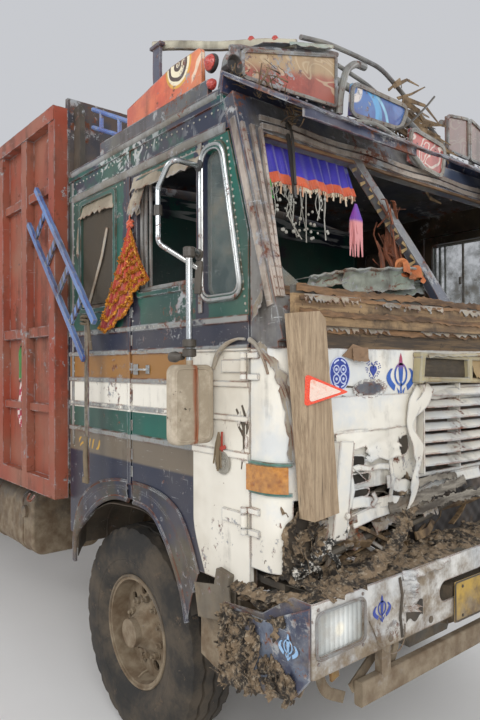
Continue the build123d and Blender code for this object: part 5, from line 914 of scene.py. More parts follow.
for hand, side in both:
    body, wall, out = "door_" + hand, side * cabHalf, (side, 0, 0)
    onDoor, onCab = Kit(), Kit()
    for level in beadLevels:
        for kit, edge in ((onDoor, doorEdge), (onCab, cabEdge)):
            studLine(kit, at(wall + side * 0.0065, edge[0] + 0.02, level),
                     at(wall + side * 0.0065, edge[1] - 0.01, level), 0.037, out, seed=level)
    for y, low, high, kit in ((-0.742, 2.06, 2.70, onDoor), (-0.205, 2.06, 2.70, onDoor),
                              (-1.005, 2.10, 2.16, onDoor), (-0.165, 2.06, 2.72, onCab),
                              (0.425, 1.42, 2.86, onCab), (-0.172, 1.42, 2.0, onCab)):
        studLine(kit, at(wall + side * 0.001, y, low), at(wall + side * 0.001, y, high), 0.045, out, seed=y)
    studLine(onDoor, at(wall + side * 0.001, -1.021, 2.05), at(wall + side * 0.001, -0.915, 2.70), 0.028,
             out, 0.0055, seed=9)
    for level, kit, edge in ((2.835, onCab, (-0.86, 0.43)), (2.722, onDoor, (-0.88, -0.21)),
                             (2.722, onCab, (-0.17, 0.43))):
        studLine(kit, at(wall + side * 0.001, edge[0], level), at(wall + side * 0.001, edge[1], level),
                 0.04, out, seed=level)
    onDoor.done("door_rivets_" + hand, looks["dot"], body)
    onCab.done("cab_rivets_" + hand, looks["dot"])
    trim = Kit()      # half-round mouldings along the head and the roof line, and upright covers on the corners
    for level, tall, deep in ((2.757, 0.020, 0.011), (2.893, 0.016, 0.014)):
        half = [(math.cos(t * math.pi / 6) * tall, math.sin(t * math.pi / 6) * deep) for t in range(7)]
        front = -0.905 if level < 2.8 else -0.86
        route = [at(wall + side * 0.0005, front + (0.44 - front) * k / 14, level)
                 + jitter((front * k, level, side), 2.0, 0.002) for k in range(15)]
        trim.sweep(route, [(b * side, a) for a, b in half])
    trim.slab(at(wall + side * 0.003, 0.436, 2.14), (0.007, 0.022, 1.42), chamfer=0.002)
    trim.done("cab_mouldings_" + hand, looks["strip"])
    polished = Kit()      # the quarter window's polished frame and the sliding window's channels
    polished.pipe(quarterLine(0.019, wall + side * 0.009), 0.0075, 8, closed=True, upright=(1, 0, 0))
    polished.pipe(quarterLine(0.004, wall + side * 0.010), 0.0045, 6, closed=True, upright=(1, 0, 0))
    polished.done("quarter_trim_" + hand, looks["bright"], body)
    slide = Kit()
    for y, wide in ((-0.305, 0.018), (-0.345, 0.012), (-0.268, 0.016)):
        slide.slab(at(wall - side * 0.012, y, 2.437), (0.012, wide, 0.50), chamfer=0.002)
    for z, tall in ((2.198, 0.018), (2.678, 0.016)):
        slide.slab(at(wall - side * 0.012, -0.49, z), (0.016, 0.46, tall), chamfer=0.002)
    slide.slab(at(wall + side * 0.004, -0.742, 2.40), (0.006, 0.026, 0.68), chamfer=0.002)
    slide.done("window_channels_" + hand, looks["strip"], body)


def crumpledFlap(kit, corner, across, down, curl, seed, cells=(16, 8), out=(-1, 0, 0), ragged=0.25):
    # a sheet torn loose along its lower edge, which curls outward
    across, down, out = Vector(across), Vector(down), Vector(out)
    limits = [max(0.2, 1 - ragged * abs(wobble(k * 0.37, seed, 0.3)) * 2) for k in range(cells[0] + 1)]

    def shape(u, v):
        hang = v * limits[min(cells[0], int(u * cells[0]))]
        ripple = wobble(u * 5 + seed, hang * 4, seed * 0.7) * 0.35 + wobble(u * 13, hang * 9, seed) * 0.15
        return Vector(corner) + across * u + down * hang + out * (curl * (hang ** 1.6 + ripple * (0.25 + hang)))
    kit.skin(shape, cells[0], cells[1], 0.002)


torn = Kit()      # crumpled sheet over the tops of the driver's side windows
crumpledFlap(torn, at(-1.206, -0.755, 2.715), (0, 0.53, 0.008), (0, 0.01, -0.075), 0.020, 3, (26, 8))
crumpledFlap(torn, at(-1.206, -0.34, 2.70), (0, 0.09, 0.01), (0, 0.06, -0.17), 0.026, 5, (8, 10))
torn.strap([at(-1.204, -0.30, 2.66), at(-1.211, -0.27, 2.60), at(-1.216, -0.285, 2.54)], 0.03, 0.002,
           upright=(1, 0, 0))
torn.done("torn_window_head", looks["crumple"], "door_right")
torn = Kit()
crumpledFlap(torn, at(-1.196, -0.035, 2.715), (0, 0.39, 0.005), (0, 0.0, -0.095), 0.018, 8, (22, 8))
crumpledFlap(torn, at(-1.198, 0.33, 2.66), (0, 0.045, 0.0), (0, 0.02, -0.24), 0.012, 12, (5, 12))
torn.strap([at(-1.199, 0.26, 2.16), at(-1.204, 0.10, 2.40), at(-1.202, 0.045, 2.54)], 0.022, 0.003,
           upright=(1, 0, 0))
torn.slab(at(-1.197, 0.335, 2.185), (0.006, 0.05, 0.05), (0, 0, 0.1))
torn.done("torn_board_head", looks["crumple"])

blind = Kit()      # the rear side window is boarded with coarse mesh and card
blind.skin(lambda u, v: at(-1.1935 + 0.004 * wobble(u * 4, v * 5, 2), -0.02 + 0.345 * u, 2.17 + 0.50 * v),
           10, 14, 0.002)
look = Finish("wireCloth", Metallic=0.2)
weave = look.wave("Y", 55.0, Distortion=0.6) * look.wave("Z", 55.0, Distortion=0.6)
blotch = look.cloud(7, 6, 0.7)
look.colour(look.mix(blotch.rise(0.38, 0.62), look.mix(weave, "3c352c", "7b6d59"), "4f473c"))
look.link("Roughness", 0.7 + weave * 0.2)
look.relief(weave + blotch * 0.4, 0.003, 0.8)
looks["wireCloth"] = look.material
blind.done("window_blind_right", looks["wireCloth"])

roll = Kit()      # lip of the nose sheet, torn off the door and rolled back
roll.pipe(rounded([at(-1.206, -0.828, 1.84), at(-1.212, -0.86, 1.895), at(-1.214, -0.92, 1.935),
                   at(-1.212, -0.985, 1.950), at(-1.206, -1.02, 1.947)], 0.03), 0.0095, 8,
          grow=lambda t: 0.55 + 0.5 * math.sin(math.pi * min(1, t + 0.25)))
roll.done("rolled_lip_door", looks["crumple"], "door_right")
roll = Kit()
roll.pipe(rounded([at(-1.206, -1.045, 1.945), at(-1.210, -1.08, 1.93), at(-1.206, -1.115, 1.885),
                   at(-1.198, -1.135, 1.82)], 0.03), 0.0095, 8, grow=lambda t: 1 - 0.45 * t)
crumpledFlap(roll, at(-1.203, -1.06, 2.06), (0, -0.05, 0.06), (0, -0.03, -0.06), 0.03, 4, (6, 6))
roll.done("rolled_lip_corner", looks["crumple"])

tear = Kit()      # ragged tear in the door's white sheet, its edges turned out
for points in ([(-0.962, 1.69), (-0.985, 1.655), (-1.004, 1.63), (-1.006, 1.56), (-0.99, 1.47)],
               [(-0.995, 1.705), (-1.018, 1.655), (-1.004, 1.625)],
               [(-0.975, 1.625), (-1.0, 1.60), (-1.004, 1.585)],
               [(-1.014, 1.66), (-1.027, 1.63), (-1.02, 1.60)]):
    route = rounded([at(-1.2008, y, z) for y, z in points], 0.02)
    tear.strap(route, 0.012, 0.0016, upright=(1, 0, 0),
               grow=lambda t: 0.35 + 0.9 * math.sin(math.pi * min(1, t * 0.8 + 0.15)))
tear.done("door_tear", looks["dark"], "door_right")
tear = Kit()
for y, z, tilt in ((-0.972, 1.668, 0.5), (-1.012, 1.60, -0.3), (-0.991, 1.54, 0.2), (-1.020, 1.675, 0.8)):
    crumpledFlap(tear, at(-1.201, y, z), (0, -0.016, 0.03 * tilt), (0, -0.006, -0.05), 0.010, y * 9, (4, 5))
tear.done("door_tear_lips", looks["white"], "door_right")

seam = Kit()      # wire that ties the door's rear edge, and its staples
seam.pipe(rounded([at(-1.204, -0.187 + 0.008 * math.sin(k * 2.1), 1.765 - 0.014 * k) for k in range(9)],
                  0.006), 0.0028, 6)
for z in (1.36, 1.44, 1.575, 1.715, 1.84, 1.97, 2.10):
    seam.slab(at(-1.2015, -0.1915, z), (0.003, 0.020, 0.05), chamfer=0.001)
seam.done("seam_wire", looks["strip"])

tassel = Kit()      # cloth tuft with a red tie under the mirror
chance = pick(21)
for k in range(26):
    turn, wide = chance.uniform(0, math.tau), chance.uniform(0.004, 0.020)
    foot = Vector((math.cos(turn) * wide, math.sin(turn) * wide * 0.8, 0))
    root = at(-1.214, -0.872, 1.598)
    tassel.strap([root, root + foot * 0.6 + Vector((0, 0, -0.045)),
                  root + foot * 1.1 + Vector((0, 0, -0.10 - chance.uniform(0, 0.05)))], 0.007, 0.0018,
                 upright=(0.3, 1, 0))
tassel.done("mirror_tassel", looks["webbing"], "door_right")
charm = Kit()      # round tin charm on the white sheet, with the rings pressed into it
charm.lathe([(0, 0.044), (0.004, 0.044), (0.006, 0.039), (0.003, 0.036), (0.003, 0.030), (0.005, 0.028),
             (0.003, 0.025), (0.003, 0.013), (0.006, 0.011), (0.007, 0.0001)], at(-1.2045, -0.885, 1.482),
            "x", 28, flip=-1)
for k in range(12):
    turn = k * math.tau / 12
    charm.rivet(at(-1.2085, -0.885 + 0.020 * math.cos(turn), 1.482 + 0.020 * math.sin(turn)), (-1, 0, 0), 0.0042)
charm.done("tin_charm", looks["dot"], "door_right")
tie = Kit()
tie.strap(rounded([at(-1.207, -0.905, 1.545), at(-1.216, -0.885, 1.535), at(-1.207, -0.862, 1.548)], 0.01),
          0.014, 0.003, upright=(1, 0, 0))
tie.strap([at(-1.209, -0.885, 1.60), at(-1.212, -0.888, 1.56), at(-1.209, -0.885, 1.525)], 0.010, 0.002,
          upright=(1, 0, 0))
tie.done("charm_tie", decal("redTie", "a83a2c"), "door_right")
band = Kit()      # rolled and rusting torn edge down the front corner
crumpledStrap(band, [at(-1.2035, -1.09, 1.935), at(-1.199, -1.140, 1.885), at(-1.182, -1.180, 1.81),
                     at(-1.161, -1.203, 1.70), at(-1.151, -1.212, 1.60), at(-1.150, -1.213, 1.52)], 0.034,
              6, 0.006, (-0.7, -0.7, 0))
band.pipe(smoothLine([at(-1.205, -1.11, 1.905), at(-1.193, -1.155, 1.85), at(-1.170, -1.198, 1.75),
                      at(-1.152, -1.216, 1.62), at(-1.149, -1.217, 1.515)], 4), 0.006, 6)
band.done("corner_edge", looks["crumple"])
turnRim = Kit()      # greenish rim round the indicator that wraps the corner
for z in (1.402, 1.506):
    turnRim.strap([at(-1.206, -1.050, z), at(-1.206, -1.11, z)]
                  + [at(-1.09 - 0.118 * math.cos(a), -1.11 - 0.118 * math.sin(a), z)
                     for a in (0.25, 0.5, 0.75, 1.0)], 0.010, 0.012, upright=(0, 0, 1))
turnRim.strap([at(-1.206, -1.046, 1.398), at(-1.207, -1.046, 1.51)], 0.010, 0.010, upright=(1, 0, 0))
turnRim.done("indicator_rim", looks["rimTeal"])
knob = Kit()      # clamps of the mirror pole and its swivel
for z in (1.90, 1.935):
    knob.lathe([(-0.016, 0.020), (-0.012, 0.027), (0.012, 0.027), (0.016, 0.020)], at(-1.312, -0.82, z), "z", 14)
knob.lathe([(0, 0.012), (0.035, 0.016), (0.05, 0.022), (0.075, 0.020), (0.08, 0.012)],
           at(-1.325, -0.795, 1.885), "y", 12)
knob.lathe([(-0.02, 0.017), (0.02, 0.017)], at(-1.335, -0.64, 2.47), "z", 10)
knob.lathe([(-0.02, 0.019), (-0.016, 0.023), (0.016, 0.023), (0.02, 0.019)], at(-1.312, -0.82, 2.28), "z", 12)
for y, z in ((-0.75, 2.645), (-0.75, 2.235), (-0.75, 2.29)):
    knob.lathe([(0, 0.024), (-0.006, 0.024), (-0.008, 0.02)], at(-1.211, y, z), "x", 12)
knob.slab(at(-1.2175, -0.75, 2.20), (0.012, 0.040, 0.13), (0.1, 0, 0))
knob.done("mirror_clamps", looks["plastic"], "door_right")
seamRidge = Kit()      # pressed seam, rim and drain slots on the mirror's back
seamRidge.pipe(rounded([at(-1.300, -0.8465, 1.850), at(-1.292, -0.8475, 1.80), at(-1.293, -0.8475, 1.62),
                        at(-1.300, -0.8465, 1.56)], 0.02), 0.004, 6)
seamRidge.pipe(rounded([at(-1.386, -0.843, 1.84), at(-1.235, -0.843, 1.84), at(-1.235, -0.843, 1.57),
                        at(-1.386, -0.843, 1.57)], 0.03, 5, closed=True), 0.0045, 6, closed=True,
               upright=(0, 1, 0))
seamRidge.done("mirror_ridge", looks["mirror"], "door_right")
print("cab side done")


# Front: emblems, reflector, dents, torn grille sheets and what hangs below them
noseY, bumperFace = -1.2212, -1.4008


def onNose(x, z, out=0.0):
    return at(x, noseY - out, z)


def flatOn(kit, outline, out, thick=0.0012):      # a painted shape that lies on the nose sheet
    kit.plate(outline, thick, lambda a, b, depth: onNose(a, b, out + depth))


# an arc of even or tapered width
def ringOutline(kit, centre, outer, inner, start=0.0, end=1.0, out=0.0, squeeze=1.0, steps=28):
    for k in range(steps):
        corners = []
        for t in (k / steps, (k + 1) / steps):
            turn = math.tau * (start + (end - start) * t)
            inside = inner(t) if callable(inner) else inner
            outside = outer(t) if callable(outer) else outer
            corners.append([(centre[0] + r * math.cos(turn) * squeeze, centre[1] + r * math.sin(turn))
                            for r in (outside, inside)])
        flatOn(kit, [corners[0][0], corners[1][0], corners[1][1], corners[0][1]], out)


looks["emblemBlue"] = decal("emblemBlue", "2a3f96")
looks["emblemPale"] = decal("emblemPale", "c9d2ea")
looks["bladeBlue"] = decal("bladeBlue", "2c5db0", "a8405c", (1.82, 1.88))
looks["paleBlue"] = decal("paleBlue", "8fb4d8")

rosette = Kit()      # round blue rosette with pale scrolls
ringOutline(rosette, (-0.921, 1.820), 0.060, 0.0, squeeze=0.92)
rosette.done("rosette_ground", looks["emblemBlue"])
rosette = Kit()
ringOutline(rosette, (-0.921, 1.820), 0.0625, 0.0585, out=0.0013, squeeze=0.92, steps=36)
for x, z, r in ((-0.940, 1.835, 0.017), (-0.902, 1.835, 0.017), (-0.940, 1.800, 0.019), (-0.902, 1.800, 0.019)):
    ringOutline(rosette, (x, z), r, r - 0.0042, out=0.0013, steps=18)
    ringOutline(rosette, (x, z), 0.006, 0.0, out=0.0013, steps=10)
for turn in (0.18, 0.32, 0.68, 0.82):
    ringOutline(rosette, (-0.921, 1.820), 0.053, lambda t: 0.047, turn - 0.05, turn + 0.05, 0.0013, 0.92, 8)
rosette.done("rosette_scroll", looks["emblemPale"])

heart = Kit()      # small heart in an outline of dots
line = [(math.sin(t) ** 3, (13 * math.cos(t) - 5 * math.cos(2 * t) - 2 * math.cos(3 * t)
                            - math.cos(4 * t)) / 16) for t in (k * math.tau / 40 for k in range(40))]
flatOn(heart, [(-0.725 + a * 0.021, 1.829 + b * 0.024) for a, b in line], 0.0)
for grow, count in ((0.034, 26), (0.044, 30)):
    for k in range(count):
        a, b = line[int(k * 40 / count)]
        spot = (-0.725 + a * grow, 1.829 + b * grow * 1.05)
        flatOn(heart, [(spot[0] + 0.0026 * math.cos(t * 1.047), spot[1] + 0.0026 * math.sin(t * 1.047))
                       for t in range(6)], 0.0)
heart.done("dotted_heart", looks["emblemBlue"])


def swordEmblem(kit, centre, size, spot):      # two curved blades round a ring and an upright blade
    cx, cz = centre

    def fill(points):
        kit.plate([(cx + a * size, cz + b * size) for a, b in points], 0.0012, spot)
    for side in (-1, 1):
        outer = [(side * (0.08 + 0.92 * math.sin(t)), 0.62 - 1.32 * (t / 2.7))
                 for t in (0.75 + k * 1.95 / 14 for k in range(15))]
        inner = [(side * (0.02 + 0.72 * math.sin(t)), 0.60 - 1.10 * (t / 2.7))
                 for t in (0.85 + k * 1.75 / 14 for k in range(15))]
        for k in range(14):
            fill([outer[k], outer[k + 1], inner[k + 1], inner[k]])
        fill([(side * 0.10, -0.72), (side * 0.30, -0.56), (side * 0.16, -0.86)])
    for k in range(24):
        a, b = k * math.tau / 24, (k + 1) * math.tau / 24
        fill([(0.46 * math.cos(a), 0.5 * math.sin(a)), (0.46 * math.cos(b), 0.5 * math.sin(b)),
              (0.36 * math.cos(b), 0.4 * math.sin(b)), (0.36 * math.cos(a), 0.4 * math.sin(a))])
    fill([(-0.10, -0.30), (-0.16, 0.25), (-0.09, 0.70), (0, 0.92), (0.09, 0.70), (0.16, 0.25), (0.10, -0.30)])
    fill([(-0.06, -0.30), (0.06, -0.30), (0.05, -0.78), (0.10, -0.88), (0, -1.0), (-0.10, -0.88), (-0.05, -0.78)])


emblem = Kit()
swordEmblem(emblem, (-0.548, 1.812), 0.094, onNose)
emblem.done("sword_emblem", looks["bladeBlue"])
emblem = Kit()
for x in (-0.914, 0.914):
    swordEmblem(emblem, (x, 1.012), 0.050, lambda a, b, depth: at(a, bumperFace - depth, b))
emblem.done("bumper_emblem", looks["emblemBlue"])

reflector = {"corners": ((-1.198, 1.822), (-1.204, 1.716), (-0.985, 1.757)), "radius": 0.016, "out": 0.004}
postFace = -1.3165


def triangleLine(shrink):
    middle = Vector((sum(a for a, b in reflector["corners"]) / 3, 0, sum(b for a, b in reflector["corners"]) / 3))
    corners = [middle + (Vector((a, 0, b)) - middle) * shrink for a, b in reflector["corners"]]
    return [(p.x, p.z) for p in rounded(corners, reflector["radius"], 4, closed=True)]


sign = Kit()      # reflecting triangle on the post: red rim, and a core with a painted reflection
sign.plate(triangleLine(1.0), 0.004, lambda a, b, depth: at(a, postFace - depth, b))
look = Finish("reflectorRed", Roughness=0.25, Coat_Weight=0.5)
facet = look.cells(150)
look.colour(look.mix(facet.rise(0, 0.5), "d02a1c", "f0512f"))
look.relief(facet, 0.002)
sign.done("reflector_rim", look.material)
sign = Kit()
sign.plate(triangleLine(0.74), 0.0015, lambda a, b, depth: at(a, postFace - 0.0042 - depth, b))
look = Finish("reflectorCore", Roughness=0.25, Coat_Weight=0.5)
# the core's near-white and pale pink is a painted reflection of light in the reflector
paintedGlare = look.cloud(16, 6, 0.75)
core = look.mix(paintedGlare.rise(0.34, 0.48), "e9a08c", "f3e9de")
look.colour(look.mix(look.cells(160).rise(0, 0.25) * 0.4, core, "f0b090"))
look.relief(look.cells(150), 0.002)
sign.done("reflector_core", look.material)

ventDeep = 0.042
vent = Kit()      # dented tin case with a wire-cloth window, and its torn right end
for z in (1.881, 1.780):
    vent.slab(onNose(-0.215, z + 0.004, ventDeep / 2), (0.50, ventDeep, 0.022), (0.02, 0.03, 0), 0.004)
for x, wide, tilt in ((-0.452, 0.030, 0.14), (-0.085, 0.034, -0.05), (0.020, 0.026, 0.2)):
    vent.slab(onNose(x, 1.832, ventDeep / 2), (wide, ventDeep, 0.115), (0, tilt, 0), 0.004)
crumpledFlap(vent, onNose(-0.42, 1.893, 0.045), (0.44, 0, 0.012), (0, 0.0, -0.016), 0.006, 3, (18, 2),
             out=(0, -1, 0), ragged=0.5)
vent.done("vent_case", looks["caseTin"])
vent = Kit()
vent.skin(lambda u, v: onNose(-0.44 + 0.35 * u, 1.788 + 0.086 * v, 0.020 + 0.004 * wobble(u * 5, v * 3, 1)),
          14, 5, 0.002)
vent.done("vent_mesh", looks["wireCloth"])
vent = Kit()
crumpledFlap(vent, onNose(-0.07, 1.876, 0.030), (0.10, 0, -0.01), (0.03, 0, -0.095), 0.020, 6, (8, 8),
             out=(0, -1, 0))
vent.done("vent_card", looks["card"])

dent = Kit()      # burst in the sheet: torn rim and a grey crumpled hollow
for k in range(15):
    turn = k * math.tau / 15
    edge = onNose(-0.752 + 0.088 * math.cos(turn), 1.761 + 0.026 * math.sin(turn))
    crumpledFlap(dent, edge, (0.024 * -math.sin(turn), 0, 0.011 * math.cos(turn)),
                 (0.016 * math.cos(turn), 0, 0.011 * math.sin(turn)), 0.009, k, (3, 3), out=(0, -1, 0))
dent.done("burst_lips", looks["white"])
dent = Kit()
dent.skin(lambda u, v: onNose(-0.836 + 0.168 * u, 1.737 + 0.048 * v,
                              0.0015 + 0.006 * abs(wobble(u * 6, v * 4, 4))), 18, 8, 0.0015, keep=lambda u,
          v: ((u - 0.5) / 0.5) ** 2 + ((v - 0.5) / 0.5) ** 2 < 0.95)
dent.done("burst_hollow", looks["greyNavy"])
crack = Kit()
for points in ([(-0.885, 1.771), (-0.845, 1.768), (-0.83, 1.76)],
               [(-0.79, 1.735), (-0.745, 1.722), (-0.722, 1.70)],
               [(-0.91, 1.735), (-0.86, 1.728), (-0.80, 1.735)]):
    crack.strap([onNose(x, z, 0.001) for x, z in points], 0.007, 0.0015, upright=(0, 1, 0),
                grow=lambda t: 1.1 - 0.9 * t)
crack.done("nose_cracks", looks["dark"])

scrap = Kit()      # brown card wedged over the nose
crumpledFlap(scrap, onNose(-0.91, 1.885, 0.004), (0.06, 0, 0.045), (0.075, 0, -0.022), 0.022, 2, (7, 7),
             out=(0, -1, 0))
crumpledFlap(scrap, onNose(-0.86, 1.915, 0.012), (0.09, 0, 0.003), (-0.01, 0, -0.055), 0.015, 11, (7, 6),
             out=(0, -1, 0))
scrap.done("wedged_card", looks["brownCard"])


def buckled(kit, x, z, out, seed, wave, drop, cells, keep=None):      # a buckled sheet with a ragged lower edge
    def shape(u, v):
        low = z[0] + drop * abs(wobble(u * 4.5, seed, 1))
        swell = wobble(u * 2.3 + seed, v * 1.7, seed) + 0.45 * wobble(u * 7, v * 5, seed + 3)
        return onNose(x[0] + (x[1] - x[0]) * u, low + (z[1] - low) * v, out + wave * (0.6 + swell) * (1 - 0.8 * v))
    kit.skin(shape, *cells, 0.002, keep)


def unbroken(u, v):      # all but the long slot broken out of the lower sheet, and the tear beside the folded strip
    ragged = 0.10 * wobble(u * 14, v * 9, 6)
    return not (u < 0.39 + ragged and v < 0.42 + ragged) and not (u > 0.86 - 0.5 * ragged and v < 0.62 + ragged)


skins = Kit()      # the nose's buckled sheets
buckled(skins, (-0.985, -0.497), (1.600, 1.735), 0.003, 2, 0.013, 0.012, (34, 10))
buckled(skins, (-0.955, -0.520), (1.478, 1.607), 0.004, 5, 0.020, 0.030, (68, 24), unbroken)
buckled(skins, (-0.470, 0.30), (1.700, 1.760), 0.003, 7, 0.010, 0.012, (44, 5))
skins.done("buckled_nose", looks["white"])
strip = Kit()      # folded upright strip beside the grille
route = rounded([onNose(-0.43, 1.752, 0.010), onNose(-0.50, 1.690, 0.030), onNose(-0.535, 1.60, 0.028),
                 onNose(-0.492, 1.52, 0.045), onNose(-0.470, 1.455, 0.030), onNose(-0.528, 1.395, 0.050),
                 onNose(-0.500, 1.34, 0.030), onNose(-0.56, 1.25, 0.035)], 0.03, 3)
strip.strap(route, 0.060, 0.003, upright=(0, -1, 0.25), grow=lambda t: 0.85 + 0.3 * math.sin(t * 17))
route = rounded([onNose(-0.36, 1.762, 0.012), onNose(-0.44, 1.700, 0.040), onNose(-0.505, 1.655, 0.020)], 0.03, 3)
strip.strap(route, 0.050, 0.003, upright=(0, -1, 0.4))
strip.done("folded_strip", looks["white"])
upright = Kit()      # white channel beside the timber post, with its bolt
upright.slab(onNose(-0.935, 1.395, 0.026), (0.078, 0.006, 0.36), (0.03, 0.10, 0.06), 0.002)
for x, z in ((-0.972, 1.400), (-0.893, 1.390)):
    upright.slab(onNose(x, z, 0.012), (0.006, 0.030, 0.35), (0.03, 0.10, 0.06), 0.002)
upright.rivet(onNose(-0.915, 1.300, 0.030), (0, -1, 0), 0.013)
crumpledFlap(upright, onNose(-0.90, 1.50, 0.012), (0.07, 0, -0.05), (0.05, 0, -0.05), 0.015, 4, (6, 5),
             out=(0, -1, 0))
upright.done("nose_channel", looks["white"])
grilleBars = Kit()      # bent white bars of the lower grille, left of the folded strip
for x0, x1, z0, z1, wide in ((-0.885, -0.625, 1.466, 1.450, 0.022), (-0.875, -0.545, 1.340, 1.300, 0.042),
                             (-0.66, -0.50, 1.395, 1.345, 0.05)):
    route = [onNose(x0 + (x1 - x0) * t / 6, z0 + (z1 - z0) * t / 6 + 0.006 * math.sin(t * 2 + x0),
                    0.012 + 0.008 * math.sin(t * 1.7)) for t in range(7)]
    grilleBars.strap(route, wide, 0.003, upright=(0, -1, 0.1))
for x, low, high in ((-0.640, 1.30, 1.50), (-0.880, 1.32, 1.46), (-0.745, 1.31, 1.36)):
    grilleBars.strap([onNose(x, high, 0.010), onNose(x + 0.008, (low + high) / 2, 0.02),
                      onNose(x - 0.006, low, 0.012)], 0.022, 0.003, upright=(0, -1, 0))
grilleBars.done("bent_grille_bars", looks["white"])
print("front done")


# Below the cab: debris of the crash, the muddy bumper end, lamp rims, plate and the bumper's small parts
look = Finish("mudCrust", Roughness=0.95)      # dried mud, whose pale tan patches are a painted highlight and whose near-black between them is painted shade
tint = look.mix(look.cloud(22, 6, 0.7).rise(0.42, 0.58), "2b251f", "7f6c55")
look.colour(look.mix(look.cloud(60, 5, 0.7).rise(0.52, 0.66) * 0.7, tint, "a39580"))
look.relief(look.cloud(90, 6, 0.7), 0.004)
looks["mudCrust"] = look.material
looks["splinter"] = timberLook("splinterWood", "8f7655", "4f3e2d", (9, 9, 3), 0.5)


# bent strips and splinters
def rubble(kit, chance, low, high, count, length, thick, flat=0.5, sag=0.25, lean=(1, 0.25, 0.35)):
    for k in range(count):
        root = Vector([chance.uniform(a, b) for a, b in zip(low, high)])
        run = Vector([chance.gauss(0, part) for part in lean]).normalized() * chance.uniform(*length)
        bend = Vector([chance.gauss(0, 1) for i in range(3)]).normalized() * run.length * sag * chance.random()
        route = [root - run / 2, root - run * 0.18 + bend * 0.8, root + run * 0.2 + bend, root + run / 2]
        inside = [Vector([min(max(p[i], low[i]), high[i]) for i in range(3)]) for p in route]
        wide = chance.uniform(*thick)
        kit.strap(rounded(inside, 0.05, 2), wide, wide * (flat if chance.random() < 0.6 else 0.2),
                  upright=(chance.gauss(0, 1), chance.gauss(0, 1), 1), grow=lambda t,
                  a=chance.uniform(0.3, 1.0), b=chance.uniform(0.2, 1.0): a + (b - a) * t)


def clods(kit, chance, spots, size):      # lumps of mud with a broken skin
    for spot in spots:
        wide = chance.uniform(*size)
        stretch = Vector((chance.uniform(0.7, 1.4), chance.uniform(0.7, 1.4), chance.uniform(0.35, 0.8)))
        points, faces, rings, sides = [], [], 4, 8
        for i in range(rings + 1):
            for j in range(sides):
                a, b = math.pi * (i + 0.001) / (rings + 0.002), math.tau * j / sides
                out = Vector((math.sin(a) * math.cos(b), math.sin(a) * math.sin(b), math.cos(a)))
                bump = 1 + 0.45 * noise.noise(out * 1.8 + Vector(spot) * 9)
                points.append(Vector(spot) + Vector([out[n] * stretch[n] for n in range(3)]) * wide * bump)
        for i in range(rings):
            for j in range(sides):
                m = (j + 1) % sides
                faces.append((i * sides + j, i * sides + m, (i + 1) * sides + m, (i + 1) * sides + j))
        faces += [tuple(range(sides)), tuple(reversed(range(rings * sides, (rings + 1) * sides)))]
        kit.add(points, faces)


# where the wreckage lies: low corner, high corner, count, lengths, widths
heaps = {"splintered_timber": ("splinter", (-1.13, -1.215, 1.115), (-0.30, -1.03, 1.30), 34, (0.16, 0.55),
                               (0.010, 0.036), 0.6, 0.2),
         "bent_steel": ("scrapSteel", (-1.13, -1.212, 1.11), (-0.36, -1.00, 1.36), 22, (0.2, 0.62),
                        (0.008, 0.034), 0.4, 0.5),
         "white_scraps": ("white", (-1.10, -1.215, 1.12), (-0.42, -1.06, 1.27), 9, (0.14, 0.40),
                          (0.020, 0.05), 0.15, 0.4),
         "straw": ("splinter", (-1.13, -1.205, 1.108), (-0.20, -1.02, 1.22), 60, (0.06, 0.24),
                   (0.003, 0.007), 0.5, 0.5), "dark_scraps": ("dark", (-1.14, -1.20, 1.13),
        (-0.25, -0.98, 1.36), 20, (0.2, 0.5), (0.02, 0.06), 0.4, 0.4),
         "nose_timbers": ("splinter", (-0.55, -1.20, 1.13), (0.55, -1.08, 1.22), 18, (0.3, 0.7),
                          (0.012, 0.04), 0.5, 0.15)}
for name, (finish, low, high, count, length, thick, flat, sag) in heaps.items():
    kit = Kit()
    rubble(kit, pick(name), at(*low), at(*high), count, length, thick, flat, sag)
    kit.done(name, looks[finish])
chance = pick("mud")
kit = Kit()      # mud that sits on the bumper's top and in the wreckage
kit.skin(lambda u, v: at(-1.19 + 2.33 * u, -1.392 + 0.30 * v,
                         1.101 + 0.030 * max(0, 0.3
        + wobble(u * 26, v * 4, 5) + 0.6 * wobble(u * 70, v * 11, 2) + 0.3 * wobble(u * 150, v * 23, 9))
                         * min(1, 5 * v * (1 - v) + 0.1) * (1.1 - 0.5 * u)), 260, 34, 0.003)
clods(kit, chance, [at(chance.uniform(-1.15, 0.9), chance.uniform(-1.34, -1.10),
                       1.116 + chance.uniform(0, 0.012)) for k in range(46)], (0.005, 0.014))
kit.done("bumper_top_mud", looks["mudCrust"])
shelf = Kit()      # folded tray of torn sheet that carries the wreckage, behind the bumper's top edge
shelf.skin(lambda u, v: at(-1.16 + 2.3 * u, -1.385 + 0.30 * v,
                           1.100 + 0.012 * wobble(u * 16, v * 4, 3) - 0.02 * v), 60, 8, 0.003)
shelf.done("torn_shelf", looks["scrapSteel"])
bentBars = Kit()      # rods and angle that stick out of the broken corner
for points, radius in ((((-1.06, -1.17, 1.13), (-1.04, -1.19, 1.24), (-0.98, -1.19, 1.245),
                         (-0.965, -1.17, 1.13)), 0.009),
                       (((-0.90, -1.16, 1.12), (-0.88, -1.18, 1.26), (-0.92, -1.17, 1.31)), 0.010),
                       (((-1.13, -1.10, 1.20), (-0.95, -1.17, 1.25), (-0.70, -1.19, 1.335),
                         (-0.58, -1.17, 1.36)), 0.014),
                       (((-0.62, -1.15, 1.14), (-0.36, -1.20, 1.20), (0.02, -1.205, 1.275)), 0.013),
                       (((-1.10, -1.21, 1.15), (-0.72, -1.20, 1.19), (-0.46, -1.19, 1.31)), 0.017)):
    bentBars.pipe(rounded([at(*p) for p in points], 0.05), radius, 8)
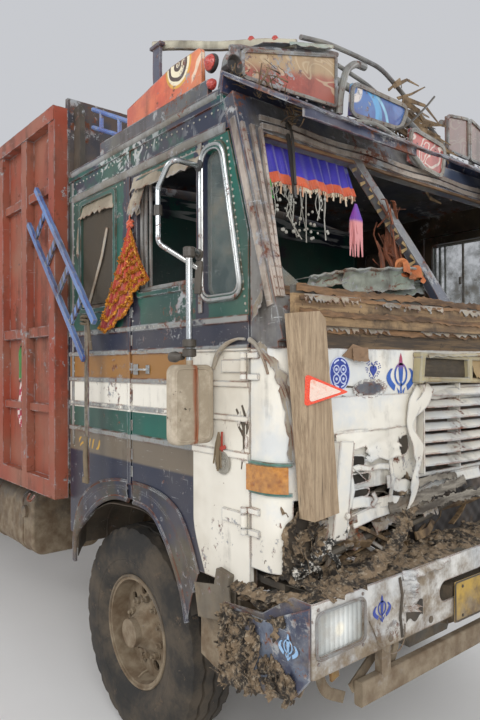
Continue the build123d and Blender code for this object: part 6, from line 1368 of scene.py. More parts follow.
bentBars.strap([at(-0.84, -1.17, 1.335), at(-0.80, -1.195, 1.25), at(-0.82, -1.18, 1.16)], 0.085, 0.006,
               upright=(0, -1, 0.2))
bentBars.strap([at(-1.10, -1.19, 1.17), at(-0.95, -1.205, 1.215), at(-0.78, -1.20, 1.235)], 0.05, 0.008,
               upright=(0, -0.7, 0.7))
bentBars.done("bent_rods", looks["scrapSteel"])
slantRail = Kit()      # long bent pressing that slants up across the opening under the nose
for y, z, wide, facing in ((-1.222, 1.262, 0.050, (0, -1, 0.3)), (-1.205, 1.290, 0.035, (0, -0.2, 1))):
    slantRail.strap([at(-0.86 + 0.9 * k / 8, y - 0.010 * math.sin(k * 0.9),
                        z + 0.10 * k / 8 + 0.010 * math.sin(k * 1.3)) for k in range(9)], wide, 0.006,
                    upright=facing)
slantRail.done("slanted_rail", looks["white"])

wreck = Kit()      # crushed white pressings that lie over the broken corner
crumpledStrap(wreck, [at(-1.13, -1.19, 1.215), at(-1.02, -1.215, 1.265), at(-0.92, -1.21, 1.300),
                      at(-0.83, -1.19, 1.345)], 0.065, 3, 0.016)
crumpledStrap(wreck, [at(-0.865, -1.205, 1.335), at(-0.84, -1.225, 1.26), at(-0.86, -1.20, 1.16)], 0.115, 8,
              0.022, (0, -1, 0.1), (26, 12))
crumpledStrap(wreck, [at(-0.72, -1.215, 1.22), at(-0.52, -1.23, 1.255), at(-0.30, -1.22, 1.245)], 0.055, 12, 0.014)
wreck.pipe(smoothLine([at(-1.10, -1.20, 1.12), at(-1.085, -1.225, 1.185), at(-1.03, -1.235, 1.205),
                       at(-0.985, -1.225, 1.165), at(-0.975, -1.20, 1.115)], 4), 0.011, 8)
wreck.done("crushed_pressings", looks["muddyWhite"])


def tornCorner(u, v):      # the torn opening low in the driver's side corner
    angle = 0.78 + 0.86 * u + 0.10 * wobble(v * 5, u, 3)
    return at(-1.09 - 0.1205 * math.cos(angle), -1.11 - 0.1205 * math.sin(angle),
              1.115 + v * (0.17 + 0.09 * u + 0.02 * wobble(u * 6, 2, 8)))


pit = Kit()      # painted shade: a dark sheet in the hollow behind ragged lips
pit.skin(tornCorner, 20, 26, 0.002)
pit.done("torn_corner", looks["pitDark"])
pit = Kit()
crumpledStrap(pit, [tornCorner(0.0, t / 4) for t in range(5)]
              + [tornCorner(0.35, 1.0), tornCorner(0.75, 1.02), tornCorner(1.0, 1.0)], 0.020, 3, 0.006,
              (-0.7, -0.7, 0), (90, 3))
for k in range(30):
    root = tornCorner(chance.uniform(0.1, 1.3), chance.uniform(0.15, 1.0)) + Vector((0, -0.006, 0))
    turn, wide = chance.random() * math.tau, chance.uniform(0.018, 0.050)
    crumpledFlap(pit, root, (wide * math.cos(turn), -0.004, wide * math.sin(turn)),
                 (-wide * math.sin(turn), -0.012, wide * math.cos(turn)), 0.016, k * 1.7, (5, 5),
                 out=(0, -1, 0), ragged=0.6)
pit.done("torn_corner_lips", looks["mudCrust"])
pit = Kit()      # a scraped pressing across it, and one bent into a loop
crumpledStrap(pit, [at(-1.175, -1.225, 1.135), at(-1.10, -1.250, 1.175), at(-1.00, -1.250, 1.225),
                    at(-0.90, -1.235, 1.265)], 0.034, 31, 0.010, (0, -1, 0.5), (70, 6))
crumpledStrap(pit, [at(-1.155, -1.23, 1.120), at(-1.12, -1.262, 1.150), at(-1.075, -1.262, 1.140),
                    at(-1.06, -1.25, 1.105)], 0.020, 37, 0.005, (0, -1, 0), (40, 4))
crumpledStrap(pit, [at(-1.01, -1.24, 1.185), at(-0.975, -1.255, 1.150), at(-0.965, -1.25, 1.108)], 0.022,
              41, 0.006, (0, -1, 0), (30, 4))
look = Finish("scraped", Roughness=0.5, Metallic=0.3)
look.colour(look.mix(look.cloud(40, 6, 0.75).rise(0.50, 0.58), "24221f", "cdc7bb"))
look.relief(look.cloud(60, 5, 0.7), 0.004)
pit.done("scraped_pressings", look.material)
wreck = Kit()      # muddy strips along the bumper's torn top edge, and papery flakes caught in the corner
crumpledStrap(wreck, [at(-1.18, -1.385, 1.110), at(-0.98, -1.375, 1.132), at(-0.78, -1.345, 1.175),
                      at(-0.62, -1.29, 1.235), at(-0.50, -1.24, 1.285)], 0.060, 5, 0.014, (0, -0.5, 1),
              (70, 8))
crumpledStrap(wreck, [at(-1.272, -1.02, 1.075), at(-1.266, -1.16, 1.078), at(-1.235, -1.31, 1.095),
                      at(-1.16, -1.375, 1.115)], 0.055, 9, 0.012, (-0.4, 0, 1), (50, 8))
crumpledStrap(wreck, [at(-1.17, -1.12, 1.13), at(-1.12, -1.19, 1.20), at(-1.02, -1.20, 1.14)], 0.075, 15,
              0.02, (0, -1, 0.3), (24, 8))
crumpledStrap(wreck, [at(-0.70, -1.20, 1.30), at(-0.58, -1.23, 1.33), at(-0.50, -1.22, 1.40)], 0.04, 19,
              0.015, (0, -1, 0.2), (24, 6))
for k in range(26):
    root = at(chance.uniform(-1.17, -0.80), chance.uniform(-1.21, -1.12), chance.uniform(1.20, 1.40))
    crumpledFlap(wreck, root, (0.045 * chance.uniform(0.5, 1.3), 0.01 * chance.gauss(0, 1),
                               0.02 * chance.gauss(0, 1)),
                 (chance.gauss(0, 0.02), 0.0, -0.06 * chance.uniform(0.5, 1.4)), 0.022, k * 1.3, (4, 6),
                 out=(0, -1, 0.2), ragged=0.6)
wreck.done("muddy_strips", looks["mudCrust"])

# the bumper's driver's side end: crushed sheet with mud pressed into it
endFace = -1.2635


def endShape(u, v):
    y = -1.398 + 0.432 * u
    top = 1.098 - 0.085 * min(1, u * 2.2) - 0.020 * u
    low = (0.872 - 0.07 * min(1, u * 6)) * (1 - u) + 0.715 * u
    z = low + (top - low) * v
    pitted = wobble(y * 7, z * 7, 1.2) + 0.6 * wobble(y * 17, z * 15, 4.0)
    return at(endFace - 0.004 - 0.016 * max(0, pitted + 0.35) * min(1, 8 * u * (1 - u) + 0.1), y, z)


look = Finish("crushedEnd")
blue = look.mix(look.cloud(6, 5, 0.7).rise(0.42, 0.58), "27304a", "5e6878")
weather(look, blue, wear=1.1, mud=0.5, scuff=1.2, grime=0.7)
looks["crushedEnd"] = look.material
crush = Kit()
crush.skin(endShape, 40, 30, 0.004)
crush.done("crushed_bumper_end", looks["crushedEnd"])


def caked(u, v):      # how thick the mud lies on the end
    spot = endShape(u, v)
    rough = noise.noise(spot * 13) + 0.6 * noise.noise(spot * 29) + 0.3 * noise.noise(spot * 61)
    return 0.6 * (u - 0.30) + 0.10 * math.sin(v * 5 + 1) + 0.40 * rough * min(1, 0.3 + 2 * u)


crust, chance, spots = Kit(), pick("crust"), []
crust.skin(lambda u, v: endShape(u, v) + Vector((-0.003 - 0.030 * max(0, caked(u, v)) ** 0.8, 0, 0)), 96,
           64, 0.004, keep=lambda u, v: caked(u, v) > 0.02)
for k in range(40):
    u, v = chance.random() ** 0.8, chance.random()
    if caked(u, v) > 0.05:
        spots.append(endShape(u, v) + Vector((-0.006, 0, 0)))
clods(crust, chance, spots, (0.006, 0.015))
for k in range(210):      # flaking clay
    u, v = chance.random() ** 0.75, chance.random()
    if caked(u, v) > 0.0:
        turn = chance.random() * math.tau
        wide = chance.uniform(0.014, 0.034)
        crumpledFlap(crust, endShape(u, v) + Vector((-0.008 - 0.008 * chance.random(), 0, 0)),
                     (0.004, wide * math.cos(turn), wide * math.sin(turn)),
                     (-0.006, -wide * math.sin(turn), wide * math.cos(turn)), 0.014, k * 0.7, (4, 4),
                     ragged=0.5)
clods(crust, chance, [at(-1.255 + 0.03 * chance.random(), -1.37 + 0.36 * chance.random(),
                         1.03 + 0.02 * chance.random()) for k in range(26)], (0.012, 0.030))
crust.done("bumper_end_mud", looks["mudCrust"])
emblem = Kit()
swordEmblem(emblem, (-1.318, 0.958), 0.045, lambda a, b, depth: at(endFace - 0.0205 - depth, a, b))
emblem.done("end_emblem", looks["paleBlue"])
bracket = Kit()      # bent fender bracket behind the bumper's end
for points, wide, thick in ((((-1.225, -0.955, 0.97), (-1.230, -0.86, 0.955), (-1.225, -0.74, 0.93)), 0.13, 0.006),
                            (((-1.20, -0.93, 1.02), (-1.205, -0.92, 0.90), (-1.19, -0.90, 0.78)), 0.05, 0.006)):
    bracket.strap([at(*p) for p in points], wide, thick, upright=(1, 0, 0))
bracket.slab(at(-1.216, -0.90, 1.03), (0.03, 0.075, 0.10), (0.2, 0, 0.1))
bracket.done("fender_bracket", looks["scrapSteel"])

rims = Kit()      # rims, reflectors and screws round the headlamps
for side in (-1, 1):
    line = rounded([at(side * 1.124 + a * 0.118, -1.403, 1.0 + b * 0.073) for a,
                    b in ((-1, 1), (1, 1), (1, -1), (-1, -1))], 0.028, 5, closed=True)
    rims.pipe(line, 0.0055, 6, closed=True, upright=(0, 1, 0))
    for a, b in ((-1, 1), (1, 1), (1, -1), (-1, -1)):
        rims.rivet(at(side * 1.124 + a * 0.108, -1.4015, 1.0 + b * 0.085), (0, -1, 0), 0.006)
rims.done("lamp_rims", looks["strip"])
plateYellow = Kit()      # blank plate in a raised rim, bolted to the bumper
plateYellow.slab(at(-0.205, -1.4075, 0.918), (0.53, 0.004, 0.158), (0, 0.015, 0), 0.0015)
plateYellow.done("blank_plate", looks["plateYellow"])
plateYellow = Kit()
rim = rounded([at(-0.205 + a * 0.262, -1.4105, 0.918 + b * 0.076 - a * 0.004) for a,
               b in ((-1, 1), (1, 1), (1, -1), (-1, -1))], 0.012, 4, closed=True)
plateYellow.pipe(rim, 0.0035, 6, closed=True, upright=(0, 1, 0))
for a, b in ((-0.8, 0.75), (0.8, 0.75), (-0.8, -0.75), (0.8, -0.75)):
    plateYellow.rivet(at(-0.205 + a * 0.262, -1.410, 0.918 + b * 0.076), (0, -1, 0), 0.007)
plateYellow.done("plate_rim", looks["dark"])

torn = Kit()      # the bumper's torn joint, right of the first emblem: curled sheet, and dark plates as painted shade in the gap
for k in range(9):
    z = 0.965 + 0.13 * k / 8
    crumpledFlap(torn, at(-0.795 + 0.01 * math.sin(k * 2), -1.402, z), (0, 0, 0.020), (0.085, 0, -0.012),
                 0.020, k + 2, (3, 7), out=(0, -1, 0), ragged=0.5)
crumpledFlap(torn, at(-0.80, -1.402, 1.102), (0.30, 0, 0.006), (0, -0.006, -0.030), 0.012, 22, (18, 4),
             out=(0, -1, 0), ragged=0.6)
torn.done("torn_joint", looks["bumper"])
# painted shade: dark plates laid over the bumper face where the torn joint gapes
torn = Kit()
torn.skin(lambda u, v: at(-0.775 + 0.10 * u, -1.4022, 0.925 + 0.055 * v + 0.01 * math.sin(u * 9)), 10, 4, 0.0015)
torn.strap([at(-0.815, -1.403, 1.095), at(-0.80, -1.404, 1.03), at(-0.812, -1.403, 0.955),
            at(-0.80, -1.403, 0.88)], 0.012, 0.002, upright=(0, -1, 0))
torn.done("torn_joint_gap", looks["dark"])
lower = Kit()      # stays and strips under the bumper
lower.strap([at(-1.105, -1.345, 0.885), at(-1.085, -1.335, 0.80)], 0.040, 0.010, upright=(0, -1, 0))
lower.done("yellow_stay", looks["stayYellow"])
lower = Kit()
for points, radius in ((((-1.16, -1.32, 0.872), (-1.10, -1.30, 0.745), (-0.98, -1.28, 0.68)), 0.016),
                       (((-1.02, -1.35, 0.75), (-0.80, -1.30, 0.815), (-0.60, -1.25, 0.87)), 0.013),
                       (((-0.78, -1.36, 0.885), (-0.775, -1.35, 0.80), (-0.80, -1.33, 0.72)), 0.014),
                       (((-0.50, -1.30, 0.88), (-0.40, -1.31, 0.80), (-0.15, -1.30, 0.775)), 0.012)):
    lower.strap(rounded([at(*p) for p in points], 0.05), radius * 2.4, radius * 0.6, upright=(0, -0.9, 0.3))
for side in (-1, 1):
    for x in (0.865, 0.30, 0.62):
        lower.lathe([(-0.008, 0.014), (0.0, 0.014), (0.002, 0.011)], at(side * x, -1.402, 0.895), "y", 8, flip=-1)
lower.done("bumper_stays", looks["scrapSteel"])

wireLine = [(-0.985, -1.403, 0.985), (-0.975, -1.412, 0.955), (-0.955, -1.416, 0.905),
            (-0.915, -1.418, 0.862), (-0.865, -1.418, 0.846), (-0.822, -1.416, 0.856),
            (-0.796, -1.412, 0.890), (-0.788, -1.404, 0.925)]
curve = bpy.data.curves.new("loop_wire", "CURVE")
curve.dimensions = "3D"
spline = curve.splines.new("NURBS")
spline.points.add(len(wireLine) - 1)
for point, spot in zip(spline.points, wireLine):
    point.co = (*at(*spot), 1)
spline.order_u = 3
spline.use_endpoint_u = True
curve.bevel_depth = 0.0022
curve.bevel_resolution = 2
curve.resolution_u = 8
wire = bpy.data.objects.new("loop_wire", curve)
bpy.context.scene.collection.objects.link(wire)
curve.materials.append(looks["scrapSteel"])
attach(wire, "truck")
tuple(at(*wireLine[0]))
print("low front done")


# Crown and windscreen surround: board frames, pole, lamps, bent tubes, splinters and the mouldings of the pillars
looks["oldWood"] = timberLook("oldWood", "8d6a48", "4e3a28", (2.0, 12, 12), 0.4)
boards = {      # corners of each painted board and the face that its frame lies on
    "right": ([(-1.107, 2.980), (-0.565, 3.005), (-0.563, 3.232), (-1.107, 3.083)], -0.8970),
    "blue": ([(-0.525, 2.964), (-0.160, 2.985), (-0.100, 3.106), (-0.510, 3.110)], -0.9500),
    "far": ([(-0.149, 2.826), (0.122, 2.795), (0.151, 2.953), (-0.139, 2.986)], -0.9950),
    "left": ([(0.565, 3.005), (1.107, 2.980), (1.107, 3.083), (0.563, 3.232)], -0.8970),
    "small": ([(0.338, 3.008), (0.545, 3.003), (0.545, 3.226), (0.338, 3.196)], -0.8970)}


screenSlope = 0.285      # how far the windscreen frame leans back per metre of height


def screenY(z, out=0.0):      # the windscreen frame's sloping face
    return -1.190 + screenSlope * (z - 2.03) - out


def onGlass(a, b, depth):
    return at(a, screenY(b) + 0.040 + depth, b)


for name, (corners, face) in boards.items():
    kit = Kit()
    line = [at(x, face, z) for x, z in corners]
    wide, bend = (0.020, 0.045) if name in ("blue", "far") else (0.015, 0.02)
    ring = rounded(line, bend, 5, closed=True)
    kit.strap(ring, wide, 0.010, closed=True, upright=(0, 1, 0))
    kit.pipe(ring, 0.0062, 6, closed=True, upright=(0, 1, 0))
    for k in range(4):
        for t in (0.12, 0.38, 0.62, 0.88):
            kit.rivet(line[k].lerp(line[(k + 1) % 4], t) + Vector((0, -0.0055, 0)), (0, -1, 0), 0.0045)
    kit.done("board_frame_" + name, looks["frameGrey"])

case = Kit()      # sheet case round the right board, its rolled top, and the corner sheet beside the lamps
case.skin(lambda u, v: at(-1.150 + 0.62 * u, -0.868 + 0.004 * wobble(u * 5, v * 4, 7),
                          2.945 + 0.045 * u + (0.14 + 0.13 * u) * v), 18, 8, 0.003)
case.pipe([at(-1.150 + 0.62 * k / 12, -0.874, 3.088 + 0.172 * k / 12 + 0.004 * math.sin(k * 1.9))
           for k in range(13)], 0.012, 8)
case.strap([at(-1.128, -0.880, 2.94), at(-1.130, -0.882, 3.02), at(-1.128, -0.880, 3.10)], 0.040, 0.005,
           upright=(0, 1, 0))
crumpledFlap(case, at(-1.00, -0.900, 3.150), (0.34, 0, 0.10), (0, 0.16, 0.012), 0.02, 5, (12, 8), out=(0, 0, 1))
case.done("crown_case", looks["greyNavy"])
peel = Kit()      # pale sheet peeled over the top of the case
crumpledFlap(peel, at(-0.86, -0.905, 3.196), (0.27, 0, 0.075), (0, -0.004, -0.03), 0.012, 9, (14, 4),
             out=(0, -1, 0.2), ragged=0.7)
crumpledFlap(peel, at(-0.72, -0.90, 3.228), (0.14, 0.01, 0.035), (0, 0.10, 0.01), 0.015, 2, (8, 5), out=(0, 0, 1))
peel.done("peeled_sheet", looks["peeledSheet"])

pole = Kit()      # flat pole that lies over the corner, on its post
poleStart, poleEnd = at(-1.170, -0.340, 3.300), at(-0.800, -0.885, 3.214)
pole.sweep([poleStart.lerp(poleEnd, k / 10) + Vector((0, 0, 0.004 * math.sin(k))) for k in range(11)],
           [(-0.010, -0.018), (0.010, -0.018), (0.014, -0.012), (0.014, 0.012), (0.010, 0.018),
            (-0.010, 0.018), (-0.014, 0.012), (-0.014, -0.012)])
pole.done("crown_pole", looks["palePole"])
post = Kit()
post.strap([at(-1.166, -0.375, 3.06), at(-1.168, -0.372, 3.18), at(-1.166, -0.372, 3.292)], 0.060, 0.012,
           upright=(1, 0, 0))
post.slab(at(-1.168, -0.372, 3.288), (0.03, 0.09, 0.016))
post.done("pole_post", looks["navy"])

lens = Kit()      # small round marker lamps at the crown's corner
for y, z, r in ((-0.800, 3.045, 0.030), (-0.812, 2.955, 0.020)):
    lens.lathe([(0.0, r * 1.05), (0.012, r * 1.05), (0.022, r * 0.8), (0.030, r * 0.4), (0.032, 0.0001)],
               at(-1.186, y, z), "x", 18, flip=-1)
for t in (0.70, 0.86):
    lens.lathe([(0.0, 0.016), (0.012, 0.016), (0.022, 0.010), (0.024, 0.0001)],
               poleStart.lerp(poleEnd, t) + Vector((0, 0, 0.012)), "z", 12)
look = Finish("markerLens", Coat_Weight=0.5)
facet = look.cells(120)
look.colour(look.mix(facet.rise(0.0, 0.6), "7c1f1b", "b8453a"))
look.link("Roughness", 0.22 + look.cloud(9, 4).rise(0.4, 0.7) * 0.4)
look.relief(facet, 0.002)
lens.done("marker_lamps", look.material)
horn = Kit()      # dark horn body and its bracket beside the lamps
horn.lathe([(0.0, 0.016), (0.03, 0.018), (0.05, 0.026), (0.062, 0.036), (0.066, 0.038), (0.067, 0.034),
            (0.052, 0.022)], at(-1.160, -0.850, 3.005), "y", 20, flip=-1)
horn.strap([at(-1.142, -0.868, 2.94), at(-1.142, -0.880, 2.97), at(-1.142, -0.882, 3.0)], 0.03, 0.004,
           upright=(0, 1, 0))
horn.lathe([(-0.012, 0.034), (-0.004, 0.037), (0.004, 0.037)], at(-1.182, -0.80, 3.045), "x", 18)
horn.done("crown_horn", looks["plastic"])

bentTube = Kit()      # crown tubes sprung loose above the blue board
for points, radius in ((((-0.760, -0.872, 3.262), (-0.593, -0.870, 3.292), (-0.400, -0.868, 3.300),
                         (-0.198, -0.866, 3.300), (-0.037, -0.866, 3.232), (0.200, -0.866, 3.118),
                         (0.387, -0.868, 3.02), (0.385, -0.870, 2.90)), 0.011),
                       (((-0.529, -0.885, 2.985), (-0.530, -0.890, 3.06), (-0.486, -0.890, 3.198),
                         (-0.408, -0.880, 3.254), (-0.33, -0.872, 3.262)), 0.017),
                       (((-0.57, -0.93, 2.93), (-0.40, -0.985, 2.945), (-0.20, -1.010, 2.885),
                         (-0.06, -1.010, 2.80)), 0.012),
                       (((-0.52, -0.87, 3.215), (-0.30, -0.87, 3.185), (-0.05, -0.87, 3.10)), 0.010)):
    bentTube.pipe(rounded([at(*p) for p in points], 0.06, 5), radius, 10)
bentTube.done("sprung_tubes", looks["tubeSteel"])
sticks = Kit()      # broken laths and straw that stand out of the far boards
chance = pick("laths")
fans = (((-0.133, 3.195), (0.051, 3.270), 4), ((-0.094, 3.137), (0.30, 3.100), 9),
        ((0.16, 2.99), (0.340, 2.93), 7), ((0.10, 2.82), (0.330, 2.78), 7),
        ((-0.12, 3.05), (0.24, 3.02), 7))
for (x0, z0), (x1, z1), count in fans:
    for k in range(count):
        a = at(x0 + chance.gauss(0, 0.02), -0.90 + chance.gauss(0, 0.015), z0 + chance.gauss(0, 0.02))
        b = at(x0 + (x1 - x0) * chance.uniform(0.6, 1.05), -0.90 + chance.gauss(0, 0.04),
               z1 + chance.gauss(0, 0.035))
        bow = Vector((0, chance.gauss(0, 0.01), chance.gauss(0, 0.02)))
        sticks.strap([a, a.lerp(b, 0.5) + bow, b], chance.uniform(0.010, 0.034),
                     chance.uniform(0.003, 0.008), upright=(0, 1, chance.gauss(0, 0.6)),
                     grow=lambda t: 1.15 - 0.8 * t)
rubble(sticks, chance, at(-0.16, -0.925, 2.80), at(0.22, -0.84, 3.10), 40, (0.08, 0.26), (0.004, 0.020), 0.4, 0.3)
sticks.done("crown_splinters", looks["splinter"])
straw = Kit()      # dry weed caught on the roof's front corner and over the glass
for low, high, count in (((-1.12, -1.04, 2.87), (-1.00, -0.97, 2.99), 26),
                         ((-0.99, -1.05, 2.80), (-0.90, -0.99, 2.88), 20),
                         ((-1.20, -0.93, 2.93), (-1.10, -0.86, 3.0), 16)):
    rubble(straw, chance, at(*low), at(*high), count, (0.04, 0.13), (0.003, 0.008), 0.5, 0.7)
straw.done("caught_straw", looks["splinter"])
rails = Kit()      # blue rails behind the cab's roof, from the headboard down
for start, end in (((-1.10, 0.400, 3.270), (-1.10, -0.104, 3.030)),
                   ((-1.10, 0.400, 3.170), (-1.10, 0.055, 3.020)),
                   ((-1.10, 0.30, 3.222), (-1.10, 0.30, 3.13)),
                   ((-1.10, 0.10, 3.127), (-1.10, 0.10, 3.03))):
    rails.pipe([at(*start), at(*end)], 0.012, 8)
rails.done("roof_rails", looks["blue"])
stays = Kit()      # stays of the headboard behind the cab
for side in (-1, 1):
    stays.strap([at(side * 1.150, 0.475, 2.82), at(side * 1.155, 0.45, 3.06),
                 at(side * 1.150, 0.470, 3.29)], 0.075, 0.030, upright=(1, 0, 0))
stays.done("headboard_stays", looks["chassis"])

trim = Kit()      # worn wooden mouldings up the pillars and along the head, with the screws that hold them
pillarLow, pillarTall = 2.09, 0.665
for side in (-1, 1):
    for low, high, wide in ((1.188, 1.186, 0.016), (1.170, 1.140, 0.018), (1.163, 1.096, 0.014)):
        trim.strap([at(side * (low + (high - low) * k / 10),
                       screenY(pillarLow + pillarTall * k / 10, 0.003), pillarLow + pillarTall * k / 10)
                    + jitter((low, k, side), 2, 0.0015) for k in range(11)], wide, 0.012,
                   upright=(0, -1, 0))
        for k in range(16):
            z = 2.12 + 0.60 * k / 15
            trim.rivet(at(side * (low + (high - low) * (z - pillarLow) / pillarTall), screenY(z, 0.0095),
                          z), (0, -1, 0), 0.0042)
    trim.strap([at(side * 1.1995, screenY(2.06 + 0.72 * k / 10) + 0.030, 2.06 + 0.72 * k / 10)
                for k in range(11)], 0.030, 0.008, upright=(1, 0, 0))
for z, deep in ((2.765, 0.012), (2.800, 0.008)):
    trim.strap([at(-1.09 + 2.18 * k / 20, screenY(z, 0.003), z + 0.005 * math.sin(k * 1.3))
                for k in range(21)], 0.022, deep, upright=(0, -1, 0))
trim.done("pillar_mouldings", looks["pillar"])
lath = Kit()      # brown lath under the head, split along its length
for z, wide in ((2.752, 0.024), (2.738, 0.012)):
    lath.strap([at(-1.06 + 2.0 * k / 16, screenY(z) + 0.012, z + jitter((k, z, 0), 1.3, 0.006).z)
                for k in range(17)], wide, 0.014, upright=(0, -1, 0))
lath.strap([at(-1.155 + 2.3 * k / 16, screenY(2.118) + 0.016, 2.118 + 0.004 * math.sin(k))
            for k in range(17)], 0.030, 0.020, upright=(0, -1, 0))
lath.done("screen_laths", looks["oldWood"])
fillets = Kit()      # navy corner sheets that round the opening's lower corners, with what is left of the glass
arc = [(1.162 - 0.17 * (1 - math.cos(t)), 2.095 + 0.17 * (1 - math.sin(t)))
       for t in (k * math.pi / 2 / 8 for k in range(9))]
for side in (-1, 1):
    outline = [(side * 1.165, 2.085)] + [(side * a, b) for a, b in arc]
    fillets.plate(outline, 0.006, lambda a, b, depth: at(a, screenY(b) + 0.028 + depth, b))
fillets.strap([at(-1.150 + 0.008 * math.sin(k), screenY(2.14 + 0.06 * k) + 0.030, 2.14 + 0.06 * k)
               for k in range(10)], 0.050, 0.006, upright=(0, -1, 0))
fillets.done("screen_corners", looks["navy"])
shard = Kit()
shard.plate([(-1.150, 2.105), (-1.132, 2.262), (-1.085, 2.205), (-1.02, 2.158), (-0.93, 2.128),
             (-0.86, 2.112)], 0.005, onGlass)
shard.plate([(-1.085, 2.690), (-1.05, 2.690), (-1.075, 2.60)], 0.005, onGlass)
shard.done("glass_remnant", looks["glass"])
hood = Kit()      # torn lower lip of the visor, bent out along its length
crumpledFlap(hood, at(-1.10, -1.157, 2.812), (2.10, 0, 0.0), (0, -0.008, -0.026), 0.016, 14, (60, 3),
             out=(0, -1, 0.3), ragged=0.8)
hood.pipe([at(-1.12 + 2.24 * k / 20, -1.155 + 0.003 * math.sin(k * 1.7), 2.806 + 0.004 * math.sin(k * 2.3))
           for k in range(21)], 0.009, 8)
studLine(hood, at(-1.08, -1.02, 2.905), at(1.08, -1.02, 2.905), 0.05, (0, -0.7, 0.7), 0.006, 3)
hood.done("visor_lip", looks["navy"])
gaps = {"slot_high": ((-0.995, 1.522), (-0.926, 1.522), (-0.795, 1.502), (-0.790, 1.468), (-0.88, 1.470),
                      (-0.985, 1.478)), "slot_middle": ((-0.985, 1.450), (-0.871, 1.446), (-0.764, 1.438),
        (-0.770, 1.402), (-0.87, 1.404), (-0.968, 1.415)),
        "slot_low": ((-0.936, 1.386), (-0.85, 1.386), (-0.774, 1.382), (-0.778, 1.353), (-0.86, 1.350),
                     (-0.927, 1.356)), "pocket": ((-0.585, 1.565), (-0.560, 1.580), (-0.520, 1.570),
        (-0.510, 1.504), (-0.545, 1.480), (-0.590, 1.500))}
hollow, lips = Kit(), Kit()      # broken slots beside the grille: dark plates as painted shade in the hollows, with curled white lips
for seed, outline in enumerate(gaps.values()):
    ring = []
    for (a, b), (c, d) in zip(outline, outline[1:] + outline[:1]):
        for t in range(5):
            x, z = a + (c - a) * t / 5, b + (d - b) * t / 5
            ring.append((x + 0.004 * wobble(x * 60, z * 60, seed), z + 0.006 * wobble(x * 70, z * 50, seed + 4)))
    hollow.plate(ring, 0.0010, lambda a, b, depth: onNose(a, b, 0.0070 + depth))
    crumpledStrap(lips, [onNose(x, z, 0.009) for x, z in ring[2::4] + ring[2:3]], 0.006, seed * 5, 0.003,
                  (0, -1, 0), (80, 3))
hollow.done("slot_hollows", looks["slotDark"])
lips.done("slot_lips", looks["white"])
kit = Kit()      # split planks that lie over the debris before the grille
crumpledStrap(kit, [onNose(-0.66, 1.290, 0.02), onNose(-0.40, 1.312, 0.03), onNose(-0.10, 1.332, 0.02)],
              0.045, 3, 0.005, (0, -1, 0.3), (90, 5))
crumpledStrap(kit, [onNose(-0.60, 1.335, 0.0), onNose(-0.38, 1.372, 0.02), onNose(-0.16, 1.36, 0.01)],
              0.026, 8, 0.004, (0, -1, 0.2), (80, 4))
crumpledStrap(kit, [onNose(-0.56, 1.245, 0.03), onNose(-0.25, 1.275, 0.04), onNose(0.10, 1.262, 0.03)],
              0.032, 14, 0.005, (0, -1, 0.4), (90, 4))
kit.done("split_planks", timberLook("greyPlank", "8f887b", "40382f", (1.4, 14, 14), 0.4))
kit = Kit()      # layered laths and torn strips along the boards under the windscreen
for z, face, wide, seed in ((2.118, -1.232, 0.026, 2), (2.088, -1.246, 0.014, 5), (2.036, -1.246, 0.020, 8),
                            (1.978, -1.226, 0.022, 4)):
    crumpledStrap(kit, [at(-1.15 + 2.3 * k / 9, face, z + 0.004 * math.sin(k * 2.3 + seed))
                        for k in range(10)], wide, seed, 0.005, (0, -1, 0), (120, 3))
kit.done("sill_laths", looks["oldWood"])
kit = Kit()      # torn grey sheet that still clings to those boards
for x, z, wide, drop, seed in ((-1.13, 2.098, 0.30, 0.032, 3), (-0.70, 2.094, 0.42, 0.026, 6),
                               (-0.15, 2.096, 0.50, 0.034, 9), (0.55, 2.094, 0.45, 0.028, 13),
                               (-1.00, 1.992, 0.36, 0.030, 17), (-0.42, 1.990, 0.55, 0.022, 21)):
    crumpledFlap(kit, at(x, -1.246 if z > 2 else -1.230, z), (wide, 0, 0.004), (0, 0, -drop), 0.010, seed,
                 (40, 4), out=(0, -1, 0), ragged=0.9)
studLine(kit, at(-1.10, -1.2435, 2.070), at(1.10, -1.2435, 2.070), 0.09, (0, -1, 0), 0.006, 7)
kit.done("sill_torn_sheet", looks["crumple"])
print("crown done")


# Cloth: the pelmet, the tinsel cloth, the scarf on the cargo side and the seats


def fabric(name, first, second, thread=50.0, **fixed):
    look = Finish(name, **fixed)
    weave = (look.wave("X", thread) + look.wave("Z", thread)) * 0.5
    tint = look.cloud(6, 4, 0.6).rise(0.3, 0.7)
    return look, look.mix(tint, first, second), weave


def cutOf(kit, across, along):      # how wide and long the sheet just made was cut, measured over its folds
    rows, half = along + 1, (across + 1) * (along + 1)
    grid = [Vector(p) for p in kit.points[-2 * half:-half]]
    wide = sum((grid[(i + 1) * rows + j] - grid[i * rows + j]).length for i in range(across)
               for j in range(rows)) / rows
    tall = sum((grid[i * rows + j + 1] - grid[i * rows + j]).length for i in range(across + 1)
               for j in range(along)) / (across + 1)
    area = sum(((grid[(i + 1) * rows + j] - grid[i * rows + j]).cross(grid[i * rows + j + 1]
            - grid[i * rows + j])).length
               + ((grid[(i + 1) * rows + j + 1] - grid[(i + 1) * rows + j]).cross(grid[(i + 1) * rows + j
            + 1] - grid[i * rows + j + 1])).length for i in range(across) for j in range(along)) / 2
    return wide, tall, area


pelmet = {"left": -1.122, "right": -0.524, "top": 2.782, "folds": 11, "deep": 0.0085, "cells": (150, 24)}


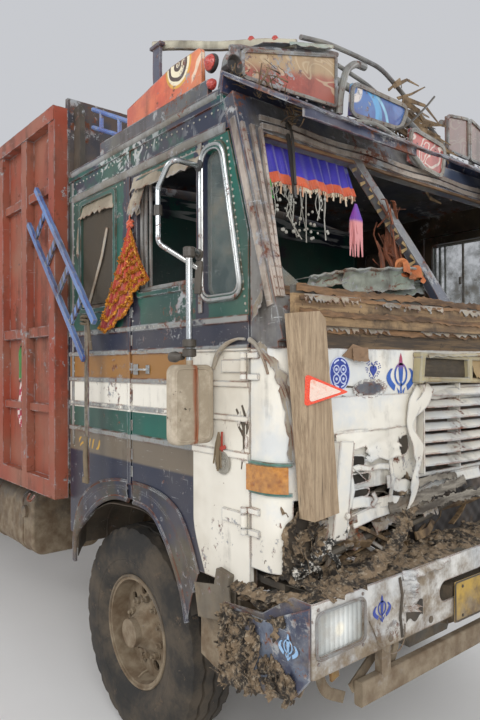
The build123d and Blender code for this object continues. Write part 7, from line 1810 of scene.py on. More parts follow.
def pelmetPoint(u, v, out=0.0):
    x = pelmet["left"] + (pelmet["right"] - pelmet["left"]) * u
    foot = 2.560 + 0.030 * u + 0.006 * math.sin(u * 34)
    z = pelmet["top"] + (foot - pelmet["top"]) * v
    wave = math.sin(u * pelmet["folds"] * math.tau + 0.9 * math.sin(u * 19)) + 0.4 * math.sin(u * 61 + 2 * v)
    deep = pelmet["deep"] * (0.35 + 0.65 * v) * wave * 0.8
    return at(x + 0.004 * math.sin(v * 3 + u * 17), -0.9150 - screenSlope * (2.775 - z) - deep - out, z)


kit = Kit()
kit.skin(pelmetPoint, *pelmet["cells"], 0.0016)
look, shade, weave = fabric("pelmetSatin", "33309a", "4a3fb4", Sheen_Weight=0.5, Sheen_Roughness=0.35)
blossom = look.cells(9, look.stretched((1, 0.2, 1))).rise(0.02, 0.20)
shade = look.mix((1 - blossom) * 0.35, shade, "6a5cc0")
shade = look.mix((look.cloud(8, 2, 0.5, look.stretched((1.5, 0.1, 1))).rise(0.66, 0.70)) * 0.7, shade, "8f9ab0")
shade = look.mix(look.cloud(4, 5, 0.7).rise(0.5, 0.74) * 0.5, shade, "2a2450")
look.colour(shade)
look.link("Roughness", 0.38 + weave * 0.2)
look.relief(weave + look.cloud(20, 3) * 0.6, 0.0015, 0.6)
valance = kit.done("pelmet", look.material, slot="cloth", sharp=60)
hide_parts("valance")
wide, tall, area = cutOf(kit, *pelmet["cells"])

kit = Kit()      # orange ruffle sewn along the foot
kit.skin(lambda u, v: pelmetPoint(u, 0.80 + 0.20 * v,
                                  0.0035 + 0.0035 * math.sin(u * 330 + 3 * math.sin(u * 41)) * v), 260, 5,
         0.0014)
look, shade, weave = fabric("ruffleSatin", "c2502b", "d9663a", Sheen_Weight=0.4)
look.colour(look.mix(look.cloud(9, 4, 0.7).rise(0.5, 0.72) * 0.6, shade, "70402c"))
look.link("Roughness", 0.45 + weave * 0.2)
look.relief(weave, 0.001, 0.6)
looks["orangeCloth"] = look.material
ruffle = kit.done("pelmet_ruffle", look.material, slot="cloth", sharp=60)
kit, chance = Kit(), pick("fringe")
for k in range(120):      # fringe of short threads, and a few longer tassels
    u = (k + 0.5) / 120
    root = pelmetPoint(u, 1.0, 0.002)
    drop = chance.uniform(0.012, 0.022) if k % 9 else chance.uniform(0.030, 0.050)
    kit.strap([root, root + Vector((chance.gauss(0, 0.002), chance.gauss(0, 0.001), -drop * 0.5)),
               root + Vector((chance.gauss(0, 0.003), 0, -drop))], 0.0035 if k % 9 else 0.009, 0.002,
              upright=(0, 1, 0))
look, shade, weave = fabric("fringeThread", "b8a489", "c9653a")
look.colour(look.mix(look.cloud(14, 3, 0.6, look.stretched((6, 1, 0.5))).rise(0.48, 0.54), shade, "d9cdb4"))
look.link("Roughness", 0.7 + weave * 0.2)
fringe = kit.done("pelmet_fringe", look.material, slot="cloth")

kit = Kit()      # green tuft and white strings that hang from the pelmet's foot
drop = 0.085
for k in range(26):
    root = at(-1.050 + chance.gauss(0, 0.010), -0.972 + chance.gauss(0, 0.004), 2.572)
    kit.strap([root, root + Vector((chance.gauss(0, 0.008), chance.gauss(0, 0.004), -drop * 0.5)),
               root + Vector((chance.gauss(0, 0.016), chance.gauss(0, 0.006),
                              -drop * chance.uniform(0.7, 1.1)))], 0.006, 0.0015, upright=(0, 1, 0))
look, shade, weave = fabric("greenTuft", "2f9a3a", "52bd4c")
look.colour(shade)
look.link("Roughness", 0.5 + weave * 0.2)
kit.done("green_tuft", look.material)
kit = Kit()
for k in range(20):
    x = -1.06 + 0.36 * chance.random()
    z = 2.565 + 0.02 * (x + 1.06)
    drop = chance.uniform(0.05, 0.22)
    sway = Vector((chance.gauss(0, 0.02), chance.gauss(0, 0.004), 0))
    kit.strap(rounded([at(x, -0.974, z), at(x, -0.974, z - drop * 0.5) + sway,
                       at(x, -0.974, z - drop) - sway * 0.4], 0.03, 2), chance.uniform(0.002, 0.006), 0.002,
              upright=(0, 1, 0))
for k in range(40):      # beads on those strings
    kit.rivet(at(-1.06 + 0.36 * chance.random(), -0.978, 2.36 + 0.20 * chance.random()), (0, -1, 0),
              chance.uniform(0.005, 0.009))
kit.done("hanging_strings", looks["dot"])
kit = Kit()      # hanging flower: purple top, pink petals
for k in range(22):
    turn = k * 2.4
    root = at(-0.538, -0.985, 2.555)
    spread = Vector((0.030 * math.cos(turn), 0.012 * math.sin(turn), 0))
    kit.strap([root, root + spread * 0.9 + Vector((0, 0, -0.07)),
               root + spread * (1.3 if k % 2 else 0.7) + Vector((0, 0, -0.13 - 0.05 * (k % 3)))], 0.020,
              0.0018, upright=(0, 1, 0.2), grow=lambda t: 0.4
              + 0.9 * math.sin(math.pi * min(1, t * 0.9 + 0.1)))
look, shade, weave = fabric("hangingFlower", "8f3f9a", "6b4fb0")
look.colour(look.mix(look.z.rise(2.47, 2.49), "e09a9a", shade))
look.link("Roughness", 0.5 + weave * 0.2)
kit.done("hanging_flower", look.material)

# the tinsel cloth fans out from a knot on the window post
tinsel = {"knot": (-0.206, 2.508), "foot": [(0.088, 2.040), (0.030, 2.010), (-0.09, 2.058), (-0.205, 2.107),
                                            (-0.250, 2.188), (-0.320, 2.214), (-0.392, 2.230)],
          "cells": (96, 60)}


def tinselPoint(u, v, out=0.0):
    foot = tinsel["foot"]
    step = min(len(foot) - 1.001, u * (len(foot) - 1))
    k = int(step)
    low = Vector(foot[k]).lerp(Vector(foot[k + 1]), step - k)
    spot = Vector(tinsel["knot"]).lerp(low, v)
    narrow = 0.018 * math.sin(math.pi * v) * (0.5 - u)
    deep = 0.0085 * min(1, 2.5 * v + 0.15) * (0.75 * math.sin(u * 41 + 3 * v) + 0.25 * math.sin(u * 97 - 5 * v))
    return at(-1.2200 + deep - out, spot.x - narrow, spot.y)


kit = Kit()
kit.skin(tinselPoint, *tinsel["cells"], 0.0014)
look, shade, weave = fabric("tinselNet", "a8241c", "c9481f", Sheen_Weight=0.4)
low = 1 - (look.z - 2.03).rise(0.0, 0.40)
shade = look.mix(low * 0.6, shade, "7c1020")
glint = look.cells(150).rise(0.0, 0.22)
sparkle = (1 - glint) * look.cloud(40, 2).rise(0.48, 0.56)
look.colour(look.mix(sparkle, shade, "f0b44a"))
look.link("Metallic", sparkle * 0.7)
look.link("Roughness", 0.55 - sparkle * 0.3)
look.link("Alpha", 1 - (1 - weave.rise(0.25, 0.5)) * 0.35)
look.relief(weave + look.cells(150), 0.002, 0.7)
net = kit.done("tinsel_cloth", look.material, "door_right", "tinsel", 60)
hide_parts("side_cloth")
wide, tall, area = cutOf(kit, *tinsel["cells"])
tinselCut = (max(wide * 2, area / tall), tall, area)
kit, chance = Kit(), pick("garland")


def garland(route, spread, per=3):      # curly gold tinsel along a line
    for a, b in zip(route, route[1:]):
        for k in range(round(per * 1.5)):
            root = a.lerp(b, chance.random())
            way = Vector((-abs(chance.gauss(0, 0.6)), chance.gauss(0, 1),
                          chance.gauss(0, 1))).normalized() * spread * chance.uniform(0.5, 1.2)
            kit.strap([root - way * 0.4, root + way * 0.3 + jitter(root, 60, 0.003), root + way], 0.0050,
                      0.0012, upright=(1, 0, 0))


for v, sag in ((0.30, 0.05), (0.44, 0.05), (0.57, 0.05), (0.70, 0.05), (0.84, 0.04), (0.985, 0.0)):
    for lobe in range(3 if v > 0.5 else 2):
        parts = 3 if v > 0.5 else 2
        us = [(lobe + t / 10) / parts for t in range(11)]
        garland([tinselPoint(u, min(0.995, v + sag * math.sin(math.pi * (u * parts - lobe))), 0.004)
                 for u in us], 0.013, 9)
garland([tinselPoint(0.02, 0.12 + 0.88 * k / 16, 0.003) for k in range(17)], 0.012, 8)
garland([tinselPoint(0.98, 0.12 + 0.88 * k / 16, 0.003) for k in range(17)], 0.012, 8)
for k in range(150):
    spot = tinselPoint(chance.uniform(0.04, 0.96), chance.uniform(0.15, 0.97), 0.0015)
    kit.rivet(spot, (-1, 0, 0), chance.uniform(0.0022, 0.0042))
look, shade, weave = fabric("goldTinsel", "d9962f", "a8641c")
bright = look.cells(220).rise(0.0, 0.5)
look.colour(look.mix(bright, "f5d27a", shade))
look.link("Metallic", 0.45 + bright * 0.3)
look.link("Roughness", 0.25 + bright * 0.3)
gold = kit.done("gold_garlands", look.material, "door_right", "tinsel")
kit = Kit()      # knot, and the cord that ties it to the post
for k in range(3):
    turn = k * 2.1
    kit.pipe([at(-1.215 + 0.008 * math.cos(turn + t * 0.8), -0.206 + 0.016 * math.sin(turn + t * 0.8),
                 2.496 + 0.006 * t) for t in range(6)], 0.008, 6)
kit.strap([at(-1.214, -0.206, 2.50), at(-1.212, -0.196, 2.545), at(-1.206, -0.206, 2.575)], 0.010, 0.004,
          upright=(1, 0, 0))
knotPiece = kit.done("tinsel_knot", looks["orangeCloth"], "door_right", "tinsel")

# scarf tied to the cargo side: green above, pink with pale stripes below the tie
scarf = {"y": 1.03, "top": 1.985, "low": 1.470, "cells": (40, 60)}


def scarfPoint(u, v):
    z = scarf["top"] + (scarf["low"] - scarf["top"]) * v
    waist = 0.35 + 0.65 * abs(math.sin(math.pi * (v * 1.7 + 0.15))) ** 0.8
    lean = 0.05 * math.sin(v * 2.4) + 0.012 * math.sin(v * 17)
    return at(-1.243 + 0.011 * math.sin(u * 25 + v * 4) * waist,
              scarf["y"] + lean + (u - 0.5) * 0.150 * waist, z + 0.012 * math.sin(u * 9))


kit = Kit()
kit.skin(scarfPoint, *scarf["cells"], 0.0016)
look, shade, weave = fabric("scarfCotton", "3f7a44", "5b8f4c", Sheen_Weight=0.2)
stripe = look.wave("DIAGONAL", 9.0, look.stretched((0.3, 1, 1)), Distortion=1.5)
pink = look.mix(stripe.rise(0.5, 0.6), "a8394e", "d9c7c0")
shade = look.mix(1 - look.z.rise(1.765, 1.785), shade, pink)
look.colour(look.mix(look.cloud(9, 5, 0.7).rise(0.5, 0.72) * 0.5, shade, tones["mud"]))
look.link("Roughness", 0.8 + weave * 0.15)
look.relief(weave + look.cloud(30, 3), 0.0015, 0.6)
cloth = kit.done("tied_scarf", look.material, slot="cloth", sharp=60)
wide, tall, area = cutOf(kit, *scarf["cells"])
kit = Kit()
for z in (1.978, 1.762):
    kit.pipe([at(-1.243 + 0.017 * math.cos(t * math.tau / 14),
                 scarf["y"] + (0.03 if z > 1.9 else 0.045) + 0.030 * math.sin(t * math.tau / 14),
                 z + 0.004 * math.sin(t)) for t in range(14)], 0.005, 6, closed=True)
kit.done("scarf_ties", looks["webbing"])

# Seats: each pad is remeshed, blown up by cloth pressure, then seamed
seats = {"right": (-0.790, 0.500), "left": (0.800, 0.660), "front": -0.303, "rear": 0.090, "base": 1.575,
         "swell": 0.014, "inset": 0.016, "thick": 0.078, "back": (0.060, 0.128, 0.115, 0.615),
         "channel": 0.008, "tilt": 0.05, "voxel": 0.011, "pressure": 4, "quality": 4, "frames": 14}


def boxMesh(low, high, cuts):      # a crowned block, narrower at its rim, as the pad before it is filled
    kit = Kit()
    count = cuts * 2
    ring = [(math.cos(t * math.tau / count), math.sin(t * math.tau / count)) for t in range(count)]
    middle = [(a + b) / 2 for a, b in zip(low, high)]
    half = [(b - a) / 2 for a, b in zip(low, high)]

    def square(c, s, power=0.28):
        return math.copysign(abs(c) ** power, c), math.copysign(abs(s) ** power, s)
    points = []
    levels = 7
    for i in range(levels):
        a = -math.pi / 2 + math.pi * (i + 0.5) / levels
        shrink, lifted = abs(math.cos(a)) ** 0.30, math.copysign(abs(math.sin(a)) ** 0.45, a)
        for c, s in ring:
            p, q = square(c, s)
            points.append((middle[0] + half[0] * p * shrink, middle[1] + half[1] * q * shrink,
                           middle[2] + half[2] * lifted))
    faces = [(i * count + j, i * count + (j + 1) % count, (i + 1) * count + (j + 1) % count,
              (i + 1) * count + j) for i in range(levels - 1) for j in range(count)]
    faces += [tuple(range(count)), tuple(reversed(range((levels - 1) * count, levels * count)))]
    kit.add(points, faces)
    return kit


look, shade, weave = fabric("seatVinyl", "5a3b2a", "7a5238", 260 / 6)
cracks = look.cells(60, feature="DISTANCE_TO_EDGE").rise(0.0, 0.02)
wornTop = look.cloud(5, 5, 0.7).rise(0.48, 0.64)
shade = look.mix(wornTop * 0.6, shade, "8f7a60")
look.colour(look.mix((1 - cracks) * wornTop * 0.7, shade, "2c1f18"))
look.link("Roughness", 0.5 + wornTop * 0.3)
look.relief(weave * 0.3 + cracks * 0.6 + look.cloud(60, 3) * 0.4, 0.002, 0.7)
looks["seat"] = look.material


def fillPad(pad, limit):      # cloth pressure swells the pad; no point moves past the limit
    bpy.context.view_layer.objects.active = pad
    remesh = pad.modifiers.new("remesh", "REMESH")
    remesh.mode, remesh.voxel_size = "VOXEL", seats["voxel"]
    bpy.ops.object.select_all(action="DESELECT")
    pad.select_set(True)
    bpy.ops.object.modifier_apply(modifier="remesh")
    start = [vert.co.copy() for vert in pad.data.vertices]
    cloth = pad.modifiers.new("cloth", "CLOTH")
    cloth.settings.use_pressure = True
    cloth.settings.uniform_pressure_force = seats["pressure"]
    cloth.settings.effector_weights.gravity = 0
    cloth.settings.quality = seats["quality"]
    cloth.point_cache.frame_start, cloth.point_cache.frame_end = 1, seats["frames"]
    for step in range(1, seats["frames"] + 1):
        bpy.context.scene.frame_set(step)
    shown = pad.evaluated_get(bpy.context.evaluated_depsgraph_get())
    moved = [vert.co.copy() for vert in shown.data.vertices]
    pad.modifiers.remove(cloth)
    bpy.context.scene.frame_set(1)
    for vert, old, new in zip(pad.data.vertices, start, moved):
        way = new - old
        vert.co = old + way * min(1, limit / max(way.length, 1e-6))


for hand in ("right", "left"):
    (x, wide), base = seats[hand], seats["base"]
    left, right = x - wide / 2 + seats["inset"], x + wide / 2 - seats["inset"]
    near, far, foot, head = seats["back"]
    parts = {"seat_pad_": ((left, axleY + seats["front"], base),
                           (right, axleY + seats["rear"], base + seats["thick"]), 3),
             "seat_back_": ((left, axleY + near, base + foot), (right, axleY + far, base + head), 2)}
    for name, (low, high, channels) in parts.items():
        kit = boxMesh(low, high, 30)
        pad = kit.done(name + hand, looks["seat"], slot="seat_cover", sharp=60)
        fillPad(pad, seats["swell"])
        for vert in pad.data.vertices:      # sewn channels, and the back's tilt
            across = (vert.co.x - low[0]) / (high[0] - low[0])
            groove = math.exp(-((((across * (channels + 1) + 0.5) % 1) - 0.5) * 22 / (channels + 1)) ** 2)
            if name == "seat_pad_" and vert.co.z > (low[2] + high[2]) / 2:
                vert.co.z -= seats["channel"] * groove * (0.05 < across < 0.95)
            if name == "seat_back_":
                if vert.co.y < (low[1] + high[1]) / 2:
                    vert.co.y += seats["channel"] * groove * (0.05 < across < 0.95)
                vert.co.y += (vert.co.z - high[2]) * seats["tilt"]
        soft = pad.modifiers.new("soft", "SUBSURF")
        soft.levels = soft.render_levels = 1
        bpy.context.view_layer.objects.active = pad
        bpy.ops.object.modifier_apply(modifier="soft")
        for face in pad.data.polygons:
            face.use_smooth = True
        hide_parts("seat_cushions")
        piping = Kit()
        if name == "seat_pad_":
            line = [Vector((a, b, high[2] - 0.018)) for a,
                    b in ((low[0], low[1]), (high[0], low[1]), (high[0], high[1]), (low[0], high[1]))]
            facing = (0, 0, 1)
        else:
            line = [Vector((a, low[1] + (b - high[2]) * seats["tilt"] + 0.010, b)) for a,
                    b in ((low[0], low[2]), (high[0], low[2]), (high[0], high[2]), (low[0], high[2]))]
            facing = (0, 1, 0)
        piping.pipe(rounded(line, 0.05, 6, closed=True), 0.0045, 6, closed=True, upright=facing)
        piping.done(name + "piping_" + hand, looks["seat"], slot="seat_cover")
print("cloth done")


# Inside the cab: wipers, crushed tins and rags on the sill, dials, levers and linings
kit = Kit()      # wiper that hangs from the head, and the second one sprung up over the crown
kit.pipe(rounded([at(-0.942, screenY(2.80, 0.020), 2.800), at(-0.955, screenY(2.74, 0.030), 2.74),
                  at(-0.990, screenY(2.54, 0.022), 2.54)], 0.02), 0.0055, 8)
kit.strap([at(-0.957 - 0.008 * k, screenY(2.76 - 0.055 * k, 0.012), 2.76 - 0.055 * k) for k in range(6)],
          0.014, 0.010, upright=(0, -1, 0))
kit.lathe([(0, 0.016), (0.012, 0.016), (0.016, 0.010)], at(-0.942, screenY(2.802), 2.802), "y", 12, flip=-1)
kit.pipe(rounded([at(-0.353, -0.960, 2.910), at(-0.20, -1.010, 2.97), at(-0.05, -1.020, 3.10),
                  at(0.028, -1.015, 3.172)], 0.05), 0.0055, 8)
kit.lathe([(0, 0.018), (0.014, 0.018), (0.018, 0.010)], at(-0.353, -0.945, 2.902), "y", 12, flip=-1)
kit.done("wipers", looks["plastic"])
kit = Kit()      # crushed tins along the sill, inside the opening
for low, high, seed, tall, y in ((-0.76, -0.28, 2, 0.095, -1.110), (-0.50, -0.12, 5, 0.060, -1.085),
                                 (-0.95, -0.70, 8, 0.050, -1.100)):
    kit.skin(lambda u, v: at(low + (high - low) * u,
                             y + 0.012 * math.sin(v * 3) + 0.014 * wobble(u * 6, v * 3, seed),
                             2.135 + 0.055 * u + tall * v + 0.012 * wobble(u * 9, v * 4, seed + 1)), 20, 7,
             0.002)
    kit.skin(lambda u, v: at(low + (high - low) * u, y + 0.075 * v,
                             2.135 + 0.055 * u + tall + 0.008 * wobble(u * 7, v * 4, seed + 2)), 20, 4,
             0.002)
    kit.pipe([at(low + (high - low) * k / 12, y - 0.002,
                 2.135 + 0.055 * k / 12 + tall + 0.004 * math.sin(k * 2)) for k in range(13)], 0.006, 6)
kit.done("crushed_tins", looks["paleTin"])
kit = Kit()      # orange rag thrown over the sill's end
kit.skin(lambda u, v: at(-0.395 + 0.15 * u + 0.02 * math.sin(v * 6),
                         -1.130 + 0.05 * v + 0.010 * math.sin(u * 22 + v * 5),
                         2.235 + 0.085 * math.sin(math.pi * min(1, v * 0.9 + 0.1))
                         * (0.6 + 0.4 * math.sin(u * 9 + 1)) - 0.03 * u), 40, 24, 0.0016)
look, shade, weave = fabric("ragCotton", "b0603a", "c98252")
look.colour(look.mix(look.cloud(9, 5, 0.7).rise(0.5, 0.7) * 0.6, shade, tones["mud"]))
look.link("Roughness", 0.8 + weave * 0.1)
look.relief(weave + look.cloud(25, 4), 0.002, 0.7)
rag = kit.done("orange_rag", look.material, slot="cloth", sharp=60)
wide, tall, area = cutOf(kit, 40, 24)
kit = Kit()      # torn plank and broken laths leaning behind the opening
for points, wide, thick in ((((-0.335, -1.070, 2.285), (-0.345, -1.020, 2.42), (-0.318, -0.985, 2.59)),
                             0.090, 0.012), (((-0.37, -1.075, 2.26), (-0.40, -1.04, 2.36),
        (-0.36, -1.02, 2.45)), 0.050, 0.010), (((-0.46, -1.07, 2.25), (-0.43, -1.04, 2.34),
        (-0.44, -1.02, 2.40)), 0.035, 0.010)):
    route = rounded([at(*p) for p in points], 0.05, 4)
    kit.strap(route, wide, thick, upright=(0.2, -1, 0),
              grow=lambda t: 0.55 + 0.6 * math.sin(math.pi * min(1, t + 0.2)) + 0.12 * math.sin(t * 25))
rubble(kit, pick("planks"), at(-0.44, -1.08, 2.26), at(-0.26, -0.98, 2.58), 22, (0.08, 0.26), (0.006, 0.02),
       0.3, 0.3, lean=(0.25, 0.2, 1))
kit.done("leaning_planks", timberLook("rustWood", "8a4f32", "5a3322", (12, 12, 2), 0.3))
kit = Kit()      # pale zigzag of torn edging up the inner side of the far pillar
for k in range(9):
    t = k / 8
    z = 2.24 + 0.46 * t
    x = -0.515 + 0.628 * (2.745 - z) - 0.046
    kit.strap([at(x - 0.022, screenY(z) + 0.020, z), at(x + 0.020, screenY(z) + 0.018, z + 0.022),
               at(x - 0.016, screenY(z) + 0.020, z + 0.044)], 0.016, 0.003, upright=(0, -1, 0))
kit.done("torn_edging", looks["card"])
kit = Kit()      # dials in their rims on the dashboard
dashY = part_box("dashboard")[1][1]
for x, z, r in ((0.72, 1.90, 0.048), (0.85, 1.90, 0.048), (0.96, 1.915, 0.028), (0.60, 1.915, 0.028)):
    kit.lathe([(-0.004, r), (0.006, r), (0.009, r * 0.94), (0.006, r * 0.88), (0.002, r * 0.86),
               (0.002, 0.0001)], (x, dashY, z), "y", 24)
    kit.strap([Vector((x, dashY + 0.006, z)), Vector((x - r * 0.5, dashY + 0.006, z + r * 0.5))], 0.004,
              0.0015, upright=(0, 1, 0))
for k in range(6):
    kit.lathe([(0, 0.009), (0.010, 0.009), (0.014, 0.006)], (0.56 + 0.08 * k, dashY, 1.80), "y", 10)
kit.done("dash_dials", looks["plastic"])
kit = Kit()      # gear lever and handbrake with their knobs
for x, y, z, top, lean in ((0.16, -0.42, 1.62, 2.02, (0.06, -0.08)), (0.40, -0.30, 1.56, 1.86, (0.02, -0.12))):
    kit.pipe(rounded([at(x, y, z), at(x + lean[0] * 0.4, y + lean[1] * 0.3, (z + top) / 2),
                      at(x + lean[0], y + lean[1], top)], 0.06, 5), 0.009, 8)
    kit.lathe([(-0.028, 0.010), (-0.018, 0.022), (0.004, 0.026), (0.020, 0.020), (0.028, 0.006)],
              at(x + lean[0], y + lean[1], top + 0.02), "z", 14)
    kit.lathe([(-0.01, 0.055), (0.006, 0.050), (0.018, 0.030), (0.030, 0.022), (0.045, 0.014)], at(x, y, z),
              "z", 16)
kit.done("levers", looks["plastic"])
for hand, side in both:      # handles and winders inside the doors, and the outer handles
    kit = Kit()
    kit.strap(rounded([at(side * 1.163, -0.34, 1.86), at(side * 1.125, -0.37, 1.865),
                       at(side * 1.125, -0.50, 1.865), at(side * 1.163, -0.53, 1.86)], 0.02), 0.022, 0.010,
              upright=(0, 0, 1))
    kit.lathe([(0, 0.026), (0.012, 0.024), (0.018, 0.012), (0.030, 0.010)], at(side * 1.165, -0.62, 1.74),
              "x", 14, flip=-side)
    kit.pipe(rounded([at(side * 1.138, -0.62, 1.74), at(side * 1.128, -0.68, 1.70),
                      at(side * 1.110, -0.70, 1.68)], 0.01), 0.007, 8)
    kit.done("door_fittings_" + hand, looks["plastic"], "door_" + hand)
    kit = Kit()
    kit.strap(rounded([at(side * 1.201, -0.225, 1.835), at(side * 1.228, -0.235, 1.835),
                       at(side * 1.228, -0.335, 1.835), at(side * 1.201, -0.345, 1.835)], 0.012), 0.024,
              0.008, upright=(0, 0, 1))
    for y, wide, tall in ((-0.235, 0.04, 0.05), (-0.340, 0.03, 0.04)):
        kit.slab(at(side * 1.204, y, 1.835), (0.006, wide, tall), chamfer=0.002)
    kit.done("door_handle_" + hand, looks["bright"], "door_" + hand)
pane = Kit()      # dusty sliding glass of the left door, with its rail and catch
pane.plate(rounded([(-0.720, 2.190), (-0.260, 2.190), (-0.260, 2.685), (-0.720, 2.685)], 0.03, 3,
                   closed=True), 0.004, lambda a, b, depth: at(1.176 + depth, a, b))
pane.done("sliding_glass_left", glassLook("dirtyPane", 0.75), "door_left")
pane = Kit()
for z in (2.1945, 2.6805):
    pane.strap([at(1.173, -0.715, z), at(1.172, -0.49, z), at(1.173, -0.265, z)], 0.012, 0.008, upright=(1, 0, 0))
pane.strap([at(1.173, -0.49, 2.20), at(1.172, -0.49, 2.45), at(1.173, -0.49, 2.675)], 0.014, 0.008,
           upright=(1, 0, 0))
pane.slab(at(1.168, -0.47, 2.42), (0.010, 0.020, 0.05), (0, 0, 0), 0.003)
pane.done("sliding_rails_left", looks["strip"], "door_left")
print("cab inside done")


# Wheel arches, cargo side, tail and what hangs from the chassis
arch = {"inner": [(0.412, 0.80), (0.398, 0.93), (0.300, 1.040), (0.150, 1.150), (-0.02, 1.212),
                  (-0.19, 1.220), (-0.36, 1.205), (-0.470, 1.120), (-0.560, 1.00), (-0.612, 0.90),
                  (-0.640, 0.80)], "outer": [(0.436, 0.80), (0.424, 0.98), (0.345, 1.14), (0.180, 1.250),
        (-0.02, 1.300), (-0.18, 1.312), (-0.36, 1.308), (-0.49, 1.285), (-0.590, 1.235), (-0.668, 1.135),
        (-0.722, 1.02)]}
liner = [(0.425, 0.82), (0.405, 0.95), (0.300, 1.060), (0.10, 1.155), (-0.10, 1.182), (-0.30, 1.178),
         (-0.45, 1.095), (-0.590, 0.930), (-0.640, 0.82)]
inner, outer = smoothLine(arch["inner"]), smoothLine(arch["outer"])


def lipPoint(u, v):      # across the wheel arch's lip, from its inner edge to its outer one
    a, b = picked[min(len(picked) - 1, round(u * (len(picked) - 1)))]
    return at(side * (1.2035 + 0.006 * math.sin(math.pi * v)), *a.lerp(b, v))


for hand, side in both:
    for body, name, low, high in (("truck", "arch_lip_rear_", -0.186, 0.50),
                                  ("door_" + hand, "arch_lip_door_", -0.9, -0.206)):
        kit = Kit()
        picked = [(a, b) for a, b in zip(inner, outer) if low < a.x < high and low < b.x < high]
        kit.skin(lipPoint, len(picked) - 1, 6, 0.004)
        kit.pipe([at(side * 1.205, *a) for a, b in picked], 0.011, 8, upright=(1, 0, 0))
        kit.pipe([at(side * 1.204, *a.lerp(b, 0.62)) for a, b in picked], 0.007, 6, upright=(1, 0, 0))
        kit.pipe([at(side * 1.204, *b) for a, b in picked], 0.006, 6, upright=(1, 0, 0))
        for a, b in picked[2:-1:4]:
            kit.rivet(at(side * 1.209, *a.lerp(b, 0.34)), (side, 0, 0), 0.007)
        kit.done(name + hand, looks["lip"], body)


def flared(spot, v, side):      # the housing widens inwards, so the steered tyre clears it
    inward = min(1, 5 * (1 - v))
    wider = 0.13 * inward * max(-0.3, min(1, spot.x * 3))
    return spot + Vector((wider, 0.03 * inward + 0.004 * wobble(spot.x * 9, v * 4, side)))


for hand, side in both:      # dark liner over each front wheel
    kit, line = Kit(), smoothLine(liner)
    kit.skin(lambda u, v: at(side * (0.70 + 0.482 * v), *flared(line[round(u * (len(line) - 1))], v, side)),
             len(line) - 1, 9, 0.005)
    for v in (0.2, 0.5, 0.8):
        kit.pipe([at(side * (0.70 + 0.482 * v), *flared(p, v, side) - Vector((0, 0.004))) for p in line],
                 0.006, 6, upright=(1, 0, 0))
    kit.done("wheel_liner_" + hand, looks["dark"])
strapLine = Kit()      # brown webbing that ties the ladder's foot, and its wire hook
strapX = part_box("ladder")[1][0]
for k in range(3):
    strapLine.pipe([at(strapX - 0.012 - 0.017 * math.cos(a), 0.120 + 0.026 * math.sin(a),
                       2.062 + 0.016 * k + 0.004 * math.sin(a + k))
                    for a in [t * math.tau / 12 for t in range(12)]], 0.007, 6, closed=True,
                   upright=(0, 0, 1))
strapLine.strap([at(strapX - 0.014, 0.090, 2.075), at(strapX - 0.020, 0.060, 2.01),
                 at(strapX - 0.014, 0.052, 1.93)], 0.028, 0.004, upright=(1, 0, 0))
strapLine.strap([at(strapX - 0.008, 0.120, 1.50), at(strapX - 0.013, 0.120, 1.40),
                 at(strapX - 0.008, 0.120, 1.30)], 0.044, 0.004, upright=(1, 0, 0))
strapLine.slab(at(strapX - 0.011, 0.120, 1.285), (0.012, 0.055, 0.03), (0, 0, 0.0), 0.003)
strapLine.done("ladder_strap", looks["webbing"])

cargoY = 0.52      # front end of the cargo body from the axle
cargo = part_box("cargo_sides")
kit = Kit()      # hooks and bolt heads along the cargo sides
for side in (-1, 1):
    for z in (1.18, 1.62, 2.06, 2.50, 2.94):
        studLine(kit, (side * 1.2265, axleY + cargoY + 0.06, z), (side * 1.2265, cargo[1][1] - 0.06, z),
                 0.15, (side, 0, 0), 0.008, z)
    for k in range(11):
        y = axleY + cargoY + 0.35 + 0.62 * k
        kit.pipe(rounded([(side * 1.262, y - 0.035, 1.095), (side * 1.285, y - 0.030, 1.060),
                          (side * 1.285, y + 0.030, 1.060), (side * 1.262, y + 0.035, 1.095)], 0.02), 0.006,
                 6)
kit.done("cargo_bolts_hooks", looks["cargo"])
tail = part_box("tailgate")
tailY = tail[1][1]
kit = Kit()      # chains, latches and bolts, all on the tailgate
for side in (-1, 1):
    for k in range(9):
        wide, deep = (0.003, 0.007) if k % 2 else (0.011, 0.003)
        middle = Vector((side * (1.06 - 0.003 * k), tailY + 0.006, tail[1][2] - 0.12 - 0.030 * k))
        kit.pipe([middle + Vector((wide * math.cos(t * math.tau / 10), deep * math.cos(t * math.tau / 10),
                                   0.021 * math.sin(t * math.tau / 10))) for t in range(10)], 0.0035, 5,
                 closed=True)
    kit.slab((side * 1.06, tailY + 0.006, tail[1][2] - 0.09), (0.07, 0.010, 0.07))
    kit.slab((side * 1.08, tailY + 0.006, tail[1][2] - 0.50), (0.05, 0.010, 0.12))
for z in (tail[0][2] + 0.10, (tail[0][2] + tail[1][2]) / 2, tail[1][2] - 0.06):
    studLine(kit, (-1.05, tailY + 0.001, z), (1.05, tailY + 0.001, z), 0.14, (0, 1, 0), 0.008, z)
kit.done("tailgate_chains", looks["iron"], "tailgate")
rearY, lampZ, tailLamps = 4.380, 0.560, (0.98, 0.87, 0.76)
kit = Kit()      # tail lamps with ribbed lenses
for side in (-1, 1):
    for x in tailLamps:
        kit.lathe([(0, 0.046), (0.012, 0.046), (0.020, 0.040), (0.024, 0.026), (0.026, 0.0001)],
                  (side * x, rearY, lampZ), "y", 24)
look = Finish("tailLens", Coat_Weight=0.5)
ribs, film = look.cells(90), look.cloud(8, 5, 0.7).rise(0.45, 0.7)
tint = look.mix((look.x.away() - 0.815).rise(0, 0.002), "c9741f", "8f1f1a")
look.colour(look.mix(film * 0.6, look.mix(ribs.rise(0, 0.5), tint, "d06048"), tones["mud"]))
look.link("Roughness", 0.25 + film * 0.4)
look.relief(ribs, 0.002)
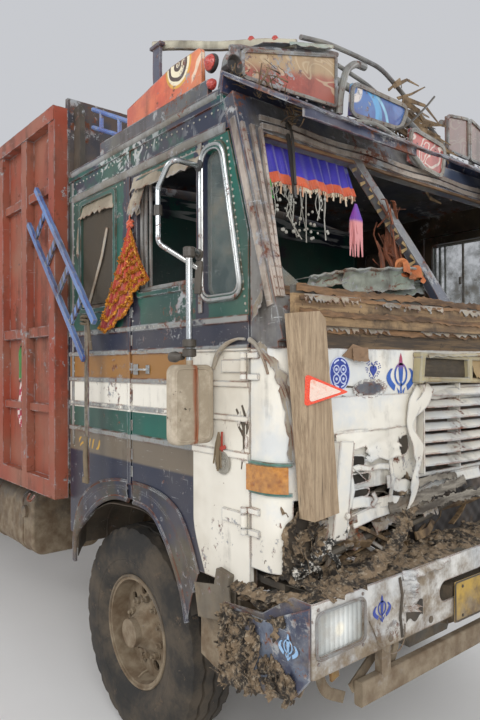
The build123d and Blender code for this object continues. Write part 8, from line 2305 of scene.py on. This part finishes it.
kit.done("tail_lamps", look.material)
kit = Kit()
for side in (-1, 1):
    for x in tailLamps:
        kit.pipe([(side * x + 0.049 * math.cos(t * math.tau / 24), rearY + 0.006,
                   lampZ + 0.049 * math.sin(t * math.tau / 24)) for t in range(24)], 0.005, 6, closed=True,
                 upright=(0, 1, 0))
kit.slab((0, rearY + 0.004, lampZ), (0.48, 0.005, 0.11), (0, 0.02, 0), 0.0015)
for a, b in ((-0.2, 0.03), (0.2, 0.03), (-0.2, -0.03), (0.2, -0.03)):
    kit.rivet((a, rearY + 0.007, lampZ + b), (0, 1, 0), 0.006)
kit.done("tail_rims_plate", looks["strip"])
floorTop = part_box("cargo_floor")[1][2]
kit = Kit()      # steel wear strips down the deck with their bolts
for k in range(7):
    x = -0.93 + 0.31 * k
    kit.slab((x, 0.98, floorTop + 0.0015), (0.045, 5.9, 0.005), (0, 0, 0.001), 0.001)
    studLine(kit, (x, -1.9, floorTop + 0.004), (x, 3.9, floorTop + 0.004), 0.35, (0, 0, 1), 0.008, k)
kit.done("deck_strips", looks["iron"])
kit = Kit()      # straw and dirt left on the deck
for k in range(260):
    spot = Vector((chance.uniform(-1.05, 1.05), chance.uniform(-1.85, 3.9), floorTop + 0.004))
    turn = chance.random() * math.tau
    reach = chance.uniform(0.03, 0.14)
    ahead = Vector((math.cos(turn) * reach, math.sin(turn) * reach, 0.004))
    kit.pipe([spot - ahead / 2, spot + Vector((0, 0, 0.006)), spot + ahead / 2], 0.0022, 4)
kit.done("deck_straw", looks["splinter"])
kit = Kit()      # mud flaps behind the twin wheels, hung from the mudguards
for side in (-1, 1):
    kit.skin(lambda u, v: (side * (0.56 + 0.56 * u),
                           axleY + wheelBase + 0.640 + 0.02 * v * v + 0.006 * math.sin(u * 7 + v * 3),
                           0.86 - 0.60 * v), 16, 16, 0.006)
    kit.slab((side * 0.84, axleY + wheelBase + 0.636, 0.865), (0.58, 0.02, 0.05))
kit.done("mud_flaps", looks["rubber"])
kit = Kit()      # bolt heads of the chassis rails
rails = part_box("frame_rails")
for side in (-1, 1):
    out = side * (rails[1][0] + 0.0005)
    for z in (0.95, 0.80):
        studLine(kit, (out, rails[0][1] + 0.25, z), (out, rails[1][1] - 0.2, z), 0.22, (side, 0, 0), 0.011, z)
kit.done("chassis_bolts", looks["iron"])
print("rear done")

placeCamera()
lightStudio()
layFloor()
print("truck finished")
